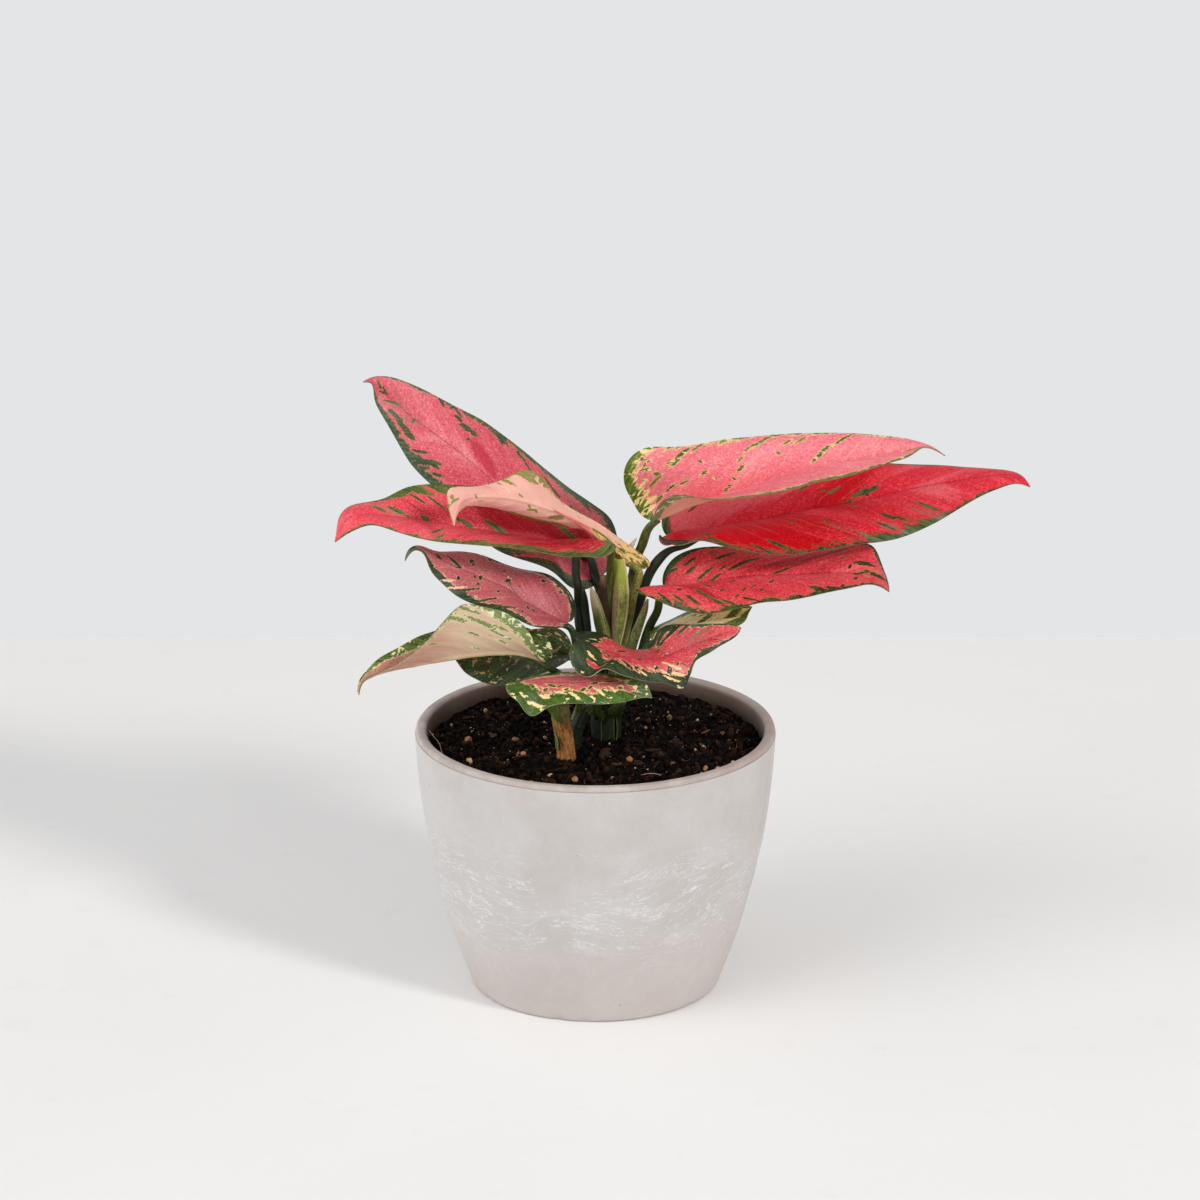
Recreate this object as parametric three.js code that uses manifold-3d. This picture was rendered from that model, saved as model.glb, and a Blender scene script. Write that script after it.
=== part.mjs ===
// A potted Chinese evergreen: a turned, concrete-look pot filled with potting mix, three stems,
// sheaths, and twelve leaves, each a petiole and a blade of its own.
// Millimetres, +Z up. The origin is the centre of the pot's underside, which stands on the plane z = 0.
import * as THREE from 'three';
import { mergeVertices, mergeGeometries } from 'three/addons/utils/BufferGeometryUtils.js';
import Module from 'manifold-3d';

// ---- driving dimensions ----------------------------------------------------------------------
const POT_HEIGHT = 107.8;      // floor to rim
const RIM_RADIUS = 72.5;       // outside, at the rim
const FOOT_RADIUS = 49.4;      // flat underside
const WALL = 5.1;              // wall thickness at the rim
const POT_FLOOR = 8.0;         // thickness of the pot's floor
const SOIL_LEVEL = 101.6;      // mean height of the soil's surface
const SOIL_RELIEF = 1.6;       // how far its surface rises and falls
const SOIL_GAP = 0.35;         // clearance between soil and pot, and round each buried stem
const LEAF_THICK = 1.1;        // blade thickness at the midrib
const LEAF_EDGE = 0.55;        // blade thickness at the margin
const POT_SEGMENTS = 40;
const STALK_SIDES = 7;

// Outer wall of the pot as radius, height: nearly upright under the rim, drawing in to the foot.
const OUTER = [
  [FOOT_RADIUS, 0], [50.5, 0.9], [51.9, 4.8], [53.6, 9.4], [55.3, 14], [57.1, 19.5], [59.6, 27.5],
  [62.0, 36.5], [64.0, 44.3], [65.9, 53], [67.8, 62], [69.6, 73.5], [71.0, 86], [72.0, 97],
  [RIM_RADIUS, 105.4], [72.1, 107.1], [71.2, POT_HEIGHT],
];

// Each blade: its left and right margins and its midrib from base to tip, and how far each half
// arches up between midrib and margin (as a share of the half's width, at base and at tip).
const BLADES = {
  back_left: {
    colour: 0xc8505a, bulge: [0.06, 0.06, 0.06, 0.06],
    left: [[3.1,14,166.6], [-2.1,6.5,163.9], [-10.8,1.9,165.9], [-19.4,1.1,173.6], [-31.4,3.6,177.1], [-43.5,8.3,182.5], [-53.4,14.4,191.4], [-63.5,20.8,200.3], [-73.4,27.7,208.4], [-80.1,33.7,218], [-85.9,37.5,227], [-88.9,39.1,235.7], [-93,40,239.4]],
    midrib: [[3.1,14,166.6], [-2.1,15.3,170.6], [-8.7,17,175.7], [-16.4,19.2,182], [-25,21.9,189.2], [-34.5,25,196.7], [-44.3,28.6,204.6], [-54.1,32.1,212.4], [-64.2,36.3,219], [-73.5,40,225.2], [-81.2,41.9,231.6], [-87.4,41.5,237.6], [-93,40,239.4]],
    right: [[3.1,14,166.6], [7.6,22.9,170], [8.5,29.9,177.8], [2.9,35.1,186.4], [-7.9,39.4,193.1], [-19.2,42.7,201.2], [-30.6,44.8,210.5], [-42.4,45.5,219.6], [-54.8,46.1,226.6], [-66.4,46.5,232.9], [-76.9,45.6,238], [-86.2,43.2,240.8], [-93,40,239.4]],
  },
  left_middle: {
    colour: 0xc8505a, bulge: [0.05, 0.05, 0.05, 0.05],
    left: [[-6.9,-4,183.2], [-0.4,-13.1,189.1], [8.1,-20.3,189.7], [0.3,-25.2,186.9], [-11.9,-28.1,187.8], [-24.8,-29.9,190.9], [-38.4,-30.9,192.8], [-52,-31,193.9], [-65,-30.1,195.4], [-76.8,-28.7,198], [-87.2,-27.2,200.4], [-95.7,-26.4,197.2], [-101.7,-26,193.1]],
    midrib: [[-6.9,-4,183.2], [-12.2,-4.5,185], [-19,-5.3,186.8], [-27.3,-6.4,188.8], [-36.7,-7.9,190.9], [-46.8,-9.9,193.2], [-57.3,-12.6,195.8], [-67.7,-15.4,198.6], [-77.7,-18.1,200.9], [-87,-20.5,202.7], [-95.1,-22.7,202.7], [-99.7,-24.5,198], [-101.7,-26,193.1]],
    right: [[-6.9,-4,183.2], [-0.6,2.7,184.9], [-0.4,6.7,191], [-9.8,7.6,196.9], [-21.6,6.4,201.5], [-34.7,3.5,205.5], [-48.5,-0.5,208.2], [-62.4,-4.8,210.1], [-75.5,-8.8,209.8], [-86.7,-12.7,206.2], [-96.4,-17,204.8], [-100.4,-21.5,199], [-101.7,-26,193.1]],
  },
  young_curled: {
    colour: 0xc8505a, bulge: [-0.09, -0.09, -0.09, -0.09],
    left: [[11,-4,179.9], [16.2,-2.9,175.2], [21.8,-3.1,177], [14.2,-4.3,184.6], [4.6,-6.4,192], [-6.1,-9.4,199.7], [-16.3,-13.5,209.1], [-24.4,-17.9,220.7], [-35.9,-21.9,217.5], [-46.8,-25.6,215.7], [-56.6,-29.2,215.7], [-57,-32,208.1], [-54.9,-34,202.2]],
    midrib: [[11,-4,179.9], [8.5,-6.4,184.5], [4.7,-9.2,189.7], [-0.9,-12.4,194.6], [-7.5,-15.5,199.3], [-15,-18.5,203.6], [-23,-21.3,207.2], [-31.1,-24.1,210.1], [-39.1,-26.7,212], [-46.5,-29.1,212.8], [-52.5,-31.1,211.1], [-54.4,-32.7,206.3], [-54.9,-34,202.2]],
    right: [[11,-4,179.9], [7.2,-1.7,181.1], [3.6,-0.6,184.9], [0,-0.8,190.5], [-6.5,-2.5,192.9], [-14.3,-5.5,194.1], [-22.3,-9.5,196.4], [-30.1,-14.1,200], [-37.3,-18.8,204.2], [-44.2,-23.4,207.1], [-50.4,-27.5,208.2], [-53.9,-31,205.4], [-54.9,-34,202.2]],
  },
  left_lower: {
    colour: 0xc8505a, bulge: [0.07, 0.07, 0.07, 0.07],
    left: [[-11.6,-14,155.7], [-11.6,-21.1,156.5], [-17,-26.3,157.6], [-23.6,-29.3,159.2], [-30.4,-30.5,162.7], [-37.7,-30.4,166.1], [-45.9,-29.5,168.1], [-53.6,-28.5,171.3], [-59.8,-27.8,176.5], [-64.6,-27.4,182.3], [-67.2,-26.8,188.4], [-72,-25.7,188.8], [-74.5,-24,184.7]],
    midrib: [[-11.6,-14,155.7], [-15.1,-14.1,157.6], [-19.6,-14.4,160], [-24.9,-14.7,163.1], [-30.6,-15.3,167.2], [-36.6,-16,171.7], [-43.6,-16.8,175.1], [-50.5,-17.9,178.7], [-57.2,-19.2,182.2], [-63.1,-20.6,185.9], [-68.4,-21.9,189], [-72.9,-23,188.1], [-74.5,-24,184.7]],
    right: [[-11.6,-14,155.7], [-8.3,-8.3,156.9], [-8.5,-4.7,161.9], [-12.4,-3.1,167.6], [-19.1,-2.5,172.2], [-27.6,-2.4,174.1], [-36.4,-3.5,176.9], [-44.9,-5.8,180.9], [-53.4,-9,183.6], [-61.3,-12.5,184.8], [-68,-16.3,188.1], [-73.2,-20.2,188], [-74.5,-24,184.7]],
  },
  left_low_folded: {
    colour: 0xc8505a, bulge: [-0.1, -0.1, 0, 0],
    left: [[-19.4,-30,144.9], [-22.8,-34.6,149.9], [-24.8,-38.3,158], [-29.8,-40.6,165.2], [-37.7,-41.5,170.1], [-47.4,-42.4,172.4], [-56.1,-44.6,169.8], [-63,-47.9,163], [-70.1,-50.7,156.7], [-77.5,-52,151.6], [-84.8,-52.4,148.2], [-90.4,-52.3,144.3], [-92,-52,138.9]],
    midrib: [[-19.4,-30,144.9], [-23.3,-30.6,146.9], [-28.5,-31.5,148.9], [-34.9,-32.6,149.8], [-42.3,-34.1,149.9], [-50.1,-35.9,149.5], [-58.3,-38,148.8], [-66.3,-40.4,148.1], [-74.1,-43,147.5], [-81.2,-45.6,146.8], [-87.2,-48.1,145.4], [-91.3,-50.2,142.7], [-92,-52,138.9]],
    right: [[-19.4,-30,144.9], [-16.9,-25.9,147.7], [-19.9,-22.9,152.8], [-27.2,-21.5,156.1], [-36,-21.6,158.8], [-45.9,-23.4,160.2], [-56,-26.3,159.4], [-65.5,-30.2,156.8], [-74.4,-34.6,154.1], [-82.3,-39.2,151.1], [-88.2,-43.7,147.1], [-92.2,-48,142.9], [-92,-52,138.9]],
  },
  left_under: {
    colour: 0xc8505a, bulge: [0.05, 0.05, 0.05, 0.05],
    left: [[-8.5,-7,139.9], [-10.7,-14.2,140], [-14.3,-19.7,139.7], [-18.8,-22.9,138.8], [-24,-24.4,137.1], [-29.6,-24.7,134.9], [-35.8,-24.1,133.3], [-42.1,-23.1,133.2], [-47.6,-22.2,135.4], [-52.1,-21.5,138.5], [-55,-20.7,142.4], [-57.8,-19.5,145.3], [-60.2,-18,147]],
    midrib: [[-8.5,-7,139.9], [-11.3,-7.3,140], [-14.9,-7.7,140], [-19.2,-8.3,139.9], [-24.1,-9.1,139.6], [-29.4,-10,139.3], [-34.8,-11,139.2], [-40.3,-12.2,139.5], [-45.5,-13.4,140.6], [-50.2,-14.8,142.2], [-54.3,-16,144], [-57.6,-17.1,145.7], [-60.2,-18,147]],
    right: [[-8.5,-7,139.9], [-9.1,-2.7,141.8], [-10.6,0.3,144.8], [-14,1.7,147.9], [-19.5,1.9,148.5], [-25.4,1,148.1], [-31.5,-1,147.7], [-37.6,-3.8,147.5], [-43.4,-7.1,147.7], [-48.8,-10.4,148], [-53.5,-13.3,147.9], [-57.3,-15.8,147.4], [-60.2,-18,147]],
  },
  front_small: {
    colour: 0xc8505a, bulge: [0.03, 0.03, 0.12, 0.05],
    left: [[-31.7,-46,140.5], [-33.4,-39.3,139.3], [-29.4,-34.2,139], [-24.3,-31.2,139.2], [-18.5,-29.9,139.8], [-12.1,-29.8,140.3], [-5.4,-30.9,140.7], [1.3,-32.9,141.1], [7.6,-35.7,141.1], [13.4,-39,141.2], [18.4,-42.3,141.2], [21.1,-44.9,138.6], [22.1,-47,135.9]],
    midrib: [[-31.7,-46,140.5], [-28.8,-45.7,140.8], [-25.1,-45.3,141.2], [-20.6,-45,141.4], [-15.6,-44.7,141.5], [-10.1,-44.5,141.4], [-4.4,-44.5,141.2], [1.3,-44.6,140.9], [6.8,-45,140.4], [11.7,-45.5,139.5], [16,-46,138.2], [19.4,-46.5,136.9], [22.1,-47,135.9]],
    right: [[-31.7,-46,140.5], [-34.9,-51.7,142.5], [-32.7,-55.2,139.6], [-28.7,-56.4,136], [-24.3,-56.5,131.9], [-18.5,-56.2,135.3], [-11.6,-55.6,136.5], [-4.5,-54.2,136.1], [2.3,-52.4,135.3], [8.6,-50.8,135.1], [14,-49.6,135.9], [18.5,-48.4,136.6], [22.1,-47,135.9]],
  },
  front_wavy: {
    colour: 0xc8505a, bulge: [0.05, 0.05, 0.16, 0.05],
    left: [[-4.4,-30,152], [-7.8,-24.2,152.5], [-4.5,-20.3,154.1], [1.8,-18.4,152.5], [7.9,-17.8,148.4], [15.3,-17.9,145.8], [22.5,-19.2,148.8], [26.8,-21.1,156.5], [34.5,-22.8,158], [41.7,-23.7,158.5], [48,-24.4,158.8], [53.4,-25.1,158.9], [57.3,-26,157.7]],
    midrib: [[-4.4,-30,152], [-1.1,-31.2,151.6], [3.2,-32.4,150.7], [8.1,-33.5,149.3], [13.9,-34,148], [20.4,-33.7,147.3], [27,-32.9,148], [33.3,-32,150.2], [39.3,-30.9,152.3], [44.8,-29.6,154.3], [49.8,-28.3,155.8], [53.9,-27,156.9], [57.3,-26,157.7]],
    right: [[-4.4,-30,152], [-9.1,-37.5,154.8], [-9.6,-43.3,149.9], [-4.7,-47.1,145.2], [3.1,-49,148.6], [11.7,-48.4,145.1], [21.5,-45.6,142], [31.2,-41.7,138.3], [37,-38.3,142.2], [41.6,-35.2,148.6], [48.4,-32.1,151.9], [54.1,-28.9,154.4], [57.3,-26,157.7]],
  },
  right_under: {
    colour: 0xc8505a, bulge: [0.06, 0.06, 0.06, 0.06],
    left: [[22.4,-15,149], [21.6,-8.6,149.2], [23.5,-3.6,150.1], [26.9,-0.3,150.8], [30.9,1.6,151.9], [35.1,2.4,153.9], [39.6,2.3,155.9], [44.2,1.5,157.4], [48.8,0.2,158.7], [53,-1.1,159.6], [56.8,-2.2,160], [59.9,-3.1,159.6], [62.2,-4,159.1]],
    midrib: [[22.4,-15,149], [24.3,-14.5,150.1], [26.8,-13.9,151.4], [30,-13.1,152.5], [33.7,-12.2,153.4], [37.8,-11.1,154], [42.2,-10,154.6], [46.5,-8.8,155.1], [50.7,-7.7,155.4], [54.5,-6.6,155.8], [57.7,-5.6,156.8], [60.3,-4.7,158], [62.2,-4,159.1]],
    right: [[22.4,-15,149], [24.7,-20.4,150.2], [27.6,-24,151.2], [31.2,-25.6,151.9], [35.3,-25.6,152.5], [39.6,-24.4,153], [44.2,-22.3,153.3], [48.8,-19.5,153.4], [53,-16.3,153.9], [56.9,-12.9,154.5], [59.7,-9.8,155.8], [61.1,-6.8,157.7], [62.2,-4,159.1]],
  },
  right_lower: {
    colour: 0xc8505a, bulge: [0.06, 0.06, 0.06, 0.06],
    left: [[27.2,-5,166.1], [27.1,2.1,170.1], [31,4.4,176.3], [39.4,6.8,179.7], [49.9,8.9,179.8], [61.4,10.4,178.6], [73.3,10.9,177.6], [85.1,9.7,178.9], [96.3,6.6,181.4], [106.5,2.3,183.5], [112.4,-3.1,178.9], [115.1,-9.7,173.5], [115.6,-19,170.3]],
    midrib: [[27.2,-5,166.1], [32.1,-5,166.5], [38.3,-5.1,167.5], [45.5,-5.2,169.8], [53.8,-5.4,171.5], [62.9,-5.6,172.5], [72.4,-6,172.9], [81.9,-7,173.5], [90.9,-9.1,174.8], [99.3,-11.8,175.6], [106.4,-14.5,175], [111.9,-17,172.8], [115.6,-19,170.3]],
    right: [[27.2,-5,166.1], [20.8,-16.2,170.5], [15.9,-19.2,170.6], [24.7,-20.8,167], [34.9,-21,163.2], [46.5,-20.8,162.2], [58.4,-21,164.9], [70.4,-21.8,167.3], [82,-22.8,168.9], [92.5,-23.3,171.7], [101.9,-23,173.6], [109.8,-21.8,174.2], [115.6,-19,170.3]],
  },
  right_middle: {
    colour: 0xc8505a, bulge: [0.06, 0.06, 0.09, 0.09],
    left: [[37.6,6,183.8], [28.8,18,180.7], [27.8,21.6,191.2], [39.6,24.4,197.7], [55.3,26.6,200.9], [72.3,27.7,204.4], [90,27.6,207.6], [107.9,26.3,209.6], [125.1,23.7,210.1], [140.8,19.9,210.1], [154.5,15.1,210.6], [165.8,9.9,210.9], [172,4,206.4]],
    midrib: [[37.6,6,183.8], [44.7,6.5,186.1], [53.9,7,188.6], [64.9,7.5,191.1], [77.4,7.9,194.3], [91,8,197], [105.3,7.9,199.3], [119.3,7.6,203], [132.8,7,206.1], [145.4,6.3,208.5], [156.5,5.5,210.4], [165.8,4.7,210.4], [172,4,206.4]],
    right: [[37.6,6,183.8], [28.7,-3.6,187.7], [32.2,-8.8,186.3], [45.4,-12.6,188.4], [60.3,-14.4,185.7], [76.8,-14.4,184.4], [93.9,-13.1,186.5], [111,-10.7,188.1], [127,-7.8,191.9], [140.6,-4.8,198.4], [152.4,-2,204.6], [163,0.6,208.2], [172,4,206.4]],
  },
  right_upper: {
    colour: 0xc8505a, bulge: [0.1, 0.1, 0, 0],
    left: [[22.4,-6,195.5], [16.4,-1.8,199.6], [11.6,-1.1,209.4], [15.2,-3,222.1], [29,-4.4,225.2], [44.6,-4.5,227.2], [60.7,-5.2,229.8], [76.8,-7.7,231.8], [92.2,-11.9,233.2], [106.4,-16.7,234], [118.7,-21.8,233.8], [128.7,-26.9,232.9], [135.5,-32,230]],
    midrib: [[22.4,-6,195.5], [28.2,-7,198.6], [35.8,-8.3,202.2], [45.1,-9.9,205.8], [55.8,-11.9,209.5], [67.1,-14.2,214.2], [78.8,-16.7,219], [90.7,-19.3,222.9], [102.3,-22.1,225.7], [113,-24.9,228.3], [122.3,-27.7,231.5], [130.1,-30.1,232.7], [135.5,-32,230]],
    right: [[22.4,-6,195.5], [23.2,-16.3,201.7], [28.8,-24.7,210.9], [39,-30.5,212.6], [50.6,-34.2,213], [63.1,-36.2,215.2], [76,-37,218.3], [88.8,-37,221.3], [101.1,-36.5,224], [112.1,-35.9,227.9], [121.8,-35,231.3], [129.6,-33.8,234.3], [135.5,-32,230]],
  },
};

// Stalks: centre line and radius, from the top down.
const PETIOLES = {
  back_left: [[-2.3,13.2,173.6,1.5], [-0.3,7.6,169.5,1.8], [1.9,6.6,162.7,1.9], [4,5.4,153.8,1.9], [5,4.6,144,1.9], [1.8,5.2,120,2.1]],
  left_middle: [[-8,-4.5,180.9,1.6], [-7.7,-5.2,174.1,1.8], [-6.9,-5.4,168.3,1.9], [-6.8,-2.7,160.7,1.8], [-6.5,-2,152.1,1.9], [-5.3,-1.4,144.3,2], [-1,1,120.1,2.1]],
  young_curled: [[17.3,-8,175.2,1.6], [16,-6.8,169.2,1.8], [14.5,-5.8,162.6,1.9], [12.8,-4,153.6,2], [9.8,-1.5,141,2.1], [4.6,0.6,119.9,2.2]],
  left_lower: [[-11,-13.8,154.3,1.4], [-7.3,-13.5,144.3,1.6], [-2,-12.4,120.4,1.6]],
  left_low_folded: [[-18,-29.5,142.2,1.4], [-13.2,-22,136.3,1.6], [-6.3,-13.5,120.7,1.6]],
  left_under: [[-7.1,-8.5,138.8,1.3], [-5.3,-9.5,133.7,1.5], [-3.6,-8.6,120.5,1.6]],
  front_small: [[-32.1,-44.5,138.1,1.3], [-26.8,-38,133.6,1.5], [-20.2,-31,128,1.6], [-16.7,-28,123.8,1.6], [-15.5,-27.6,120.7,0.9]],
  front_wavy: [[-4.2,-29,150,1.3], [-2.5,-22,139.7,1.5], [1.5,-14.5,123.5,1.6], [0.9,-11.6,117.5,1.6]],
  right_under: [[22,-14,147.3,1.3], [17.7,-12,138.7,1.4], [10.8,-8,116,1.5]],
  right_lower: [[26,-4.6,163.2,1.4], [24.9,-4,158.6,1.5], [22.7,-3.2,153.3,1.6], [19.8,-1.8,144.5,1.7], [9.4,-3.3,119.8,1.9]],
  right_middle: [[35.6,4.5,181.6,1.9], [30,3.5,180.6,2], [24.9,2.5,176.6,2.1], [21.9,2,172.1,2.1], [19.7,2,166.7,2.1], [17.8,2,160,2.1], [15.2,2,151.2,2.1], [12.6,2,141.1,2.1], [10.2,1.8,119.7,2.2]],
  right_upper: [[21.9,-5.4,193.5,1.5], [18.7,-1.5,184.9,1.8], [16.3,1.5,178.1,1.7], [14.8,3.6,171.2,1.6], [13.6,5.2,163.1,1.7], [11.4,7.6,151.8,1.8], [9.5,8.4,141,1.9], [6.9,5.5,119.8,2.1]],
};
const SHEATHS = {
  sheath_centre: [[9.3,-12.8,181.9,2.1], [9.7,-12.2,175.1,2.6], [9.8,-11.2,165.2,2.8], [9.2,-9.8,155.1,2.5], [8.2,-8.2,145.4,1.9], [4.9,-4.4,119.6,1.8]],
  sheath_left: [[-1.7,-10,169,0.5], [0.1,-9.8,163.9,1.5], [1.9,-9.5,158.8,2.1], [3,-9,154,2.4], [4,-8.6,148,2.2], [-0.2,-5.6,128,1.6], [0.3,-4.6,120,1.4]],
  sheath_pointed: [[20.7,-11,164.7,0.4], [19.7,-11,160.8,1.2], [18.1,-11,156,1.6], [16.3,-11,150.9,1.9], [14.7,-10.8,145.4,1.9], [10.8,-10.4,129,1.8], [6.6,-8.5,119.9,1.5]],
};
const STEMS = {
  cane: [[-14,-22,125,3.5], [-13.6,-21.5,117.7,3.5], [-12.1,-20.3,108,3.6], [-11.7,-20,99,3.9], [-11.4,-19.5,80,3]],
  stem_back: [[-4.4,-11.2,118.6,3.1], [-6.9,-12,112.2,2.9], [-9.6,-12.4,99,2.8], [-10,-12,80,2.4]],
  stem_middle: [[4.6,-0.5,119,7.6], [4.5,-0.4,116.5,7.9], [4.2,0.2,111,6.2], [4,1,102,5.8], [3.9,1.2,90,5.6], [3.9,1.2,79,4.6]],
};

// ---- helpers ---------------------------------------------------------------------------------
const wasm = await Module();
wasm.setup();

function fromArrays(positions, index) {
  const g = new THREE.BufferGeometry();
  g.setAttribute('position', new THREE.Float32BufferAttribute(positions, 3));
  g.setIndex(index);
  return g;
}

function toManifold(geometry) {
  let g = geometry.clone();
  for (const name of Object.keys(g.attributes)) if (name !== 'position') g.deleteAttribute(name);
  g = mergeVertices(g, 1e-4);
  const index = [];
  const t = g.index.array;
  for (let i = 0; i < t.length; i += 3) {
    if (t[i] !== t[i + 1] && t[i + 1] !== t[i + 2] && t[i] !== t[i + 2]) index.push(t[i], t[i + 1], t[i + 2]);
  }
  return new wasm.Manifold(new wasm.Mesh({
    numProp: 3,
    vertProperties: new Float32Array(g.attributes.position.array),
    triVerts: new Uint32Array(index),
  }));
}

function fromManifold(solid) {
  const m = solid.getMesh();
  const p = [];
  for (let i = 0; i < m.numVert; i++) for (let k = 0; k < 3; k++) p.push(m.vertProperties[i * m.numProp + k]);
  return fromArrays(p, Array.from(m.triVerts));
}

// A closed skin over rings of equal vertex count, with a flat fan at each end. On a sheet, the second
// half of each ring mirrors the first, so its four-sided cells are split the other way: the two faces
// then bend alike and the thickness stays even.
function loft(rings, sheet = false) {
  const n = rings[0].length;
  const p = [];
  const index = [];
  for (const ring of rings) for (const v of ring) p.push(v.x, v.y, v.z);
  for (let i = 0; i + 1 < rings.length; i++) {
    for (let j = 0; j < n; j++) {
      const a = i * n + j, b = i * n + (j + 1) % n, c = a + n, d = b + n;
      if (sheet && j >= n / 2) index.push(a, b, c, b, d, c);
      else index.push(a, b, d, a, d, c);
    }
  }
  for (const [i, flip] of [[0, true], [rings.length - 1, false]]) {
    const mid = new THREE.Vector3();
    for (const v of rings[i]) mid.add(v);
    mid.multiplyScalar(1 / n);
    const k = p.length / 3;
    p.push(mid.x, mid.y, mid.z);
    for (let j = 0; j < n; j++) {
      const a = i * n + j, b = i * n + (j + 1) % n;
      if (flip) index.push(b, a, k); else index.push(a, b, k);
    }
  }
  return fromArrays(p, index);
}

// Turns the skin right side out where it came out inside in.
function outward(geometry) {
  const p = geometry.attributes.position;
  const t = geometry.index.array;
  const a = new THREE.Vector3(), b = new THREE.Vector3(), c = new THREE.Vector3();
  let volume = 0;
  for (let i = 0; i < t.length; i += 3) {
    a.fromBufferAttribute(p, t[i]); b.fromBufferAttribute(p, t[i + 1]); c.fromBufferAttribute(p, t[i + 2]);
    volume += a.dot(b.clone().cross(c)) / 6;
  }
  if (volume < 0) for (let i = 0; i < t.length; i += 3) [t[i], t[i + 1]] = [t[i + 1], t[i]];
  geometry.computeVertexNormals();
  return geometry;
}

// A round stalk along a smooth line whose points carry their own radius, grown by `extra`.
function stalk(points, steps, sides = STALK_SIDES, extra = 0, endShare = 1) {
  const curve = new THREE.CatmullRomCurve3(points.map((q) => new THREE.Vector3(q[0], q[1], q[2])), false, 'centripetal');
  const frames = curve.computeFrenetFrames(steps, false);
  const rings = [];
  for (let i = 0; i <= steps; i++) {
    const u = i / steps;
    const t = curve.getUtoTmapping(u);
    const s = t * (points.length - 1);
    const k = Math.min(points.length - 2, Math.floor(s));
    const f = s - k;
    const r = points[k][3] * (1 - f) + points[k + 1][3] * f + extra;
    const c = curve.getPointAt(u);
    const ring = [];
    for (let j = 0; j < sides; j++) {
      const w = (j / sides) * Math.PI * 2;
      ring.push(c.clone()
        .addScaledVector(frames.normals[i], Math.cos(w) * r * endShare)
        .addScaledVector(frames.binormals[i], Math.sin(w) * r * endShare));
    }
    rings.push(ring);
  }
  return outward(loft(rings));
}

// A leaf blade: a thin closed sheet over left margin, midrib and right margin.
function blade({ left, midrib, right, bulge }) {
  const n = midrib.length;
  const V = (q) => new THREE.Vector3(q[0], q[1], q[2]);
  const L = left.map(V), M = midrib.map(V), R = right.map(V);
  const across = [], along = [], normal = [];
  for (let i = 0; i < n; i++) {
    along.push(M[Math.min(n - 1, i + 1)].clone().sub(M[Math.max(0, i - 1)]).normalize());
    across.push(L[i].clone().sub(R[i]));
  }
  across[0] = across[1].clone(); across[n - 1] = across[n - 2].clone();
  for (let i = 0; i < n; i++) normal.push(along[i].clone().cross(across[i]).normalize());
  normal[0] = normal[1].clone(); normal[n - 1] = normal[n - 2].clone();
  // the ends close to a short blunt edge
  for (const [i, w] of [[0, 1.0], [n - 1, 0.35]]) {
    const side = across[i].clone().normalize();
    L[i] = M[i].clone().addScaledVector(side, w);
    R[i] = M[i].clone().addScaledVector(side, -w);
  }
  // the middle surface: left margin, half-way left, midrib, half-way right, right margin
  const grid = [];
  for (let i = 0; i < n; i++) {
    const s = i / (n - 1);
    const bl = bulge[0] * (1 - s) + bulge[1] * s, br = bulge[2] * (1 - s) + bulge[3] * s;
    const qL = M[i].clone().lerp(L[i], 0.5).addScaledVector(normal[i], bl * M[i].distanceTo(L[i]));
    const qR = M[i].clone().lerp(R[i], 0.5).addScaledVector(normal[i], br * M[i].distanceTo(R[i]));
    grid.push([L[i], qL, M[i], qR, R[i]]);
  }
  // its own normal at each point, so that the sheet keeps its thickness where the halves fold up
  const normals = grid.map((row, i) => row.map((q, c) => {
    if (i === 0 || i === n - 1) return normal[i].clone();
    const k = i;
    const du = grid[k + 1][c].clone().sub(grid[k - 1][c]);
    const dv = grid[k][Math.max(0, c - 1)].clone().sub(grid[k][Math.min(4, c + 1)]);
    const v = du.cross(dv).normalize();
    return v.addScaledVector(normal[i], 0.15).normalize();
  }));
  const thick = [LEAF_EDGE, (LEAF_EDGE + LEAF_THICK) / 2, LEAF_THICK, (LEAF_EDGE + LEAF_THICK) / 2, LEAF_EDGE];
  const rings = [];
  for (let i = 0; i < n; i++) {
    const end = i === 0 || i === n - 1 ? 0.6 : 1;
    const ring = [];
    for (let c = 0; c < 5; c++) ring.push(grid[i][c].clone().addScaledVector(normals[i][c], 0.5 * thick[c] * end));
    for (let c = 4; c >= 0; c--) ring.push(grid[i][c].clone().addScaledVector(normals[i][c], -0.5 * thick[c] * end));
    rings.push(ring);
  }
  return outward(loft(rings, true));
}

// ---- pot ---------------------------------------------------------------------------------------
function radiusAt(profile, z) {
  for (let i = 0; i + 1 < profile.length; i++) {
    const [r0, z0] = profile[i], [r1, z1] = profile[i + 1];
    if (z >= z0 && z <= z1) return r0 + (r1 - r0) * ((z - z0) / Math.max(1e-6, z1 - z0));
  }
  return profile[profile.length - 1][0];
}
const innerZ = [106.6, 97, 84, 70, 56, 42, 30, 20, 13];
const inner = innerZ.map((z) => [radiusAt(OUTER, z) - WALL - (z > 106 ? -0.1 : 0), z]);
const potProfile = [
  [0, 0], ...OUTER, [RIM_RADIUS - WALL + 0.9, POT_HEIGHT], ...inner,
  [inner[inner.length - 1][0] - 3.5, POT_FLOOR + 0.8], [inner[inner.length - 1][0] - 7, POT_FLOOR], [0, POT_FLOOR],
].map(([r, z]) => new THREE.Vector2(r, z));
// the lathe turns about Y, so the profile is laid out on Y and stood up afterwards
const upright = (g) => g.rotateX(Math.PI / 2);
const potGeometry = outward(mergeVertices((() => {
  const g = upright(new THREE.LatheGeometry(potProfile, POT_SEGMENTS));
  g.deleteAttribute('normal'); g.deleteAttribute('uv');
  return g;
})(), 1e-4));

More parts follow.
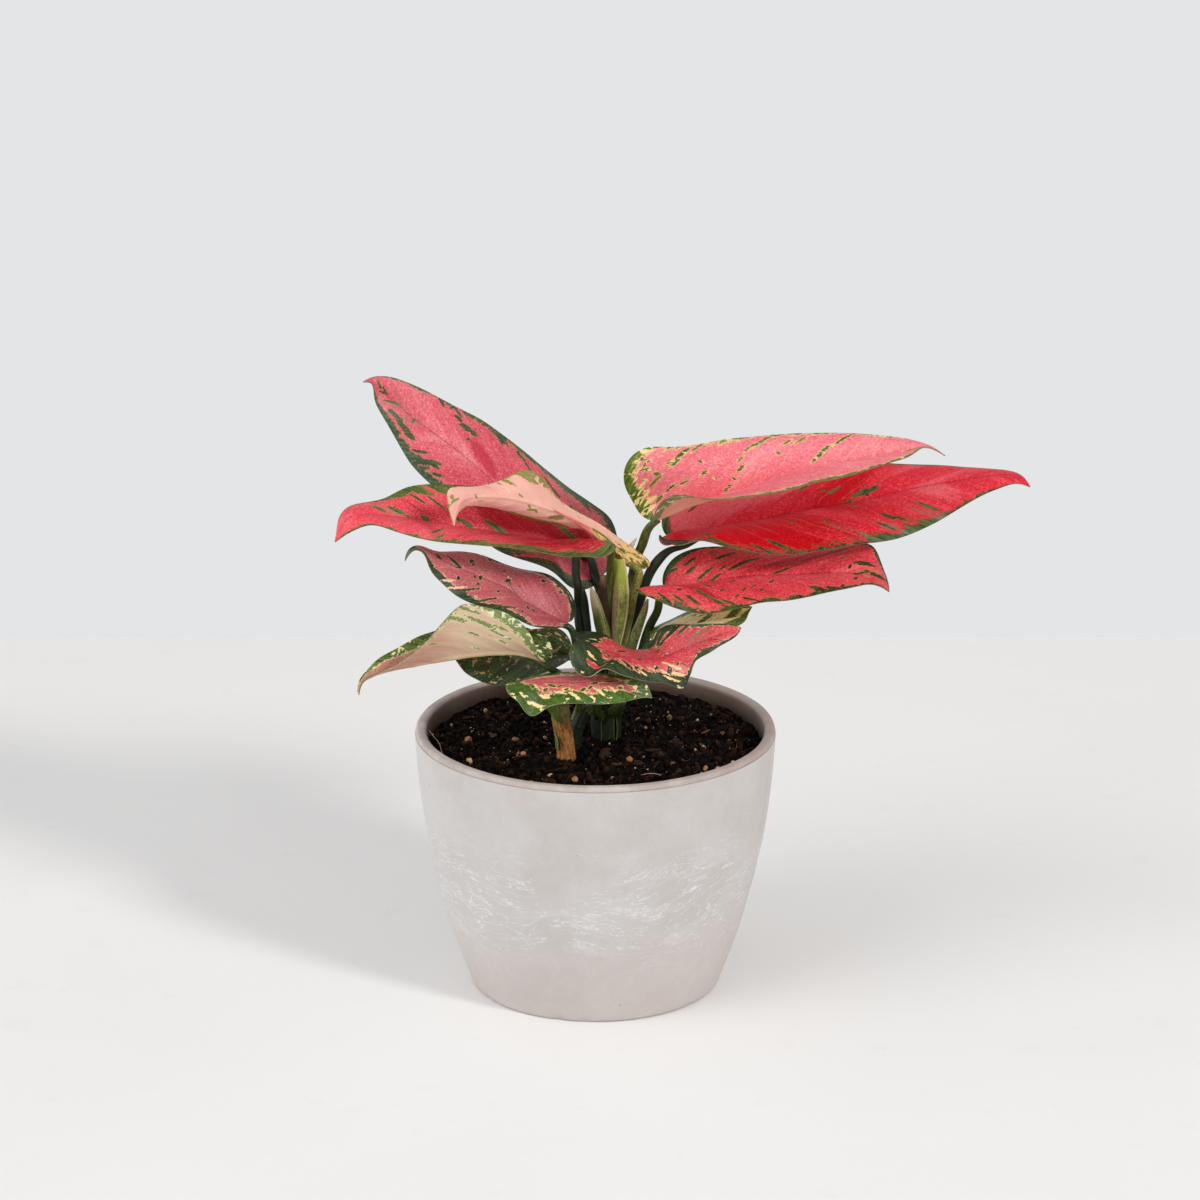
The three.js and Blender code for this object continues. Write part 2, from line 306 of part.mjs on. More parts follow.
// ---- soil --------------------------------------------------------------------------------------
// The surface rises and falls in slow waves, and slopes up a little towards the stems.
function soilHeight(x, y) {
  const r = Math.hypot(x, y);
  const waves = 0.45 * Math.sin(x * 0.11 + 1.3) * Math.cos(y * 0.13 - 0.4)
    + 0.3 * Math.sin(x * 0.27 - y * 0.21 + 0.8) + 0.25 * Math.cos(x * 0.19 + y * 0.31);
  return SOIL_LEVEL + SOIL_RELIEF * waves + 1.2 * Math.exp(-((r / 22) ** 2));
}
const soilGeometry = (() => {
  const S = POT_SEGMENTS;
  const radii = [1, 0.84, 0.66, 0.48, 0.3, 0.14];
  const innerUp = inner.slice().reverse();
  const rAt = (z) => radiusAt(innerUp, z) - SOIL_GAP;
  const low = POT_FLOOR + SOIL_GAP;
  const p = [], index = [];
  const rings = [];
  const foot = innerUp[0][0];
  rings.push(Array.from({ length: S }, () => [foot - 7.3, low]));
  rings.push(Array.from({ length: S }, () => [foot - 3.9, low + 0.9]));
  for (const z of [13.2, 20, 30, 42, 56, 70, 84]) rings.push(Array.from({ length: S }, () => [rAt(z), z]));
  const topR = (j) => {
    const w = (j / S) * Math.PI * 2;
    const r = rAt(SOIL_LEVEL);
    return [r, Math.min(POT_HEIGHT - 3.2, soilHeight(r * Math.cos(w), r * Math.sin(w)))];
  };
  rings.push(Array.from({ length: S }, (_, j) => topR(j)));
  for (const f of radii.slice(1)) rings.push(Array.from({ length: S }, (_, j) => {
    const w = (j / S) * Math.PI * 2;
    const r = f * rAt(SOIL_LEVEL);
    return [r, soilHeight(r * Math.cos(w), r * Math.sin(w))];
  }));
  for (const ring of rings) ring.forEach(([r, z], j) => {
    const w = (j / S) * Math.PI * 2;
    p.push(r * Math.cos(w), r * Math.sin(w), z);
  });
  for (let i = 0; i + 1 < rings.length; i++) for (let j = 0; j < S; j++) {
    const a = i * S + j, b = i * S + (j + 1) % S, c = a + S, d = b + S;
    index.push(a, b, d, a, d, c);
  }
  const bottom = p.length / 3; p.push(0, 0, low);
  const top = bottom + 1; p.push(0, 0, soilHeight(0, 0));
  const last = (rings.length - 1) * S;
  for (let j = 0; j < S; j++) {
    index.push((j + 1) % S, j, bottom);
    index.push(last + j, last + (j + 1) % S, top);
  }
  let solid = toManifold(outward(fromArrays(p, index)));
  // each stem stands in a socket of its own
  for (const points of Object.values(STEMS)) {
    const grown = points.map((q) => q.slice());
    const end = grown[grown.length - 1];
    end[2] -= SOIL_GAP;
    solid = solid.subtract(toManifold(stalk(grown, 12, 10, SOIL_GAP, 1.06)));
  }
  return fromManifold(solid);
})();

// ---- the plant as a scene graph -----------------------------------------------------------------
const group = new THREE.Group();
function add(name, geometry, color, roughness, metalness = 0) {
  const mesh = new THREE.Mesh(geometry, new THREE.MeshStandardMaterial({ color, roughness, metalness }));
  mesh.name = name;
  group.add(mesh);
}
add('pot', potGeometry, 0xc9bfb9, 0.9);
add('soil', soilGeometry, 0x1c120d, 1.0);
add('cane', stalk(STEMS.cane, 9, 10), 0xb07a45, 0.9);
add('stem_back', stalk(STEMS.stem_back, 8, 9), 0x2c3d1c, 0.6);
add('stem_middle', stalk(STEMS.stem_middle, 10, 10), 0x33471f, 0.6);
for (const [name, points] of Object.entries(SHEATHS)) add(name, stalk(points, 9), 0x9aa05a, 0.6);
for (const [name, points] of Object.entries(PETIOLES)) add('petiole_' + name, stalk(points, 10), 0x33471f, 0.5);
for (const [name, data] of Object.entries(BLADES)) add('leaf_' + name, blade(data), data.colour, 0.45);

export default group;
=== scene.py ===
# Potted Chinese evergreen: the visual model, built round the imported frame.
# Every length below is in millimetres in the CAD's own frame and is scaled to metres as a mesh is made.
import math

import bpy
import numpy as np
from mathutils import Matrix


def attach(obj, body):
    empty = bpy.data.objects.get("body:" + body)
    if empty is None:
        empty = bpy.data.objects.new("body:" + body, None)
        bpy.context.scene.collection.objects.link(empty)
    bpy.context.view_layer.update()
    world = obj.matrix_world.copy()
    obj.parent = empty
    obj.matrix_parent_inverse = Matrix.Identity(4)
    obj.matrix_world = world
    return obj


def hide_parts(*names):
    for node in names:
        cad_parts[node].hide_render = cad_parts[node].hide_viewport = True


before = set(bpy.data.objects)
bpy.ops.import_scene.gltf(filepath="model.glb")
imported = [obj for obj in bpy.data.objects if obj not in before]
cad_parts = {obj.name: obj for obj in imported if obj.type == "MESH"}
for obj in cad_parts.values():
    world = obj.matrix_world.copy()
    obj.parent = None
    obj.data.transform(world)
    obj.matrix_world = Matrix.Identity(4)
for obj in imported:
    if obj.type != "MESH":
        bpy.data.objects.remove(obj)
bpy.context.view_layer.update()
MM = 0.001

# ------------------------------------------------------------------------------------------------
# Shapes, as in the construction model
# ------------------------------------------------------------------------------------------------
BLADES = {
    "back_left": dict(
        bulge=(0.06, 0.06, 0.06, 0.06),
        left=[(3.1, 14, 166.6), (0.3, 7.4, 164.8), (-4.8, 2.8, 164.1), (-10.8, 0.4, 166.4), (-16.1, -0.4, 171.9),
              (-23.2, 0.4, 175.5), (-31.4, 2.8, 177.4), (-39.8, 6.2, 180.1), (-46.9, 10, 185.4), (-53.4, 14.1, 191.5),
              (-60.1, 18.5, 197.5), (-67, 23.2, 202.9), (-73.4, 28, 208.3), (-78.1, 32.1, 214.7), (-82.1, 35.3, 221.1),
              (-85.9, 37.4, 227.1), (-88.5, 38.6, 232.9), (-89.3, 39.2, 238.5), (-93, 40, 239.4)],
        midrib=[(3.1, 14, 166.6), (-0.2, 14.8, 169.1), (-4.2, 15.8, 172.2), (-8.7, 17, 175.7), (-13.7, 18.4, 179.8),
                (-19.2, 20.1, 184.3), (-25, 21.9, 189.2), (-31.3, 23.9, 194.2), (-37.8, 26.2, 199.3), (-44.3, 28.6, 204.6),
                (-50.8, 31, 209.9), (-57.5, 33.4, 214.7), (-64.2, 36.3, 219), (-70.6, 38.9, 223), (-76.2, 40.9, 227.3),
                (-81.2, 41.9, 231.6), (-85.6, 41.8, 235.6), (-89.1, 41, 239.5), (-93, 40, 239.4)],
        right=[(3.1, 14, 166.6), (6.3, 21.7, 167.9), (8.6, 27.4, 171.6), (8.5, 30.9, 177.5), (5.8, 33.7, 183.9),
               (-0.5, 36.8, 188.5), (-7.9, 40, 192.9), (-15.4, 42.6, 198.1), (-23, 44.3, 204), (-30.6, 45.3, 210.4),
               (-38.5, 45.8, 216.5), (-46.4, 45.9, 222.3), (-54.8, 46.1, 226.6), (-62.7, 46.2, 230.9), (-70, 45.8, 234.9),
               (-76.9, 45.2, 238.2), (-83.2, 44.1, 240.4), (-88.9, 42.3, 240.8), (-93, 40, 239.4)],
    ),
    "left_middle": dict(
        bulge=(0.05, 0.05, 0.05, 0.05),
        left=[(-6.9, -4, 183.2), (-2.8, -11.3, 187.7), (2.4, -17.3, 190.8), (8.1, -21.6, 190.1), (4, -24.8, 186.8),
              (-3.6, -27.1, 187.4), (-11.9, -28.8, 188), (-20.4, -30, 190), (-29.3, -30.9, 191.8), (-38.4, -31.4, 192.9),
              (-47.4, -31.5, 193.8), (-56.4, -31.1, 194.3), (-65, -30.4, 195.4), (-73, -29.4, 197.1), (-80.4, -28.1, 199),
              (-87.2, -26.7, 200.2), (-93.2, -25.8, 198.3), (-98, -25.7, 195.6), (-101.7, -26, 193.1)],
        midrib=[(-6.9, -4, 183.2), (-10.2, -4.3, 184.4), (-14.3, -4.7, 185.6), (-19, -5.3, 186.8), (-24.4, -6, 188.1),
                (-30.3, -6.9, 189.5), (-36.7, -7.9, 190.9), (-43.3, -9.2, 192.4), (-50.3, -10.8, 194), (-57.3, -12.6, 195.8),
                (-64.2, -14.5, 197.7), (-71.1, -16.4, 199.5), (-77.7, -18.1, 200.9), (-84, -19.7, 202.2), (-89.8, -21.3, 203.2),
                (-95.1, -22.7, 202.7), (-98.6, -24, 199.8), (-100.5, -25.1, 196.2), (-101.7, -26, 193.1)],
        right=[(-6.9, -4, 183.2), (-2.9, 2.1, 183.6), (1.5, 6.2, 185.8), (-0.4, 8.1, 190.6), (-6.4, 8.4, 194.7),
               (-13.5, 7.9, 198.4), (-21.6, 6.8, 201.3), (-30.2, 5, 204.2), (-39.3, 2.4, 206.5), (-48.5, -0.5, 208.2),
               (-57.8, -3.6, 209.6), (-66.9, -6.4, 210.6), (-75.5, -8.7, 209.7), (-82.9, -10.9, 206.4), (-90.3, -13.6, 205.5),
               (-96.4, -16.7, 204.7), (-100.1, -19.9, 201.4), (-101.1, -23, 196.9), (-101.7, -26, 193.1)],
    ),
    "young_curled": dict(
        bulge=(-0.2, -0.12, -0.2, -0.12),
        left=[(11, -4, 179.9), (14.1, -2.7, 176.5), (18.7, -2.3, 174.1), (21.8, -2.6, 176.9), (17.1, -3.5, 182.1),
              (11.1, -4.7, 186.8), (4.6, -6, 191.9), (-2.4, -7.6, 196.9), (-9.8, -9.8, 202.1), (-16.3, -12.7, 208.8),
              (-21.4, -16, 217.1), (-28.4, -19.1, 220.1), (-35.9, -21.4, 217.3), (-43.2, -23.7, 215.6), (-50.3, -26.5, 215.7),
              (-56.6, -29.3, 215.8), (-57.4, -31.5, 210.6), (-56.3, -33, 206), (-54.9, -34, 202.2)],
        midrib=[(11, -4, 179.9), (9.4, -5.5, 182.8), (7.4, -7.3, 186.2), (4.7, -9.2, 189.7), (1.1, -11.3, 193),
                (-3, -13.4, 196.2), (-7.5, -15.5, 199.3), (-12.4, -17.5, 202.2), (-17.6, -19.5, 204.9), (-23, -21.3, 207.2),
                (-28.4, -23.2, 209.3), (-33.8, -25, 210.9), (-39.1, -26.7, 212), (-44.1, -28.3, 212.6), (-48.8, -29.8, 212.7),
                (-52.5, -31.1, 211.1), (-54.1, -32.2, 207.9), (-54.6, -33.2, 204.8), (-54.9, -34, 202.2)],
        right=[(11, -4, 179.9), (8.5, -2.1, 180.2), (6, -0.8, 182), (3.6, -0.1, 184.7), (1.2, 0, 188.3),
               (-1.7, -0.5, 192.1), (-6.5, -1.8, 192.6), (-11.7, -3.8, 193.3), (-17, -6.4, 194.7), (-22.3, -9.3, 196.4),
               (-27.6, -12.4, 198.7), (-32.6, -15.6, 201.4), (-37.3, -18.7, 204.2), (-42, -21.9, 206.4), (-46.4, -24.9, 207.8),
               (-50.4, -27.6, 208.2), (-53.1, -30, 206.6), (-54.3, -32.1, 204.2), (-54.9, -34, 202.2)],
    ),
    "left_lower": dict(
        bulge=(0.07, 0.07, 0.07, 0.07),
        left=[(-11.6, -14, 155.7), (-10.1, -19.9, 156.7), (-13.2, -24.5, 157.3), (-17, -27.4, 157.9), (-21.3, -29.3, 158.8),
              (-25.9, -30.5, 160.3), (-30.4, -31.2, 162.9), (-35.2, -31.1, 165.4), (-40.4, -30.5, 167), (-45.9, -29.6, 168.2),
              (-51.1, -28.7, 170), (-55.8, -28, 172.8), (-59.8, -27.6, 176.5), (-63.3, -27.5, 180.2), (-65.5, -27.3, 184.5),
              (-67.2, -27, 188.5), (-70.4, -26.3, 189.8), (-73, -25.3, 187.4), (-74.5, -24, 184.7)],
        midrib=[(-11.6, -14, 155.7), (-13.8, -14.1, 156.9), (-16.5, -14.2, 158.4), (-19.6, -14.4, 160), (-23.1, -14.6, 162),
                (-26.8, -14.9, 164.3), (-30.6, -15.3, 167.2), (-34.5, -15.7, 170.4), (-38.9, -16.2, 172.9), (-43.6, -16.8, 175.1),
                (-48.3, -17.5, 177.5), (-52.8, -18.3, 179.9), (-57.2, -19.2, 182.2), (-61.2, -20.1, 184.6), (-64.9, -21, 187.1),
                (-68.4, -21.9, 189), (-71.7, -22.7, 189), (-73.7, -23.4, 186.9), (-74.5, -24, 184.7)],
        right=[(-11.6, -14, 155.7), (-9, -8.8, 155.4), (-8.1, -5.3, 157.8), (-8.5, -3.7, 161.6), (-10.7, -3.2, 165.7),
               (-14.4, -3, 169.3), (-19.1, -2.5, 172.2), (-24.7, -1.9, 173.4), (-30.6, -1.9, 174.6), (-36.4, -2.9, 176.7),
               (-42.1, -4.6, 179.5), (-47.8, -6.7, 182), (-53.4, -8.9, 183.6), (-58.8, -11.2, 184.3), (-63.7, -13.6, 185.5),
               (-68, -16.2, 188), (-71.8, -18.8, 188.8), (-74, -21.5, 186.8), (-74.5, -24, 184.7)],
    ),
    "left_low_folded": dict(
        bulge=(-0.1, -0.1, 0, 0),
        left=[(-19.4, -30, 144.9), (-22.1, -33.6, 147.6), (-23.2, -36.7, 152.8), (-24.7, -39.2, 158.3), (-27.7, -40.9, 163.3),
              (-32.2, -41.9, 167.5), (-37.7, -41.9, 170.3), (-44.1, -41.5, 171.6), (-50.7, -41.8, 172.7), (-56.2, -43.9, 169.6),
              (-60.7, -47.1, 165.3), (-65.1, -49.9, 160.9), (-70, -51.6, 157), (-75, -52.2, 153.3), (-80, -52.4, 150.4),
              (-84.8, -52.3, 148.2), (-88.9, -52.2, 145.8), (-91.4, -52.2, 142.4), (-92, -52, 138.9)],
        midrib=[(-19.4, -30, 144.9), (-21.8, -30.4, 146.2), (-24.9, -30.8, 147.6), (-28.5, -31.5, 148.9), (-32.7, -32.2, 149.7),
                (-37.3, -33.1, 149.9), (-42.3, -34.1, 149.9), (-47.5, -35.3, 149.7), (-52.8, -36.6, 149.3), (-58.3, -38, 148.8),
                (-63.7, -39.6, 148.4), (-69, -41.3, 147.9), (-74.1, -43, 147.5), (-78.9, -44.7, 147.1), (-83.3, -46.4, 146.4),
                (-87.2, -48.1, 145.4), (-90.3, -49.5, 143.8), (-91.7, -50.9, 141.3), (-92, -52, 138.9)],
        right=[(-19.4, -30, 144.9), (-17, -26.8, 145.9), (-17.2, -24.2, 149.3), (-19.9, -22.4, 152.7), (-24.5, -21.2, 154.9),
               (-30, -20.7, 156.8), (-36, -21.1, 158.6), (-42.5, -22.2, 159.8), (-49.3, -23.9, 160.1), (-56, -26.1, 159.3),
               (-62.4, -28.7, 157.6), (-68.8, -31.6, 156.3), (-74.4, -34.6, 154.1), (-79.8, -37.6, 152), (-84.7, -40.7, 150),
               (-88.2, -43.7, 147.1), (-91.1, -46.6, 144.3), (-92.6, -49.4, 141.4), (-92, -52, 138.9)],
    ),
    "left_under": dict(
        bulge=(0.05, 0.05, 0.05, 0.05),
        left=[(-8.5, -7, 139.9), (-9.8, -13, 140.4), (-11.8, -17.7, 140.4), (-14.3, -20.8, 140.1), (-17.2, -22.9, 139.4),
              (-20.4, -24.3, 138.5), (-24, -25, 137.3), (-27.7, -25.2, 135.8), (-31.6, -24.9, 134.3), (-35.8, -24.3, 133.3),
              (-40, -23.5, 133), (-44, -22.8, 133.7), (-47.6, -22.1, 135.3), (-50.9, -21.6, 137.2), (-53.2, -21.2, 139.8),
              (-55, -20.8, 142.4), (-56.9, -20.1, 144.5), (-58.7, -19.2, 146), (-60.2, -18, 147)],
        midrib=[(-8.5, -7, 139.9), (-10.3, -7.2, 140), (-12.4, -7.4, 140), (-14.9, -7.7, 140), (-17.7, -8.1, 139.9),
                (-20.8, -8.5, 139.8), (-24.1, -9.1, 139.6), (-27.6, -9.7, 139.4), (-31.2, -10.3, 139.3), (-34.8, -11, 139.2),
                (-38.5, -11.8, 139.3), (-42.1, -12.6, 139.8), (-45.5, -13.4, 140.6), (-48.7, -14.3, 141.6), (-51.7, -15.2, 142.8),
                (-54.3, -16, 144), (-56.6, -16.8, 145.1), (-58.6, -17.4, 146.2), (-60.2, -18, 147)],
        right=[(-8.5, -7, 139.9), (-8.9, -3.4, 140.8), (-9.5, -0.7, 142.4), (-10.6, 0.9, 144.6), (-12.6, 1.8, 146.9),
               (-15.7, 2.3, 148.3), (-19.5, 2.3, 148.4), (-23.4, 1.9, 148.1), (-27.4, 0.9, 147.8), (-31.5, -0.6, 147.5),
               (-35.6, -2.6, 147.4), (-39.6, -4.8, 147.5), (-43.4, -7.2, 147.8), (-47.1, -9.5, 148), (-50.4, -11.6, 148.1),
               (-53.5, -13.5, 147.9), (-56.1, -15.1, 147.6), (-58.3, -16.6, 147.3), (-60.2, -18, 147)],
    ),
    "front_small": dict(
        bulge=(0.03, 0.03, 0.12, 0.05),
        left=[(-31.7, -46, 140.5), (-33.9, -40.5, 139), (-32.2, -36.1, 138.8), (-29.4, -33.2, 138.6), (-26.1, -31.3, 138.8),
              (-22.5, -30, 139.2), (-18.5, -29.4, 139.7), (-14.3, -29.3, 140), (-9.9, -29.7, 140.3), (-5.4, -30.6, 140.6),
              (-0.9, -31.9, 140.9), (3.4, -33.5, 141.1), (7.6, -35.5, 141.1), (11.5, -37.8, 141.1), (15.2, -40.3, 141.4),
              (18.4, -42.7, 141.3), (20.5, -44.5, 139.7), (21.5, -45.9, 137.7), (22.1, -47, 135.9)],
        midrib=[(-31.7, -46, 140.5), (-29.9, -45.8, 140.7), (-27.7, -45.5, 140.9), (-25.1, -45.3, 141.2), (-22.2, -45.1, 141.4),
                (-19, -44.9, 141.5), (-15.6, -44.7, 141.5), (-12, -44.6, 141.5), (-8.2, -44.5, 141.4), (-4.4, -44.5, 141.2),
                (-0.6, -44.6, 141), (3.2, -44.7, 140.8), (6.8, -45, 140.4), (10.1, -45.3, 139.8), (13.2, -45.6, 139),
                (16, -46, 138.2), (18.4, -46.4, 137.3), (20.4, -46.7, 136.5), (22.1, -47, 135.9)],
        right=[(-31.7, -46, 140.5), (-33.9, -51, 142.8), (-34.6, -54.7, 142.1), (-32.7, -56.6, 140), (-29.9, -57, 137.8),
               (-27.6, -56.7, 134.2), (-24.3, -56.4, 131.8), (-20.4, -56.5, 134.2), (-16.3, -56.6, 136.3), (-11.6, -56.2, 136.7),
               (-6.8, -55.1, 136.5), (-2.2, -53.7, 135.8), (2.3, -52.3, 135.2), (6.6, -51, 135), (10.5, -50.2, 135.2),
               (14, -49.6, 135.9), (17.1, -49, 136.5), (19.9, -48.1, 136.7), (22.1, -47, 135.9)],
    ),
    "front_wavy": dict(
        bulge=(0.05, 0.05, 0.16, 0.05),
        left=[(-4.4, -30, 152), (-6.8, -24.9, 151.5), (-7.8, -21.3, 153.2), (-4.5, -19.3, 153.7), (-0.4, -18.2, 153),
              (4, -17.6, 151.4), (7.9, -17.1, 148.2), (12.6, -16.9, 145.9), (18, -17.4, 145.6), (22.5, -18.7, 148.6),
              (24.8, -20.5, 154.4), (29.3, -22.1, 157.6), (34.5, -23.1, 158.2), (39.4, -23.6, 158.4), (43.9, -23.9, 158.6),
              (48, -24.4, 158.8), (51.7, -24.9, 158.9), (54.8, -25.4, 158.6), (57.3, -26, 157.7)],
        midrib=[(-4.4, -30, 152), (-2.3, -30.8, 151.7), (0.3, -31.6, 151.3), (3.2, -32.4, 150.7), (6.4, -33.2, 149.8),
                (10, -33.8, 148.8), (13.9, -34, 148), (18.2, -33.9, 147.4), (22.6, -33.5, 147.3), (27, -32.9, 148),
                (31.2, -32.3, 149.4), (35.3, -31.6, 150.9), (39.3, -30.9, 152.3), (43, -30, 153.6), (46.5, -29.1, 154.8),
                (49.8, -28.3, 155.8), (52.6, -27.4, 156.6), (55.2, -26.7, 157.2), (57.3, -26, 157.7)],
        right=[(-4.4, -30, 152), (-7.5, -36.4, 155.2), (-9.6, -41.2, 154), (-9.6, -44.1, 150.2), (-7.1, -46.1, 146.3),
               (-1.9, -48.1, 145.1), (3.1, -49.6, 148.8), (8.7, -49.9, 147.1), (14.9, -48.8, 144.5), (21.5, -46, 142.2),
               (28.2, -42.1, 140), (34.5, -38.7, 136.9), (37, -37, 141.8), (39.2, -36.1, 147.3), (44, -34.7, 149.9),
               (48.4, -32.3, 152), (52.4, -29.8, 153.5), (55.6, -27.7, 155.2), (57.3, -26, 157.7)],
    ),
    "right_under": dict(
        bulge=(0.06, 0.06, 0.06, 0.06),
        left=[(22.4, -15, 149), (21.8, -9.8, 148.7), (21.9, -5.7, 149.2), (23.5, -2.7, 149.8), (25.7, -0.5, 150.3),
              (28.2, 1.1, 150.9), (30.9, 2.1, 151.8), (33.7, 2.7, 153.1), (36.5, 2.8, 154.5), (39.6, 2.6, 155.8),
              (42.7, 2, 156.8), (45.8, 1.2, 157.8), (48.8, 0.3, 158.7), (51.7, -0.8, 159.4), (54.3, -1.7, 159.9),
              (56.8, -2.4, 160.1), (58.9, -2.9, 159.9), (60.7, -3.4, 159.4), (62.2, -4, 159.1)],
        midrib=[(22.4, -15, 149), (23.6, -14.7, 149.7), (25.1, -14.3, 150.5), (26.8, -13.9, 151.4), (28.8, -13.4, 152.2),
                (31.2, -12.8, 152.9), (33.7, -12.2, 153.4), (36.4, -11.5, 153.8), (39.3, -10.8, 154.2), (42.2, -10, 154.6),
                (45.1, -9.2, 154.9), (47.9, -8.4, 155.2), (50.7, -7.7, 155.4), (53.3, -6.9, 155.6), (55.7, -6.2, 156.1),
                (57.7, -5.6, 156.8), (59.5, -5, 157.6), (61, -4.4, 158.4), (62.2, -4, 159.1)],
        right=[(22.4, -15, 149), (23.8, -19.6, 150.1), (25.6, -23, 151), (27.6, -25, 151.5), (30, -25.9, 151.9),
               (32.5, -26.2, 152.3), (35.3, -26, 152.7), (38.2, -25.3, 153), (41.1, -24.1, 153.3), (44.2, -22.6, 153.4),
               (47.3, -20.7, 153.4), (50.2, -18.6, 153.6), (53, -16.3, 153.9), (55.6, -14, 154.3), (58, -11.8, 154.7),
               (59.7, -9.7, 155.8), (60.6, -7.7, 157.2), (61.5, -5.9, 158.3), (62.2, -4, 159.1)],
    ),
    "right_lower": dict(
        bulge=(0.06, 0.06, 0.06, 0.06),
        left=[(27.2, -5, 166.1), (26.9, 1.4, 168), (27.9, 2.9, 172.3), (31, 4.3, 176.4), (36.2, 5.9, 179),
              (42.7, 7.6, 180), (49.9, 9.2, 179.7), (57.5, 10.4, 178.9), (65.3, 11.2, 178), (73.3, 11.4, 177.5),
              (81.2, 10.7, 178), (88.9, 9.2, 179.6), (96.3, 6.9, 181.3), (103.2, 4.1, 182.9), (109.5, 1, 182.9),
              (112.5, -2.4, 178.7), (114.3, -6.5, 174.8), (115.6, -11.5, 171.8), (115.6, -19, 170.3)],
        midrib=[(27.2, -5, 166.1), (30.3, -5, 166.3), (34, -5, 166.7), (38.3, -5.1, 167.5), (43, -5.1, 169),
                (48.1, -5.2, 170.5), (53.8, -5.4, 171.5), (59.8, -5.5, 172.2), (66, -5.8, 172.7), (72.4, -6, 172.9),
                (78.8, -6.6, 173.2), (85, -7.6, 173.9), (90.9, -9.1, 174.8), (96.6, -10.8, 175.5), (101.8, -12.7, 175.6),
                (106.4, -14.5, 175), (110.3, -16.2, 173.7), (113.3, -17.7, 171.9), (115.6, -19, 170.3)],
        right=[(27.2, -5, 166.1), (23.1, -15.1, 169.9), (18.3, -17.6, 171.1), (15.9, -19.9, 170.8), (21.6, -21.4, 168.7),
               (27.9, -21.7, 165.9), (34.9, -21.1, 163.2), (42.6, -20.5, 161.8), (50.5, -20.4, 162.7), (58.4, -21, 164.9),
               (66.4, -21.8, 167.1), (74.3, -22.7, 167.8), (82, -23.3, 169.1), (89.1, -23.7, 171), (95.7, -23.6, 172.5),
               (101.8, -23.2, 173.7), (107.3, -22.5, 174.5), (112, -21.4, 173.2), (115.6, -19, 170.3)],
    ),
    "right_middle": dict(
        bulge=(0.06, 0.06, 0.09, 0.09),
        left=[(37.6, 6, 183.8), (32, 17.1, 179.9), (27.1, 19.9, 183.4), (27.8, 21.9, 191.1), (34.9, 23.5, 196.3),
              (44.6, 25.3, 198.8), (55.3, 27, 200.8), (66.5, 28.1, 203.1), (78.1, 28.3, 205.5), (90, 27.9, 207.5),
              (102, 27.2, 209), (113.8, 26.1, 209.7), (125.1, 24.3, 209.9), (135.8, 21.8, 210), (145.6, 18.7, 210),
              (154.5, 15.1, 210.6), (162.3, 11.6, 211.1), (168.7, 8.1, 210), (172, 4, 206.4)],
        midrib=[(37.6, 6, 183.8), (42.1, 6.3, 185.3), (47.5, 6.7, 187), (53.9, 7, 188.6), (61, 7.3, 190.2),
                (68.9, 7.6, 192.1), (77.4, 7.9, 194.3), (86.3, 8, 196.3), (95.8, 8, 197.6), (105.3, 7.9, 199.3),
                (114.6, 7.7, 201.7), (123.8, 7.4, 204.1), (132.8, 7, 206.1), (141.3, 6.5, 207.7), (149.2, 6, 209.2),
                (156.5, 5.5, 210.4), (162.9, 5, 210.9), (168.3, 4.5, 209.4), (172, 4, 206.4)],
        right=[(37.6, 6, 183.8), (31.9, -1.7, 186.2), (25.8, -5.6, 188.1), (32.2, -9.3, 186.5), (40.7, -12.5, 189.3),
               (50.1, -14.6, 187.8), (60.3, -15.4, 186), (71.1, -15.3, 184.7), (82.5, -14.6, 185), (93.8, -13.7, 186.7),
               (105.3, -12.2, 188), (116.6, -10.1, 188.9), (127, -7.8, 191.8), (136.4, -5.8, 196), (144.7, -3.9, 200.7),
               (152.4, -1.9, 204.6), (159.7, -0.1, 207.2), (166.3, 1.6, 208.5), (172, 4, 206.4)],
    ),
    "right_upper": dict(
        bulge=(0.1, 0.1, 0, 0),
        left=[(22.4, -6, 195.5), (18, -0.7, 196.5), (14.7, 1.4, 201.6), (11.6, -0.2, 209.1), (12.5, -3.4, 218.5),
              (19.2, -5.5, 225.1), (29, -5.4, 225.5), (39.3, -4.4, 226.2), (49.9, -3.8, 228), (60.7, -4.3, 229.5),
              (71.5, -5.8, 231), (82.1, -8.4, 232.1), (92.2, -11.6, 233.1), (101.8, -15.1, 233.8), (110.7, -18.5, 234),
              (118.7, -21.6, 233.8), (125.7, -24.9, 233.3), (131.3, -28.4, 232), (135.5, -32, 230)],
        midrib=[(22.4, -6, 195.5), (26.1, -6.6, 197.5), (30.6, -7.4, 199.7), (35.8, -8.3, 202.2), (41.9, -9.3, 204.6),
                (48.6, -10.6, 207), (55.8, -11.9, 209.5), (63.2, -13.4, 212.6), (70.9, -15, 215.9), (78.8, -16.7, 219),
                (86.7, -18.4, 221.7), (94.7, -20.3, 223.9), (102.3, -22.1, 225.7), (109.6, -24, 227.4), (116.3, -25.9, 229.3),
                (122.3, -27.7, 231.5), (127.7, -29.3, 232.9), (132.2, -30.8, 231.9), (135.5, -32, 230)],
        right=[(22.4, -6, 195.5), (22.2, -14.4, 198.7), (24.4, -21.1, 205.7), (28.7, -26.1, 211.3), (35.4, -29.8, 213),
               (42.6, -32.8, 212.7), (50.5, -35, 213.2), (58.8, -36.4, 214.7), (67.4, -37.1, 216.3), (75.9, -37.4, 218.4),
               (84.5, -37.3, 220.7), (93, -37, 222), (101.1, -36.5, 224), (108.6, -36.1, 226.8), (115.6, -35.7, 228.9),
               (121.8, -35.1, 231.3), (126.9, -34.3, 234.3), (131.7, -33.3, 232.8), (135.5, -32, 230)],
    ),
}
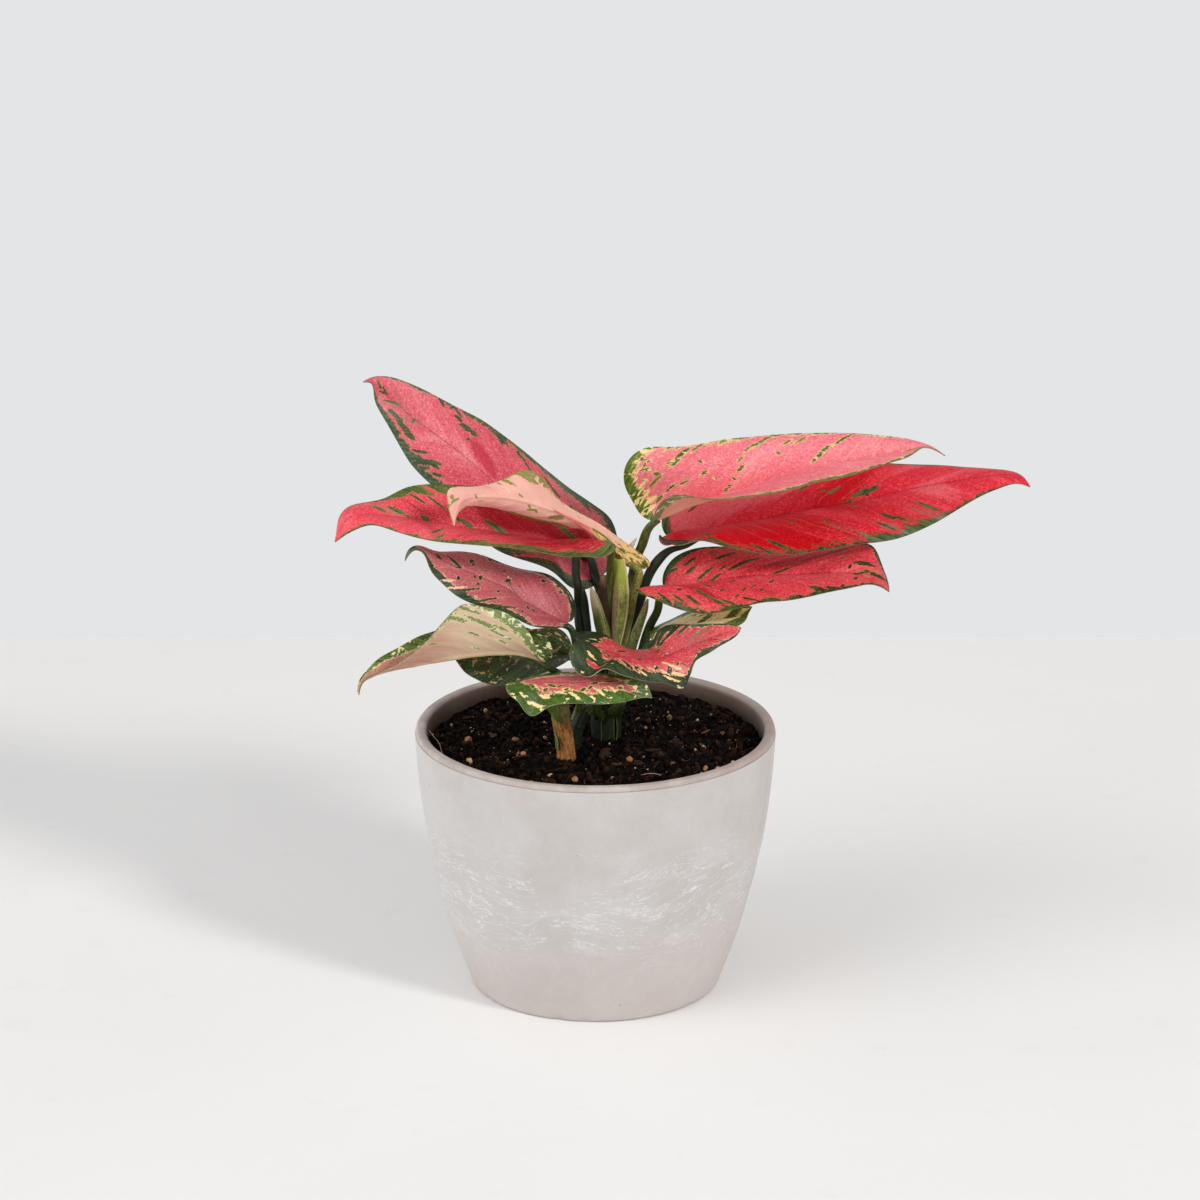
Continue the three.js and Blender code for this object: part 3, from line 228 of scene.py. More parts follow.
EXTRAS = {
    "stalk_olive": [(6.6, -22, 189.4, 1.2), (6, -18, 183.2, 1.4), (5.8, -13.6, 176.8, 1.5), (5.6, -10.5, 170.4, 1.5), (5.4, -9, 163.6, 1.4), (5, -6.5, 150.3, 1.2), (4.4, -3, 124, 1)],
    "sheath_in_shade": [(4.2, -10.5, 174.5, 2.3), (4.2, -10.2, 170.3, 2.9), (4, -9.4, 163.8, 3), (4.2, -8.2, 155, 2.6), (5, -6.4, 145.2, 1.8), (4.2, -3.4, 126, 1)],
    "base_roll": [(25.4, -9, 190.6, 0.3), (26.1, -9.5, 188.9, 1), (27.9, -9.5, 187.7, 1.2), (30.6, -9.3, 187.8, 0.9), (34.6, -9, 188, 0.6), (38.1, -8.6, 188, 0.2)],
    "bud_scale": [(13.3, -3, 180, 0.7), (13.9, -3, 183.3, 1), (14.9, -3, 185.2, 0.8), (16.3, -3, 187.5, 0.2)],
    "midrib_rod": [(-6, -11, 195.8, 0.5), (-3.7, -9.5, 194.2, 0.9), (-0.9, -8, 192, 1.1), (1.9, -6.5, 189.2, 1.2), (4.2, -5, 186.7, 1.2)],
    "stalk_gap": [(-5.4, 25.9, 185.5, 0.8), (-5, 22.5, 181.1, 1), (-4.2, 19.4, 176.2, 1.2), (-2.4, 16.4, 172.1, 1.3)],
    "stalk_low_left": [(-5.5, -5.2, 167.4, 1.1), (-4.7, -4.6, 163, 1.6), (-3.9, -3.6, 156.8, 1.6), (-3.1, -2.6, 148.5, 1.6), (-2.4, -1, 134, 1.4), (1.2, -1, 121, 1.1)],
}
PETIOLES = {
    "back_left": [(-2.3, 13.2, 173.6, 1.5), (-0.3, 7.6, 169.5, 1.8), (1.9, 6.6, 162.7, 1.9), (4, 5.4, 153.8, 1.9), (5, 4.6, 144, 1.9), (1.8, 5.2, 120, 2.1)],
    "left_middle": [(-8, -4.5, 180.9, 1.6), (-7.7, -5.2, 174.1, 1.8), (-6.9, -5.4, 168.3, 1.9), (-6.8, -2.7, 160.7, 1.8), (-6.5, -2, 152.1, 1.9), (-5.3, -1.4, 144.3, 2), (-1, 1, 120.1, 2.1)],
    "young_curled": [(17.3, -8, 175.2, 1.6), (16, -6.8, 169.2, 1.8), (14.5, -5.8, 162.6, 1.9), (12.8, -4, 153.6, 2), (9.8, -1.5, 141, 2.1), (4.6, 0.6, 119.9, 2.2)],
    "left_lower": [(-11, -13.8, 154.3, 1.4), (-7.3, -13.5, 144.3, 1.6), (-2, -12.4, 120.4, 1.6)],
    "left_low_folded": [(-18, -29.5, 142.2, 1.4), (-13.2, -22, 136.3, 1.6), (-6.3, -13.5, 120.7, 1.6)],
    "left_under": [(-7.1, -8.5, 138.8, 1.3), (-5.3, -9.5, 133.7, 1.5), (-3.6, -8.6, 120.5, 1.6)],
    "front_small": [(-32.1, -44.5, 138.1, 1.3), (-26.8, -38, 133.6, 1.5), (-20.2, -31, 128, 1.6), (-16.7, -28, 123.8, 1.6), (-15.5, -27.6, 120.7, 0.9)],
    "front_wavy": [(-4.2, -29, 150, 1.3), (-2.5, -22, 139.7, 1.5), (1.5, -14.5, 123.5, 1.6), (0.9, -11.6, 117.5, 1.6)],
    "right_under": [(22, -14, 147.3, 1.3), (17.7, -12, 138.7, 1.4), (10.8, -8, 116, 1.5)],
    "right_lower": [(26, -4.6, 163.2, 1.4), (24.9, -4, 158.6, 1.5), (22.7, -3.2, 153.3, 1.6), (19.8, -1.8, 144.5, 1.7), (9.4, -3.3, 119.8, 1.9)],
    "right_middle": [(35.6, 4.5, 181.6, 1.9), (30, 3.5, 180.6, 2), (24.9, 2.5, 176.6, 2.1), (21.9, 2, 172.1, 2.1), (19.7, 2, 166.7, 2.1), (17.8, 2, 160, 2.1), (15.2, 2, 151.2, 2.1), (12.6, 2, 141.1, 2.1), (10.2, 1.8, 119.7, 2.2)],
    "right_upper": [(21.9, -5.4, 193.5, 1.5), (18.7, -1.5, 184.9, 1.8), (16.3, 1.5, 178.1, 1.7), (14.8, 3.6, 171.2, 1.6), (13.6, 5.2, 163.1, 1.7), (11.4, 7.6, 151.8, 1.8), (9.5, 8.4, 141, 1.9), (6.9, 5.5, 119.8, 2.1)],
}
SHEATHS = {
    "sheath_centre": [(9.3, -12.8, 181.9, 2.1), (9.7, -12.2, 175.1, 2.6), (9.8, -11.2, 165.2, 2.8), (9.2, -9.8, 155.1, 2.5), (8.2, -8.2, 145.4, 1.9), (4.9, -4.4, 119.6, 1.8)],
    "sheath_left": [(-1.7, -10, 169, 0.5), (0.1, -9.8, 163.9, 1.5), (1.9, -9.5, 158.8, 2.1), (3, -9, 154, 2.4), (4, -8.6, 148, 2.2), (-0.2, -5.6, 128, 1.6), (0.3, -4.6, 120, 1.4)],
    "sheath_pointed": [(20.7, -11, 164.7, 0.4), (19.7, -11, 160.8, 1.2), (18.1, -11, 156, 1.6), (16.3, -11, 150.9, 1.9), (14.7, -10.8, 145.4, 1.9), (10.8, -10.4, 129, 1.8), (6.6, -8.5, 119.9, 1.5)],
}
STEMS = {
    "cane": [(-14, -22, 125, 3.5), (-13.6, -21.5, 117.7, 3.5), (-12.1, -20.3, 108, 3.6), (-11.7, -20, 99, 3.9), (-11.4, -19.5, 80, 3)],
    "stem_back": [(-4.4, -11.2, 118.6, 3.1), (-6.9, -12, 112.2, 2.9), (-9.6, -12.4, 99, 2.8), (-10, -12, 80, 2.4)],
    "stem_middle": [(4.6, -0.5, 119, 7.6), (4.5, -0.4, 116.5, 7.9), (4.2, 0.2, 111, 6.2), (4, 1, 102, 5.8), (3.9, 1.2, 90, 5.6), (3.9, 1.2, 79, 4.6)],
}

# ------------------------------------------------------------------------------------------------
# Camera, light and floor
# ------------------------------------------------------------------------------------------------
scene = bpy.context.scene
scene.view_settings.view_transform = "Standard"
scene.view_settings.look = "None"

cam_data = bpy.data.cameras.new("camera")
cam_data.sensor_width = 36.0
cam_data.lens = 150.0
cam_data.clip_end = 50.0
camera = bpy.data.objects.new("camera", cam_data)
camera.location = (0.00185, -1.8886, 0.7838)
camera.rotation_euler = (math.radians(90.0 - 18.26), 0.0, 0.0)
scene.collection.objects.link(camera)
scene.camera = camera


def lin(r, g, b):
    """sRGB 0-255 to linear."""
    out = []
    for c in (r, g, b):
        c = c / 255.0
        out.append(c / 12.92 if c <= 0.04045 else ((c + 0.055) / 1.055) ** 2.4)
    return tuple(out) + (1.0,)


world = bpy.data.worlds.new("studio")
scene.world = world
world.use_nodes = True
# the wall is plain light grey; overhead the room is darker, so that the lamps shape the plant
_wt = world.node_tree
_tc = _wt.nodes.new("ShaderNodeTexCoord")
_sp = _wt.nodes.new("ShaderNodeSeparateXYZ")
_mr = _wt.nodes.new("ShaderNodeMapRange")
_mr.interpolation_type = "SMOOTHSTEP"
_mr.inputs["From Min"].default_value = -0.12
_mr.inputs["From Max"].default_value = 0.25
_wc = _wt.nodes.new("ShaderNodeMix")
_wc.data_type = "RGBA"
_wc.inputs[6].default_value = lin(228, 229, 231)
_wc.inputs[7].default_value = (0.53, 0.53, 0.54, 1.0)
_wt.links.new(_tc.outputs["Generated"], _sp.inputs[0])
_wt.links.new(_sp.outputs[2], _mr.inputs["Value"])
_wt.links.new(_mr.outputs[0], _wc.inputs["Factor"])
# a brighter side to the left, as from a wide opening
_ml = _wt.nodes.new("ShaderNodeMapRange")
_ml.interpolation_type = "SMOOTHSTEP"
_ml.inputs["From Min"].default_value = -0.35
_ml.inputs["From Max"].default_value = -0.95
_wl = _wt.nodes.new("ShaderNodeMix")
_wl.data_type = "RGBA"
_wl.inputs[7].default_value = (2.10, 2.12, 2.15, 1.0)
_wt.links.new(_sp.outputs[0], _ml.inputs["Value"])
_mz = _wt.nodes.new("ShaderNodeMapRange")
_mz.interpolation_type = "SMOOTHSTEP"
_mz.inputs["From Min"].default_value = 0.50
_mz.inputs["From Max"].default_value = 0.18
_mm = _wt.nodes.new("ShaderNodeMath")
_mm.operation = "MULTIPLY"
_wt.links.new(_sp.outputs[2], _mz.inputs["Value"])
_wt.links.new(_ml.outputs[0], _mm.inputs[0])
_wt.links.new(_mz.outputs[0], _mm.inputs[1])
_wt.links.new(_mm.outputs[0], _wl.inputs["Factor"])
_wt.links.new(_wc.outputs[2], _wl.inputs[6])
_wt.links.new(_wl.outputs[2], _wt.nodes["Background"].inputs["Color"])
_wt.nodes["Background"].inputs["Strength"].default_value = 1.0


def area_light(name, where, target, size, watts, colour=(1, 1, 1)):
    data = bpy.data.lights.new(name, "AREA")
    data.shape = "DISK"
    data.size = size
    data.energy = watts
    data.color = colour
    ob = bpy.data.objects.new(name, data)
    ob.location = where
    d = np.array(target, float) - np.array(where, float)
    ob.rotation_euler = (
        math.atan2(math.hypot(d[0], d[1]), -d[2]),
        0.0,
        math.atan2(d[1], d[0]) + math.pi / 2 + math.pi,
    )
    scene.collection.objects.link(ob)
    return ob


area_light("key", (2.95, -2.80, 2.50), (0, 0, 0.1), 0.90, 104.0, (1.0, 0.985, 0.965))
area_light("side", (-2.95, -2.25, 2.70), (0, 0, 0.1), 3.40, 66.0, (0.985, 0.99, 1.0))


# ------------------------------------------------------------------------------------------------
# Helpers
# ------------------------------------------------------------------------------------------------
def normalise(v):
    n = np.linalg.norm(v, axis=-1, keepdims=True)
    return v / np.maximum(n, 1e-9)


def spline(t, p, x):
    """Natural cubic spline through the rows of p at parameters t, at the points x."""
    t = np.asarray(t, float)
    p = np.asarray(p, float)
    x = np.asarray(x, float)
    n = len(t)
    h = np.diff(t)
    A = np.zeros((n, n))
    r = np.zeros((n,) + p.shape[1:])
    A[0, 0] = A[-1, -1] = 1
    for i in range(1, n - 1):
        A[i, i - 1] = h[i - 1]
        A[i, i] = 2 * (h[i - 1] + h[i])
        A[i, i + 1] = h[i]
        r[i] = 6 * ((p[i + 1] - p[i]) / h[i] - (p[i] - p[i - 1]) / h[i - 1])
    m = np.linalg.solve(A, r.reshape(n, -1)).reshape(r.shape)
    k = np.clip(np.searchsorted(t, x, side="right") - 1, 0, n - 2)
    hk = h[k]
    a = (t[k + 1] - x) / hk
    b = (x - t[k]) / hk
    sh = (len(x),) + (1,) * (p.ndim - 1)
    a, b, hk = a.reshape(sh), b.reshape(sh), hk.reshape(sh)
    return a * p[k] + b * p[k + 1] + ((a**3 - a) * m[k] + (b**3 - b) * m[k + 1]) * hk**2 / 6


def smooth_lookup(table, x):
    """A table of (position, value) as a smooth function of x."""
    t = np.array([k[0] for k in table], float)
    v = np.array([k[1] for k in table], float)
    x = np.clip(x, t[0], t[-1])
    k = np.clip(np.searchsorted(t, x, side="right") - 1, 0, len(t) - 2)
    f = (x - t[k]) / (t[k + 1] - t[k])
    f = f * f * (3 - 2 * f)
    return v[k] * (1 - f) + v[k + 1] * f


def new_mesh(name, verts, faces, smooth=True):
    """A mesh object from millimetre coordinates."""
    me = bpy.data.meshes.new(name)
    me.from_pydata((np.asarray(verts, float) * MM).tolist(), [], faces)
    me.validate(clean_customdata=False)
    me.update()
    if smooth:
        me.polygons.foreach_set("use_smooth", [True] * len(me.polygons))
    ob = bpy.data.objects.new(name, me)
    scene.collection.objects.link(ob)
    return ob


def add_attribute(me, name, kind, domain, values):
    at = me.attributes.new(name, kind, domain)
    key = {"FLOAT": "value", "FLOAT_VECTOR": "vector", "FLOAT_COLOR": "color"}[kind]
    at.data.foreach_set(key, np.asarray(values, np.float32).ravel())


# a small deterministic value noise, for shapes
_rng = np.random.RandomState(7)
_lattice = _rng.rand(32, 32, 32)


def vnoise(p, scale=1.0, octaves=1):
    p = np.asarray(p, float) / scale
    total = np.zeros(p.shape[:-1])
    amp, norm = 1.0, 0.0
    for _ in range(octaves):
        i = np.floor(p).astype(int)
        f = p - i
        f = f * f * (3 - 2 * f)
        i = i % 32
        j = (i + 1) % 32
        c = 0
        for dx in (0, 1):
            for dy in (0, 1):
                for dz in (0, 1):
                    w = (
                        (f[..., 0] if dx else 1 - f[..., 0])
                        * (f[..., 1] if dy else 1 - f[..., 1])
                        * (f[..., 2] if dz else 1 - f[..., 2])
                    )
                    c = c + w * _lattice[(j if dx else i)[..., 0], (j if dy else i)[..., 1], (j if dz else i)[..., 2]]
        total += amp * (c - 0.5) * 2
        norm += amp
        amp *= 0.5
        p = p * 2.03 + 5.17
    return total / norm


# ------------------------------------------------------------------------------------------------
# Node helper
# ------------------------------------------------------------------------------------------------
class Nodes:
    """Short names for the shader nodes used below."""

    def __init__(self, name):
        self.mat = bpy.data.materials.new(name)
        self.mat.use_nodes = True
        self.t = self.mat.node_tree
        self.bsdf = self.t.nodes["Principled BSDF"]

    def node(self, kind, **props):
        n = self.t.nodes.new(kind)
        for k, v in props.items():
            setattr(n, k, v)
        return n

    def link(self, a, b):
        self.t.links.new(a, b)

    def put(self, socket, value):
        if isinstance(value, bpy.types.NodeSocket):
            self.link(value, socket)
        elif isinstance(value, (tuple, list)) and len(value) == 4 and len(socket.default_value) == 3:
            socket.default_value = value[:3]
        else:
            socket.default_value = value

    def attr(self, name, out="Vector"):
        return self.node("ShaderNodeAttribute", attribute_name=name).outputs[out]

    def split(self, v):
        n = self.node("ShaderNodeSeparateXYZ")
        self.put(n.inputs[0], v)
        return n.outputs[0], n.outputs[1], n.outputs[2]

    def join(self, x, y, z):
        n = self.node("ShaderNodeCombineXYZ")
        for i, v in enumerate((x, y, z)):
            self.put(n.inputs[i], v)
        return n.outputs[0]

    def m(self, op, a, b=0.0, c=0.0, clamp=False):
        n = self.node("ShaderNodeMath", operation=op, use_clamp=clamp)
        self.put(n.inputs[0], a)
        self.put(n.inputs[1], b)
        if op in ("MULTIPLY_ADD", "SMOOTH_MIN", "COMPARE"):
            self.put(n.inputs[2], c)
        return n.outputs[0]

    def step(self, x, lo, hi, a=0.0, b=1.0, kind="SMOOTHSTEP"):
        n = self.node("ShaderNodeMapRange", interpolation_type=kind)
        for i, v in enumerate((x, lo, hi, a, b)):
            self.put(n.inputs[i], v)
        return n.outputs[0]

    def noise(self, vec, scale, detail=2.0, rough=0.5, distort=0.0, out="Fac"):
        n = self.node("ShaderNodeTexNoise")
        self.put(n.inputs["Vector"], vec)
        n.inputs["Scale"].default_value = scale
        n.inputs["Detail"].default_value = detail
        n.inputs["Roughness"].default_value = rough
        n.inputs["Distortion"].default_value = distort
        return n.outputs[out]

    def voronoi(self, vec, scale, feature="F1", out="Distance", rand=1.0):
        n = self.node("ShaderNodeTexVoronoi", feature=feature)
        self.put(n.inputs["Vector"], vec)
        n.inputs["Scale"].default_value = scale
        n.inputs["Randomness"].default_value = rand
        return n.outputs[out]

    def mix(self, f, a, b, mode="MIX"):
        n = self.node("ShaderNodeMix", data_type="RGBA", blend_type=mode)
        self.put(n.inputs["Factor"], f)
        self.put(n.inputs[6], a)
        self.put(n.inputs[7], b)
        return n.outputs[2]

    def object_mm(self):
        tc = self.node("ShaderNodeTexCoord")
        n = self.node("ShaderNodeVectorMath", operation="SCALE")
        self.link(tc.outputs["Object"], n.inputs[0])
        n.inputs["Scale"].default_value = 1000.0
        return n.outputs[0]

    def bump(self, height, strength, distance, normal=None):
        n = self.node("ShaderNodeBump")
        n.inputs["Strength"].default_value = strength
        n.inputs["Distance"].default_value = distance
        self.put(n.inputs["Height"], height)
        if normal is not None:
            self.link(normal, n.inputs["Normal"])
        return n.outputs["Normal"]

    def finish(self, colour, rough, normal=None, spec=0.5):
        self.put(self.bsdf.inputs["Base Color"], colour)
        self.put(self.bsdf.inputs["Roughness"], rough)
        self.bsdf.inputs["Specular IOR Level"].default_value = spec
        if normal is not None:
            self.link(normal, self.bsdf.inputs["Normal"])
        return self.mat


# ------------------------------------------------------------------------------------------------
# Leaf blades
# ------------------------------------------------------------------------------------------------
# Looks of each blade.  margin_l and margin_r: how much of each half is green at that share of the
# length; fleck: how readily dark flecks appear; halo: (colour, width, strength) of the rim between
# the green and the coloured field.
LOOKS = {
    "back_left": dict(
        edge_l=(52, 66, 40), edge_r=(206, 174, 136), pink=(214, 84, 98), light=(228, 134, 140), deep=(192, 46, 66), green=(44, 64, 38), green2=(84, 98, 60),
        halo=((168, 112, 82), 0.07, 0.75), fleck=0.12, veins=0.5,
        margin_l=[(0, 0.42), (0.1, 0.22), (0.3, 0.14), (0.5, 0.17), (0.62, 0.22), (0.75, 0.22), (0.86, 0.26), (0.95, 0.2), (1, 0.3)],
        margin_r=[(0, 0.4), (0.08, 0.24), (0.25, 0.12), (0.5, 0.08), (0.8, 0.05), (1, 0.1)],
        tone=[(0, 0.1), (0.3, -0.15), (0.55, -0.25), (0.75, 0.0), (1, 0.1)]),
    "left_middle": dict(
        edge_r=(120, 128, 60), spec=0.2, pink=(226, 64, 78), light=(236, 128, 130), deep=(176, 14, 32), green=(56, 76, 36), green2=(100, 114, 52),
        halo=((160, 104, 72), 0.07, 0.75), fleck=0.22, veins=0.4,
        margin_l=[(0, 0.12), (0.15, 0.2), (0.35, 0.14), (0.5, 0.08), (0.75, 0.05), (0.9, 0.12), (1, 0.3)],
        margin_r=[(0, 0.12), (0.2, 0.12), (0.45, 0.16), (0.60, 0.32), (0.72, 0.30), (0.84, 0.08), (1, 0.2)],
        tone=[(0, -0.9), (0.3, -0.8), (0.55, -0.2), (0.8, 0.2), (1, 0.1)]),
    "young_curled": dict(
        streak=0.25, blotch=0.30, edge_l=(92, 84, 34), edge_r=(220, 170, 140), pink=(196, 60, 72), light=(220, 110, 110), deep=(160, 20, 38), green=(108, 120, 34), green2=(146, 152, 60),
        halo=((226, 190, 120), 0.05, 0.6), fleck=0.42, veins=0.25,
        under=(222, 142, 138), under2=(230, 174, 156), under_green=(106, 112, 34), under_green2=(146, 144, 58),
        rib=0.0, rib_height=0.12, base=((226, 186, 118), (90, 96, 24), 0.20, 0.30), edge=(104, 92, 40),
        margin_l=[(0, 0.1), (0.1, 0.02), (0.5, 0.01), (0.58, 0.08), (0.67, 0.10), (0.75, 0.02), (0.9, 0.03), (1, 0.3)],
        margin_r=[(0, 0.3), (0.2, 0.3), (0.3, 0.46), (0.41, 0.50), (0.5, 0.38), (0.574, 0.32), (0.65, 0.26), (0.73, 0.08), (0.8, 0.06), (0.92, 0.10), (1, 0.5)],
        tone=[(0, 0.9), (0.4, 0.9), (0.7, 0.2), (1, 0.1)]),
    "left_lower": dict(
        pink=(188, 92, 98), light=(210, 136, 130), deep=(160, 48, 60), green=(34, 52, 30), green2=(66, 84, 46),
        halo=((226, 186, 152), 0.07, 0.8), fleck=0.52, veins=0.8, vein_gap=8.0,
        margin_l=[(0, 0.2), (0.2, 0.12), (0.45, 0.18), (0.65, 0.26), (0.80, 0.34), (0.90, 0.55), (0.94, 1.5), (1, 1.6)],
        margin_r=[(0, 0.3), (0.15, 0.16), (0.4, 0.07), (0.7, 0.07), (0.88, 0.2), (0.94, 1.4), (1, 1.6)], under_green=(110, 124, 40), under_green2=(150, 158, 60),
        tone=[(0, -0.5), (0.25, -0.3), (0.5, 0.1), (1, 0.3)]),
    "left_low_folded": dict(
        pink=(186, 124, 106), light=(206, 176, 140), deep=(176, 110, 96), green=(44, 70, 26), green2=(110, 130, 56),
        halo=((222, 212, 158), 0.10, 0.8), fleck=0.0, veins=0.15, mottle=0.7, blotch=0.5, streak=0.5,
        under=(192, 140, 122), under2=(206, 182, 152), under_green=(86, 118, 58), under_green2=(124, 148, 76),
        margin_l=[(0, 0.55), (0.1, 0.44), (0.2, 0.28), (0.30, 0.16), (0.38, 0.05), (0.6, 0.03), (0.8, 0.03), (1, 0.3)],
        margin_r=[(0, 0.8), (0.15, 0.7), (0.3, 0.45), (0.5, 0.40), (0.7, 0.42), (0.9, 0.4), (1, 0.6)],
        tone=[(0, 0.9), (0.4, 0.5), (0.6, -0.2), (1, -0.5)]),
    "left_under": dict(
        pink=(186, 52, 66), light=(206, 104, 98), deep=(150, 30, 44), green=(32, 50, 30), green2=(74, 90, 44),
        halo=((168, 138, 100), 0.10, 0.8), fleck=0.8, veins=0.2, mottle=0.55,
        margin_l=[(0, 1.3), (1, 1.3)], margin_r=[(0, 1.3), (1, 1.3)],
        tone=[(0, -0.3), (1, 0.0)]),
    "front_small": dict(
        pink=(206, 88, 92), light=(224, 140, 128), deep=(176, 46, 60), green=(50, 80, 20), green2=(84, 112, 34),
        halo=((236, 206, 146), 0.14, 0.95), fleck=0.62, veins=0.2, mottle=0.45, streak=1.3, blotch=1.1, edge=(160, 172, 128),
        margin_l=[(0, 1.0), (0.15, 0.45), (0.5, 0.30), (0.75, 0.40), (0.9, 0.9), (1, 1.2)],
        margin_r=[(0, 1.1), (0.12, 0.75), (0.3, 0.52), (0.6, 0.52), (0.8, 0.8), (1, 1.3)],
        tone=[(0, 0.1), (0.4, 0.1), (1, 0.3)]),
    "front_wavy": dict(
        pink=(204, 52, 66), light=(216, 108, 108), deep=(160, 20, 38), green=(24, 38, 22), green2=(56, 72, 34),
        halo=((230, 188, 132), 0.055, 0.85), fleck=0.80, veins=0.25, mottle=0.12, streak=1.1, blotch=1.0, edge=(150, 160, 128),
        margin_l=[(0, 1.0), (0.10, 0.8), (0.2, 0.34), (0.35, 0.18), (0.6, 0.22), (0.8, 0.16), (1, 0.3)],
        margin_r=[(0, 1.0), (0.12, 0.85), (0.22, 0.5), (0.35, 0.30), (0.5, 0.24), (0.68, 0.30), (0.82, 0.32), (1, 0.4)],
        tone=[(0, 0.0), (0.5, 0.0), (1, 0.4)]),
    "right_under": dict(
        pink=(232, 214, 160), light=(240, 230, 186), deep=(214, 190, 130), green=(60, 86, 28), green2=(112, 134, 46),
        halo=((240, 228, 170), 0.08, 0.8), fleck=1.0, veins=0.2, streak=1.2, glow=0.45,
        under=(246, 236, 196), under2=(252, 246, 216), under_green=(56, 84, 30), under_green2=(104, 130, 48),
        margin_l=[(0, 0.8), (0.3, 0.4), (0.7, 0.35), (1, 0.7)],
        margin_r=[(0, 0.8), (0.3, 0.4), (0.7, 0.5), (1, 0.9)],
        tone=[(0, 0.0), (1, 0.2)]),
    "right_lower": dict(
        midrib_shade=0.35, spec=0.2, pink=(220, 60, 72), light=(238, 112, 112), deep=(164, 16, 34), green=(34, 48, 26), green2=(74, 86, 38),
        halo=((178, 112, 76), 0.05, 0.7), fleck=0.34, veins=0.45,
        margin_l=[(0, 0.40), (0.08, 0.20), (0.2, 0.10), (0.5, 0.03), (0.8, 0.08), (0.92, 0.18), (1, 0.5)],
        margin_r=[(0, 0.15), (0.1, 0.08), (0.25, 0.09), (0.4, 0.09), (0.6, 0.07), (0.75, 0.14), (0.9, 0.12), (1, 0.4)],
        tone=[(0, -0.1), (0.3, -0.2), (0.6, 0.0), (1, 0.2)]),
    "right_middle": dict(
        edge_r=(110, 116, 80), edge_l=(150, 126, 76), sand=0.8, spec=0.12, pink=(214, 32, 50), light=(230, 92, 100), deep=(186, 0, 18), green=(40, 58, 32), green2=(82, 100, 56),
        olive=(120, 74, 30), halo=((140, 70, 50), 0.06, 0.6), fleck=0.10, veins=0.6, vein_gap=10.0, vein_colour=(232, 140, 116),
        margin_l=[(0, 0.30), (0.05, 0.16), (0.15, 0.04), (0.6, 0.03), (1, 0.05)],
        margin_r=[(0, 0.25), (0.1, 0.05), (0.35, 0.03), (0.5, 0.09), (0.68, 0.12), (0.85, 0.08), (1, 0.08)],
        tone=[(0, 0.2), (0.25, -0.1), (0.5, -0.3), (0.75, 0.1), (1, 0.4)]),
    "right_upper": dict(
        midrib_shade=0.25, edge_l=(196, 168, 104), pink=(232, 112, 122), light=(242, 156, 156), deep=(212, 78, 94), under=(226, 136, 128), under2=(236, 164, 140), under_green=(84, 98, 38), green=(62, 88, 26), green2=(106, 124, 40),
        halo=((226, 200, 130), 0.08, 0.85), fleck=0.16, veins=0.95, vein_gap=10.0, vein_colour=(244, 190, 130),
        mottle=0.5, margin_l=[(0, 0.9), (0.05, 0.55), (0.10, 0.30), (0.16, 0.12), (0.25, 0.06), (0.4, 0.03), (0.7, 0.03), (0.9, 0.06), (1, 0.2)],
        margin_r=[(0, 0.9), (0.08, 0.5), (0.18, 0.28), (0.28, 0.12), (0.5, 0.10), (0.75, 0.14), (1, 0.2)],
        tone=[(0, 0.3), (0.25, 0.1), (0.5, 0.0), (1, 0.3)]),
}
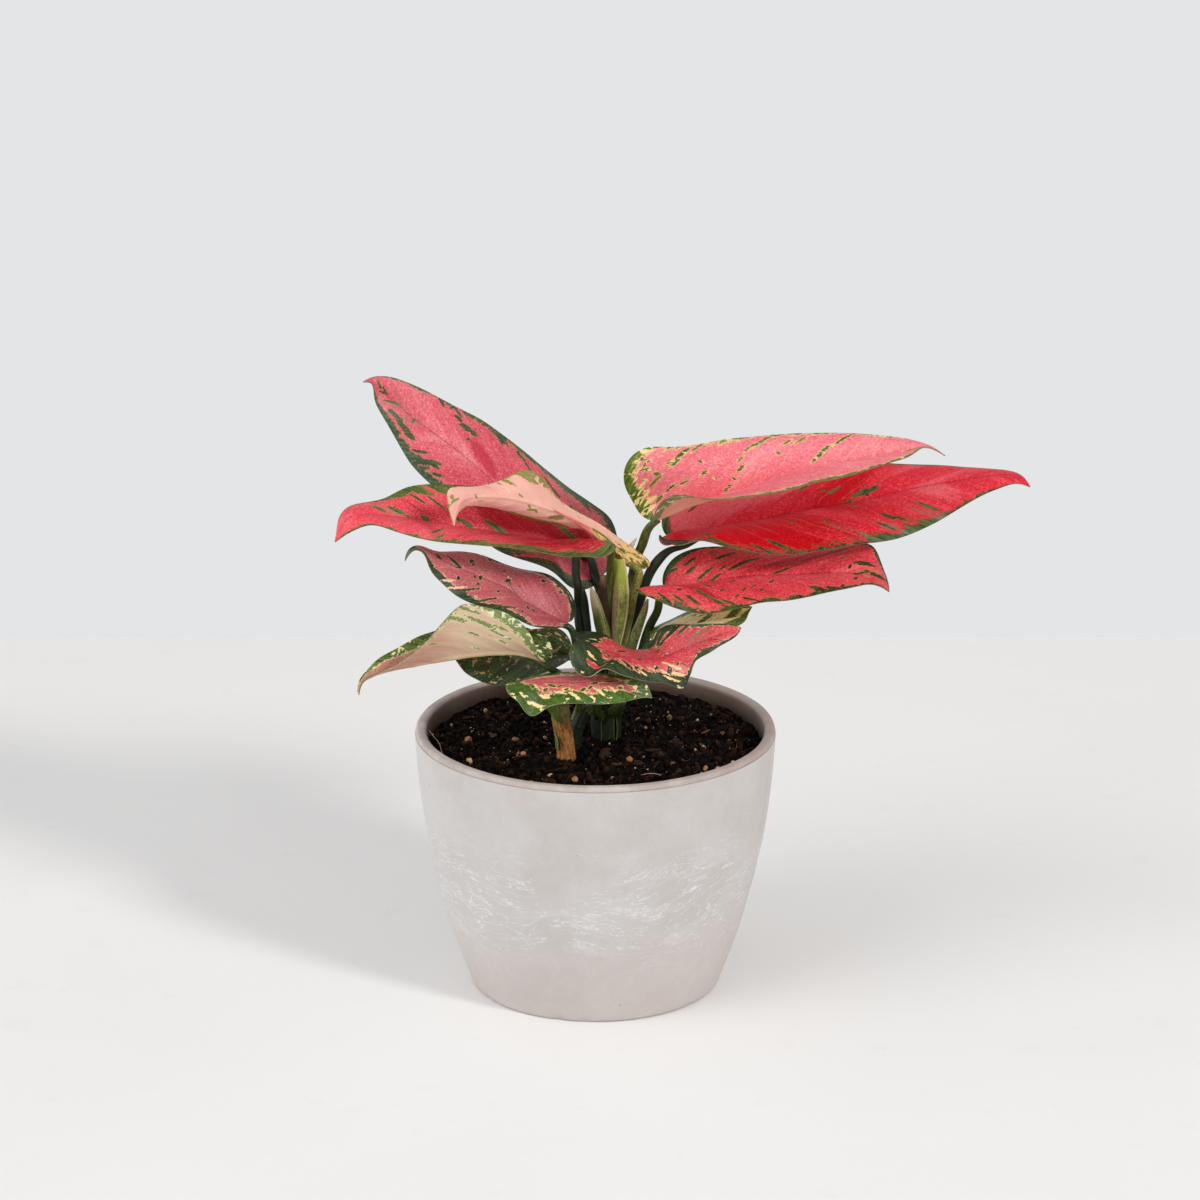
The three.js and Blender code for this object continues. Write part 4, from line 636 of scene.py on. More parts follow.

# Marks on the blades: kind, share of the length, place across (+1 left margin, -1 right margin),
# length along the side vein and width in mm, strength.  g green, k small fleck, p island, c cream,
# h grey-green painted sheen, o olive, d deeper and l lighter field.
MARKS = {
    "back_left": [
        ("e", 0.644, -0.58, 6, 2.2, 0.9), ("e", 0.614, -0.55, 4, 1.8, 0.9), ("e", 0.683, -0.70, 4, 1.3, 0.8),
        ("e", 0.846, 0.50, 7, 1.6, 0.8), ("e", 0.802, 0.52, 7, 1.8, 0.9), ("e", 0.762, 0.55, 7, 1.8, 0.8),
        ("e", 0.690, 0.78, 7, 2.4, 0.9), ("e", 0.652, 0.65, 6, 1.6, 0.9), ("e", 0.560, -0.93, 5, 1.5, 0.9),
        ("e", 0.536, -0.85, 4, 1.2, 0.8), ("e", 0.473, -0.83, 5, 1.2, 0.8), ("h", 0.840, 0.15, 10, 2.4, 0.8),
        ("h", 0.802, 0.17, 8, 2, 0.8), ("l", 0.560, 0.00, 14, 4, 0.7), ("l", 0.698, -0.10, 16, 4, 0.6),
        ("d", 0.544, -0.23, 7, 3.5, 0.9), ("k", 0.614, -0.35, 1.8, 1.2, 0.8), ("k", 0.815, 0.47, 2.6, 1.5, 0.8),
        ("k", 0.783, 0.10, 2.4, 1.4, 0.8), ("k", 0.489, -0.88, 2, 1.2, 0.7), ("g", 0.908, 0.02, 6, 1.2, 0.7),
        ("g", 0.705, 0.62, 6, 1.4, 0.8), ("k", 0.720, -0.90, 2, 1.2, 0.8), ("k", 0.614, -0.93, 2.2, 1.4, 0.8),
        ("g", 0.426, -0.73, 5, 1.2, 0.7), ("g", 0.357, -0.75, 6, 1.4, 0.8), ("g", 0.320, -0.68, 5, 1.4, 0.8),
        ("g", 0.241, -0.85, 6, 1.8, 0.9), ("k", 0.255, -0.60, 2, 1.5, 0.7), ("g", 0.698, -0.88, 5, 1.4, 0.5),
        ("g", 0.755, -0.90, 5, 1.2, 0.5), ("g", 0.591, -0.95, 6, 1.5, 0.6), ("g", 0.552, -0.85, 5, 1.6, 0.6),
        ("g", 0.876, 0.17, 7, 1.2, 0.6), ("h", 0.796, 0.20, 10, 2.4, 0.8), ("g", 0.660, 0.65, 9, 2, 0.65),
        ("g", 0.675, 0.88, 6, 1.6, 0.4), ("g", 0.621, 0.75, 5, 1.6, 0.4), ("g", 0.335, -0.93, 8, 1.6, 0.55),
        ("g", 0.283, -0.93, 7, 1.8, 0.6), ("h", 0.403, -1.00, 12, 2, 0.7), ("g", 0.450, -0.78, 4, 1, 0.45),
        ("g", 0.520, -0.83, 4, 1, 0.4), ("d", 0.536, -0.23, 9, 4, 0.8), ("g", 0.940, -0.15, 4, 1.2, 0.4),
        ("h", 0.846, -0.03, 10, 2.2, 0.7), ("h", 0.276, -0.73, 10, 3, 0.7),
    ],
    "left_middle": [
        ("k", 0.595, -0.03, 2.6, 1.8, 0.9), ("g", 0.483, -0.15, 5, 1.2, 0.8), ("g", 0.459, 0.22, 5, 1.4, 0.8),
        ("g", 0.364, -0.15, 6, 1.2, 0.8), ("g", 0.297, -0.05, 5, 1.2, 0.8), ("g", 0.780, -0.33, 7, 1.2, 0.7),
        ("g", 0.724, -0.23, 6, 1.2, 0.7), ("e", 0.571, 0.90, 16, 1, 0.8), ("e", 0.483, 0.95, 14, 1.2, 0.8),
        ("g", 0.650, 0.80, 6, 1.2, 0.7), ("g", 0.627, 0.93, 6, 1.2, 0.7), ("g", 0.650, -0.55, 7, 1, 0.7),
        ("k", 0.523, 0.07, 2, 1.2, 0.7), ("k", 0.349, 0.45, 2.2, 1.2, 0.8), ("g", 0.603, -0.05, 4, 1.4, 0.7),
        ("g", 0.443, -0.07, 7, 1.6, 0.65), ("g", 0.334, -0.10, 9, 1.7, 0.75), ("h", 0.752, -0.28, 14, 2.2, 0.9),
        ("g", 0.634, 0.57, 8, 1.4, 0.45), ("g", 0.587, -0.48, 8, 1, 0.6), ("g", 0.687, -0.12, 9, 1, 0.5),
        ("g", 0.114, -0.38, 10, 2, 0.8), ("g", 0.136, 0.42, 8, 1.8, 0.7), ("p", 0.642, -0.93, 6, 1.6, -0.7),
        ("d", 0.247, -0.38, 16, 5, 0.9), ("d", 0.341, -0.30, 14, 4, 0.8), ("h", 0.702, 1.00, 12, 2, 0.6),
    ],
    "young_curled": [
        ("e", 0.635, 0.97, 5, 1.4, 1), ("e", 0.650, 0.90, 6, 1.6, 1), ("g", 0.642, 0.90, 4, 1.6, 0.9),
        ("e", 0.729, -0.98, 10, 1, 1), ("e", 0.650, -0.78, 10, 1.2, 1), ("e", 0.574, -0.73, 10, 1.3, 1),
        ("e", 0.497, -0.70, 10, 1.3, 1), ("e", 0.411, -0.53, 10, 1.2, 1), ("g", 0.434, -0.28, 8, 1.6, 0.9),
        ("k", 0.903, 0.65, 2, 1.2, 0.9), ("k", 0.936, 0.97, 2, 1, 0.9), ("k", 0.567, -0.15, 2, 1.3, 0.9),
        ("k", 0.536, -0.28, 2, 1.2, 0.8), ("k", 0.590, 0.90, 2.4, 1.4, 0.8), ("k", 0.567, 0.90, 2, 1.2, 0.7),
        ("k", 0.815, -0.05, 1.8, 1, 0.7), ("k", 0.888, -0.93, 2, 1.2, 0.8), ("g", 0.612, 0.78, 3, 1.3, 0.8),
        ("g", 0.559, -0.25, 4, 1.6, 0.8), ("g", 0.686, -0.83, 8, 1, 0.7), ("g", 0.426, -0.18, 9, 1.4, 0.8),
        ("g", 0.903, 0.38, 4, 1, 0.7), ("g", 0.808, -0.38, 3, 0.8, 0.5), ("g", 0.665, 0.90, 9, 1.8, 0.9),
        ("g", 0.620, 1.00, 7, 2, 0.9), ("g", 0.715, 0.85, 7, 1.4, 0.7), ("g", 0.627, 0.20, 3, 0.8, 0.5),
        ("g", 0.497, 1.00, 3, 0.8, 0.4),
    ],
    "left_lower": [
        ("k", 0.623, -0.45, 2.2, 1.5, 1), ("k", 0.600, -0.33, 1.4, 1.2, 0.9), ("k", 0.554, -0.88, 2.4, 1.3, 0.9),
        ("k", 0.459, -0.55, 1.6, 1.1, 1), ("k", 0.397, -0.23, 2, 1.5, 1), ("k", 0.277, -0.70, 1.8, 1.5, 1.1),
        ("k", 0.214, -0.85, 1.8, 1.3, 1), ("k", 0.181, -0.75, 1.4, 1.2, 1), ("k", 0.522, 0.05, 3, 1.4, 1),
        ("k", 0.554, 0.12, 2.2, 1.1, 0.8), ("k", 0.639, 0.45, 2, 1.2, 1), ("k", 0.420, 0.38, 1.8, 1.1, 0.8),
        ("k", 0.241, 0.32, 3, 1.3, 1), ("k", 0.207, 0.32, 2.6, 1.1, 0.9), ("k", 0.277, 0.65, 1.6, 1, 0.7),
        ("g", 0.662, -0.07, 8, 1.2, 0.9), ("g", 0.706, -0.20, 7, 1.2, 0.9), ("g", 0.577, 0.70, 9, 1.1, 0.9),
        ("g", 0.474, 0.80, 11, 1.1, 0.9), ("g", 0.382, 0.85, 10, 1.1, 0.9), ("c", 0.677, 0.75, 4, 1, 0.9),
        ("c", 0.631, 0.80, 6, 1, 0.9), ("c", 0.412, -0.35, 5, 1.4, 0.5), ("g", 0.763, -0.03, 6, 1.2, 0.7),
        ("k", 0.329, -0.23, 1.2, 1, 0.6), ("k", 0.522, -0.28, 1.2, 1, 0.6),
    ],
    "left_low_folded": [
        ("g", 0.414, 0.93, 8, 1.5, 0.9), ("g", 0.485, 0.90, 9, 1.6, 0.9), ("g", 0.346, 0.75, 8, 1.8, 1),
        ("g", 0.391, 0.80, 7, 1, 0.8), ("g", 0.245, 0.57, 5, 1.2, 0.8), ("g", 0.273, 0.72, 5, 1.2, 0.7),
        ("g", 0.302, 0.62, 4, 1, 0.6), ("g", 0.391, 0.55, 4, 1.2, 0.7), ("g", 0.245, 0.42, 6, 0.9, 0.6),
        ("g", 0.602, 0.75, 4, 1.1, 0.7), ("g", 0.369, 0.22, 4, 1, 0.6), ("g", 0.445, 0.75, 3, 0.8, 0.5),
    ],
    "left_under": [
        ("p", 0.497, 0.62, 26, 2.2, -1), ("p", 0.598, 0.70, 12, 1.8, -0.8), ("p", 0.544, 0.00, 10, 1.2, -0.6),
    ],
    "front_small": [
        ("k", 0.366, -0.25, 2.2, 1.5, 0.9), ("k", 0.436, -0.12, 2.4, 1.5, 0.9), ("k", 0.546, -0.45, 2.2, 1.5, 0.9),
        ("g", 0.585, 0.05, 5, 1.3, 0.9), ("g", 0.693, 0.27, 5, 1.3, 0.9), ("k", 0.277, -0.33, 2.2, 1.4, 0.9),
        ("g", 0.299, -0.18, 5, 1.3, 0.8), ("k", 0.663, -0.70, 2, 1.4, 0.9), ("k", 0.763, -0.07, 2.2, 1.5, 0.9),
        ("h", 0.860, 0.22, 10, 4, 1.1), ("h", 0.783, 0.35, 10, 3, 1), ("h", 0.911, -0.12, 8, 3, 1),
        ("k", 0.491, -0.78, 2, 1.4, 0.9), ("k", 0.562, -0.78, 2, 1.4, 0.9), ("k", 0.715, -0.53, 2, 1.4, 0.9),
        ("p", 0.468, -0.25, 20, 3, -0.5), ("p", 0.686, 0.25, 20, 2, -0.4), ("c", 0.413, -0.58, 5, 1.3, 0.8),
        ("c", 0.523, -0.73, 6, 1.1, 0.8), ("c", 0.292, -0.78, 5, 1.4, 0.9), ("c", 0.313, -0.58, 5, 1.2, 0.8),
        ("c", 0.656, -0.48, 5, 1.2, 0.8), ("c", 0.715, -0.23, 4, 1, 0.7), ("k", 0.444, -0.48, 2.2, 1.2, 0.9),
        ("k", 0.578, -0.33, 2.6, 1.2, 0.8), ("k", 0.671, -0.35, 2.2, 1.3, 0.9), ("k", 0.374, -0.62, 1.8, 1, 0.8),
    ],
    "front_wavy": [
        ("g", 0.544, 0.90, 8, 2.2, 1), ("g", 0.583, 0.80, 8, 2.2, 1), ("g", 0.482, 1.00, 7, 2, 1),
        ("g", 0.628, 0.72, 7, 1.8, 1), ("k", 0.521, 0.65, 2.2, 1.8, 0.9), ("g", 0.681, 0.72, 6, 1.4, 0.8),
        ("k", 0.389, -0.30, 2.2, 1.4, 0.9), ("k", 0.299, -0.80, 2.4, 1.6, 0.9), ("g", 0.256, 0.20, 5, 1.4, 0.9),
        ("g", 0.351, 0.75, 5, 1.4, 0.9), ("h", 0.758, 0.40, 12, 4, 1), ("h", 0.717, 0.68, 12, 3, 0.9),
        ("k", 0.263, -0.98, 2.4, 1.6, 0.9), ("g", 0.336, -1.00, 5, 1.4, 0.9), ("k", 0.397, -0.93, 2, 1.4, 0.8),
        ("g", 0.474, -1.00, 5, 1.6, 0.9), ("k", 0.498, -0.58, 2, 1.4, 0.9), ("k", 0.412, -0.70, 1.8, 1.2, 0.8),
        ("p", 0.196, -0.73, 5, 2, -1.3), ("c", 0.152, -0.55, 3, 1.2, 0.9), ("c", 0.451, -0.80, 2, 0.8, 0.9),
        ("g", 0.382, 0.17, 4, 1, 0.9), ("g", 0.366, -0.68, 5, 1.2, 0.9), ("k", 0.567, -0.53, 2, 1.4, 1),
        ("k", 0.567, -0.65, 2.2, 1.4, 1), ("g", 0.529, 0.52, 4, 0.9, 0.8), ("c", 0.544, -0.43, 3, 1, 0.8),
        ("c", 0.583, -0.50, 4, 1.1, 0.9), ("c", 0.606, -0.68, 3, 1.2, 0.9), ("c", 0.583, -0.85, 3, 1, 0.8),
        ("l", 0.567, -0.80, 8, 3, 1.1), ("l", 0.590, -0.53, 6, 2.5, 0.9), ("g", 0.196, -0.48, 7, 1.6, 1),
        ("g", 0.190, -0.25, 6, 1.1, 0.8), ("g", 0.559, 0.55, 5, 0.9, 0.7), ("k", 0.467, 0.60, 1.6, 1, 0.7),
        ("k", 0.598, -0.40, 1.5, 1, 0.8), ("g", 0.420, 0.95, 5, 0.8, 0.5), ("k", 0.263, -0.30, 1.6, 1, 0.6),
        ("c", 0.544, -0.70, 2.5, 0.8, 0.8),
    ],
    "right_under": [
        ("g", 0.450, 0.90, 9, 2, 0.7), ("g", 0.529, 0.10, 8, 2, 0.7), ("g", 0.829, 0.25, 10, 3, 0.8),
        ("g", 0.333, 1.00, 8, 2, 0.5),
    ],
    "right_lower": [
        ("e", 0.794, -0.85, 7, 1.3, 0.9), ("e", 0.752, -0.85, 5, 1.3, 0.9), ("k", 0.827, -0.83, 2, 1.4, 0.9),
        ("e", 0.088, 0.72, 4, 1.4, 0.9), ("k", 0.082, 1.00, 2.2, 1.6, 0.9), ("e", 0.161, 1.00, 5, 1.2, 0.9),
        ("l", 0.180, 0.35, 12, 4, 0.5), ("l", 0.801, 0.10, 10, 3, 0.5), ("g", 0.827, 0.35, 5, 1.5, 0.9),
        ("g", 0.875, 0.20, 5, 1.5, 0.9), ("c", 0.887, 0.02, 3, 1, 0.9), ("c", 0.846, 0.10, 3, 0.8, 0.8),
        ("g", 0.126, 1.00, 6, 1.2, 0.8), ("g", 0.219, 0.97, 6, 1.2, 0.8), ("g", 0.037, 1.00, 5, 1.2, 0.8),
        ("g", 0.180, -0.20, 7, 1.2, 0.8), ("g", 0.260, -0.33, 6, 1, 0.7), ("k", 0.333, -0.18, 2, 1.3, 0.8),
        ("k", 0.509, -0.58, 1.8, 1.2, 0.8), ("k", 0.852, -0.38, 2.4, 1.4, 0.8), ("k", 0.903, -0.95, 2.4, 1.4, 0.8),
        ("k", 0.794, 0.17, 2, 1.2, 0.8), ("g", 0.858, 0.40, 6, 1.4, 0.8), ("g", 0.948, -1.00, 5, 1.4, 0.9),
        ("g", 0.282, -0.75, 6, 1.4, 0.9), ("g", 0.206, -0.90, 5, 1.4, 0.9), ("g", 0.408, -0.78, 6, 1.4, 0.8),
        ("g", 0.494, -0.83, 7, 1.2, 0.8), ("k", 0.199, -0.58, 2, 1.2, 0.9), ("k", 0.260, -0.70, 2, 1.2, 0.8),
        ("g", 0.378, 0.47, 9, 1.4, 0.85), ("g", 0.333, 0.32, 8, 1.2, 0.7), ("g", 0.289, 0.65, 8, 1.3, 0.7),
        ("g", 0.193, 0.22, 8, 1.3, 0.8), ("g", 0.149, 0.42, 5, 1.4, 0.8), ("g", 0.161, 0.65, 5, 1.2, 0.7),
        ("g", 0.226, 0.07, 6, 1.3, 0.7), ("g", 0.509, 0.12, 8, 1.2, 0.6), ("k", 0.509, -0.30, 2.5, 1.5, 1),
        ("k", 0.455, -0.40, 1.5, 1.1, 1), ("k", 0.424, -0.48, 2, 1.3, 1), ("k", 0.340, -0.45, 2, 1.2, 1),
        ("g", 0.239, -0.80, 5, 1.4, 0.8), ("g", 0.289, -0.58, 8, 1.4, 0.9), ("g", 0.363, -0.73, 6, 1.5, 0.9),
        ("k", 0.424, -0.65, 2, 1, 1), ("g", 0.731, -0.75, 8, 1.9, 0.8), ("g", 0.840, 0.05, 6, 1.3, 0.7),
        ("g", 0.745, 0.42, 6, 1, 0.6), ("g", 0.731, 0.72, 7, 1.3, 0.6), ("g", 0.924, 0.32, 6, 2, 0.8),
        ("c", 0.892, 0.35, 5, 1.6, 0.7), ("d", 0.580, 0.50, 16, 5, 0.7), ("d", 0.267, -0.53, 9, 3, 0.6),
    ],
    "right_upper": [
        ("c", 0.165, 0.80, 2.5, 1, 0.9), ("c", 0.135, 0.80, 2.5, 0.9, 0.9), ("c", 0.129, 0.68, 3, 1.1, 1),
        ("c", 0.107, 0.57, 3, 1.2, 1), ("c", 0.101, 0.72, 2.5, 1, 0.9), ("c", 0.075, 0.55, 3, 1.5, 1.1),
        ("c", 0.075, 0.70, 2.5, 1.1, 0.9), ("c", 0.159, 0.85, 2, 0.8, 0.8), ("c", 0.052, 0.45, 3, 1.6, 1.1),
        ("k", 0.147, 0.65, 1.8, 1.2, 0.8), ("k", 0.172, 0.78, 1.8, 1.2, 0.8), ("g", 0.071, 0.52, 4, 1.4, 1),
        ("g", 0.101, 0.35, 5, 1.2, 1), ("g", 0.135, -1.00, 5, 1.2, 1), ("g", 0.178, -0.95, 5, 1.2, 0.9),
        ("g", 0.224, -1.00, 5, 1, 0.8), ("c", 0.091, 0.45, 3, 1.2, 1), ("c", 0.118, -1.00, 3, 1.1, 1),
        ("c", 0.159, -0.88, 3, 1, 0.9), ("k", 0.178, 0.57, 2.2, 1.6, 0.9), ("k", 0.204, 0.85, 2, 1.4, 0.8),
        ("k", 0.178, 0.70, 2.2, 1.4, 0.8), ("k", 0.309, 0.57, 2, 1.3, 0.7), ("k", 0.287, 0.25, 1.8, 1.3, 0.7),
        ("k", 0.510, 0.40, 2, 1.3, 0.7), ("k", 0.331, 0.17, 2, 1.2, 0.8), ("g", 0.301, 0.80, 8, 1.8, 1),
        ("g", 0.244, 0.60, 5, 1.4, 0.9), ("g", 0.191, 0.78, 4, 1.3, 0.8), ("g", 0.153, 0.52, 6, 1.4, 0.9),
        ("g", 0.159, 0.32, 5, 1.2, 0.8), ("g", 0.204, 0.30, 4, 1.6, 0.6), ("g", 0.273, 0.35, 5, 1.4, 0.8),
        ("g", 0.518, 0.80, 10, 1.2, 0.95), ("g", 0.463, 0.65, 7, 1, 0.7), ("g", 0.564, 0.65, 5, 1.2, 0.7),
        ("g", 0.611, 0.70, 7, 1.2, 0.7), ("g", 0.642, 0.35, 6, 1.2, 0.9), ("g", 0.596, 0.17, 8, 1.2, 0.9),
        ("g", 0.715, 0.68, 10, 1.3, 0.7), ("g", 0.376, 0.30, 5, 1.3, 0.8), ("g", 0.407, 0.45, 4, 1.1, 0.6),
        ("g", 0.287, 0.07, 6, 1.1, 0.7), ("g", 0.890, -0.35, 8, 1.4, 0.6), ("g", 0.353, 0.90, 7, 1.2, 0.7),
        ("g", 0.231, 0.62, 3, 1, 0.6),
    ],
    # on this blade the l marks are painted light, brightening the upper half where right_upper's shadow falls, and the
    # d marks are partly deeper red and partly painted shade on its shaded half
    "right_middle": [
        ("l", 0.175, 0.75, 34, 14, 0.9), ("l", 0.263, 0.72, 34, 12, 0.8), ("l", 0.366, 0.78, 30, 10, 0.8),
        ("l", 0.476, 0.78, 30, 8, 0.6), ("d", 0.207, -0.95, 20, 6, 1), ("d", 0.277, -0.90, 20, 6, 1),
        ("d", 0.397, -0.78, 20, 5, 0.9), ("e", 0.546, 0.17, 7, 1.6, 0.9), ("e", 0.507, 0.12, 5, 1.4, 0.9),
        ("e", 0.468, 0.02, 4, 1.2, 0.7), ("k", 0.436, 0.35, 2, 1.2, 0.8), ("k", 0.530, 0.10, 2.2, 1.6, 0.9),
        ("g", 0.554, 0.20, 5, 1.4, 0.9), ("g", 0.515, 0.15, 6, 1.4, 0.9), ("k", 0.444, -0.45, 2, 1.2, 0.8),
        ("g", 0.616, -0.75, 7, 1.2, 0.8), ("g", 0.654, -0.68, 6, 1, 0.7), ("g", 0.691, -0.90, 8, 1.2, 0.8),
        ("g", 0.343, -0.83, 6, 1.4, 0.8), ("g", 0.314, -0.93, 6, 1.2, 0.8), ("g", 0.169, -0.83, 6, 1.2, 0.7),
        ("k", 0.105, 1.00, 2.4, 1.6, 1), ("g", 0.127, 1.00, 6, 1.4, 0.9), ("g", 0.094, 0.90, 6, 1.4, 0.9),
        ("g", 0.169, 0.85, 6, 1, 0.7), ("g", 0.631, -1.00, 7, 1.4, 0.9), ("g", 0.735, -0.98, 8, 1.4, 0.8),
        ("o", 0.491, 0.07, 7, 2.2, 0.9), ("o", 0.577, 0.27, 11, 1.5, 0.9), ("g", 0.460, 0.30, 6, 1.4, 0.8),
        ("g", 0.139, 0.65, 4, 1.4, 0.8), ("g", 0.397, 0.45, 6, 1.4, 0.6), ("g", 0.616, -0.58, 8, 1.4, 0.7),
        ("h", 0.530, -0.75, 14, 2.2, 0.9), ("g", 0.720, -0.58, 12, 1.2, 0.6), ("g", 0.351, -0.43, 5, 1, 0.4),
        ("g", 0.366, -0.88, 9, 1.5, 0.8), ("o", 0.691, -0.78, 14, 1.6, 0.8), ("h", 0.756, -0.90, 18, 3, 1.1),
        ("h", 0.654, -0.88, 18, 2.6, 1.1), ("d", 0.321, -0.70, 26, 7, 1), ("d", 0.221, -0.75, 20, 6, 1),
        ("d", 0.366, -0.38, 20, 6, 0.9), ("d", 0.522, 0.47, 18, 4, 0.9), ("d", 0.428, 0.12, 16, 5, 0.8),
        ("l", 0.706, -0.12, 18, 5, 0.8), ("l", 0.662, 0.62, 18, 3, 0.6), ("h", 0.175, 0.75, 20, 5, 0.3),
    ],
}

def leaf_surface(data, nu, nv):
    """Middle surface of a blade as a grid [nu, nv], left margin first, with the place across it from
    +1 at the left margin to -1 at the right."""
    L = np.array(data["left"], float)
    M = np.array(data["midrib"], float)
    R = np.array(data["right"], float)
    n = len(M)
    T = normalise(np.gradient(M, axis=0))
    across = L - R
    across[0], across[-1] = across[1], across[-2]
    N = normalise(np.cross(T, across))
    N[0], N[-1] = N[1], N[-2]
    side = normalise(across)
    L[0], R[0] = M[0] + side[0] * 0.9, M[0] - side[0] * 0.9
    L[-1], R[-1] = M[-1] + side[-1] * 0.18, M[-1] - side[-1] * 0.18
    k = np.linspace(0, 1, n)
    bl = data["bulge"][0] * (1 - k) + data["bulge"][1] * k
    br = data["bulge"][2] * (1 - k) + data["bulge"][3] * k
    t = np.arange(n, dtype=float)
    x = np.linspace(0, n - 1, nu)
    Ls, Ms, Rs = spline(t, L, x), spline(t, M, x), spline(t, R, x)
    Ns = normalise(spline(t, N, x))
    bl, br = np.interp(x, t, bl), np.interp(x, t, br)
    v = np.linspace(1, -1, nv)
    s = np.abs(v)
    P = np.zeros((nu, nv, 3))
    for j in range(nv):
        E, b = (Ls, bl) if v[j] > 0 else (Rs, br)
        w = np.linalg.norm(E - Ms, axis=1)
        P[:, j] = Ms + (E - Ms) * s[j] + Ns * (4 * s[j] * (1 - s[j]) * b * w)[:, None]
    # round off the fold along the midrib and the steps between stations
    soft = data.get("soft", 2)
    for _ in range(soft):
        Q = P.copy()
        Q[:, 1:-1] = 0.25 * P[:, :-2] + 0.5 * P[:, 1:-1] + 0.25 * P[:, 2:]
        near = np.exp(-((v[1:-1] / 0.3) ** 2))[None, :, None]
        P[:, 1:-1] = P[:, 1:-1] * (1 - near) + Q[:, 1:-1] * near
    for _ in range(2):
        P[2:-2] = 0.25 * P[1:-3] + 0.5 * P[2:-2] + 0.25 * P[3:-1]
    return P, v


def grid_normals(P):
    du = np.gradient(P, axis=0)
    dv = np.gradient(P, axis=1)
    N = normalise(np.cross(du, -dv))
    return N


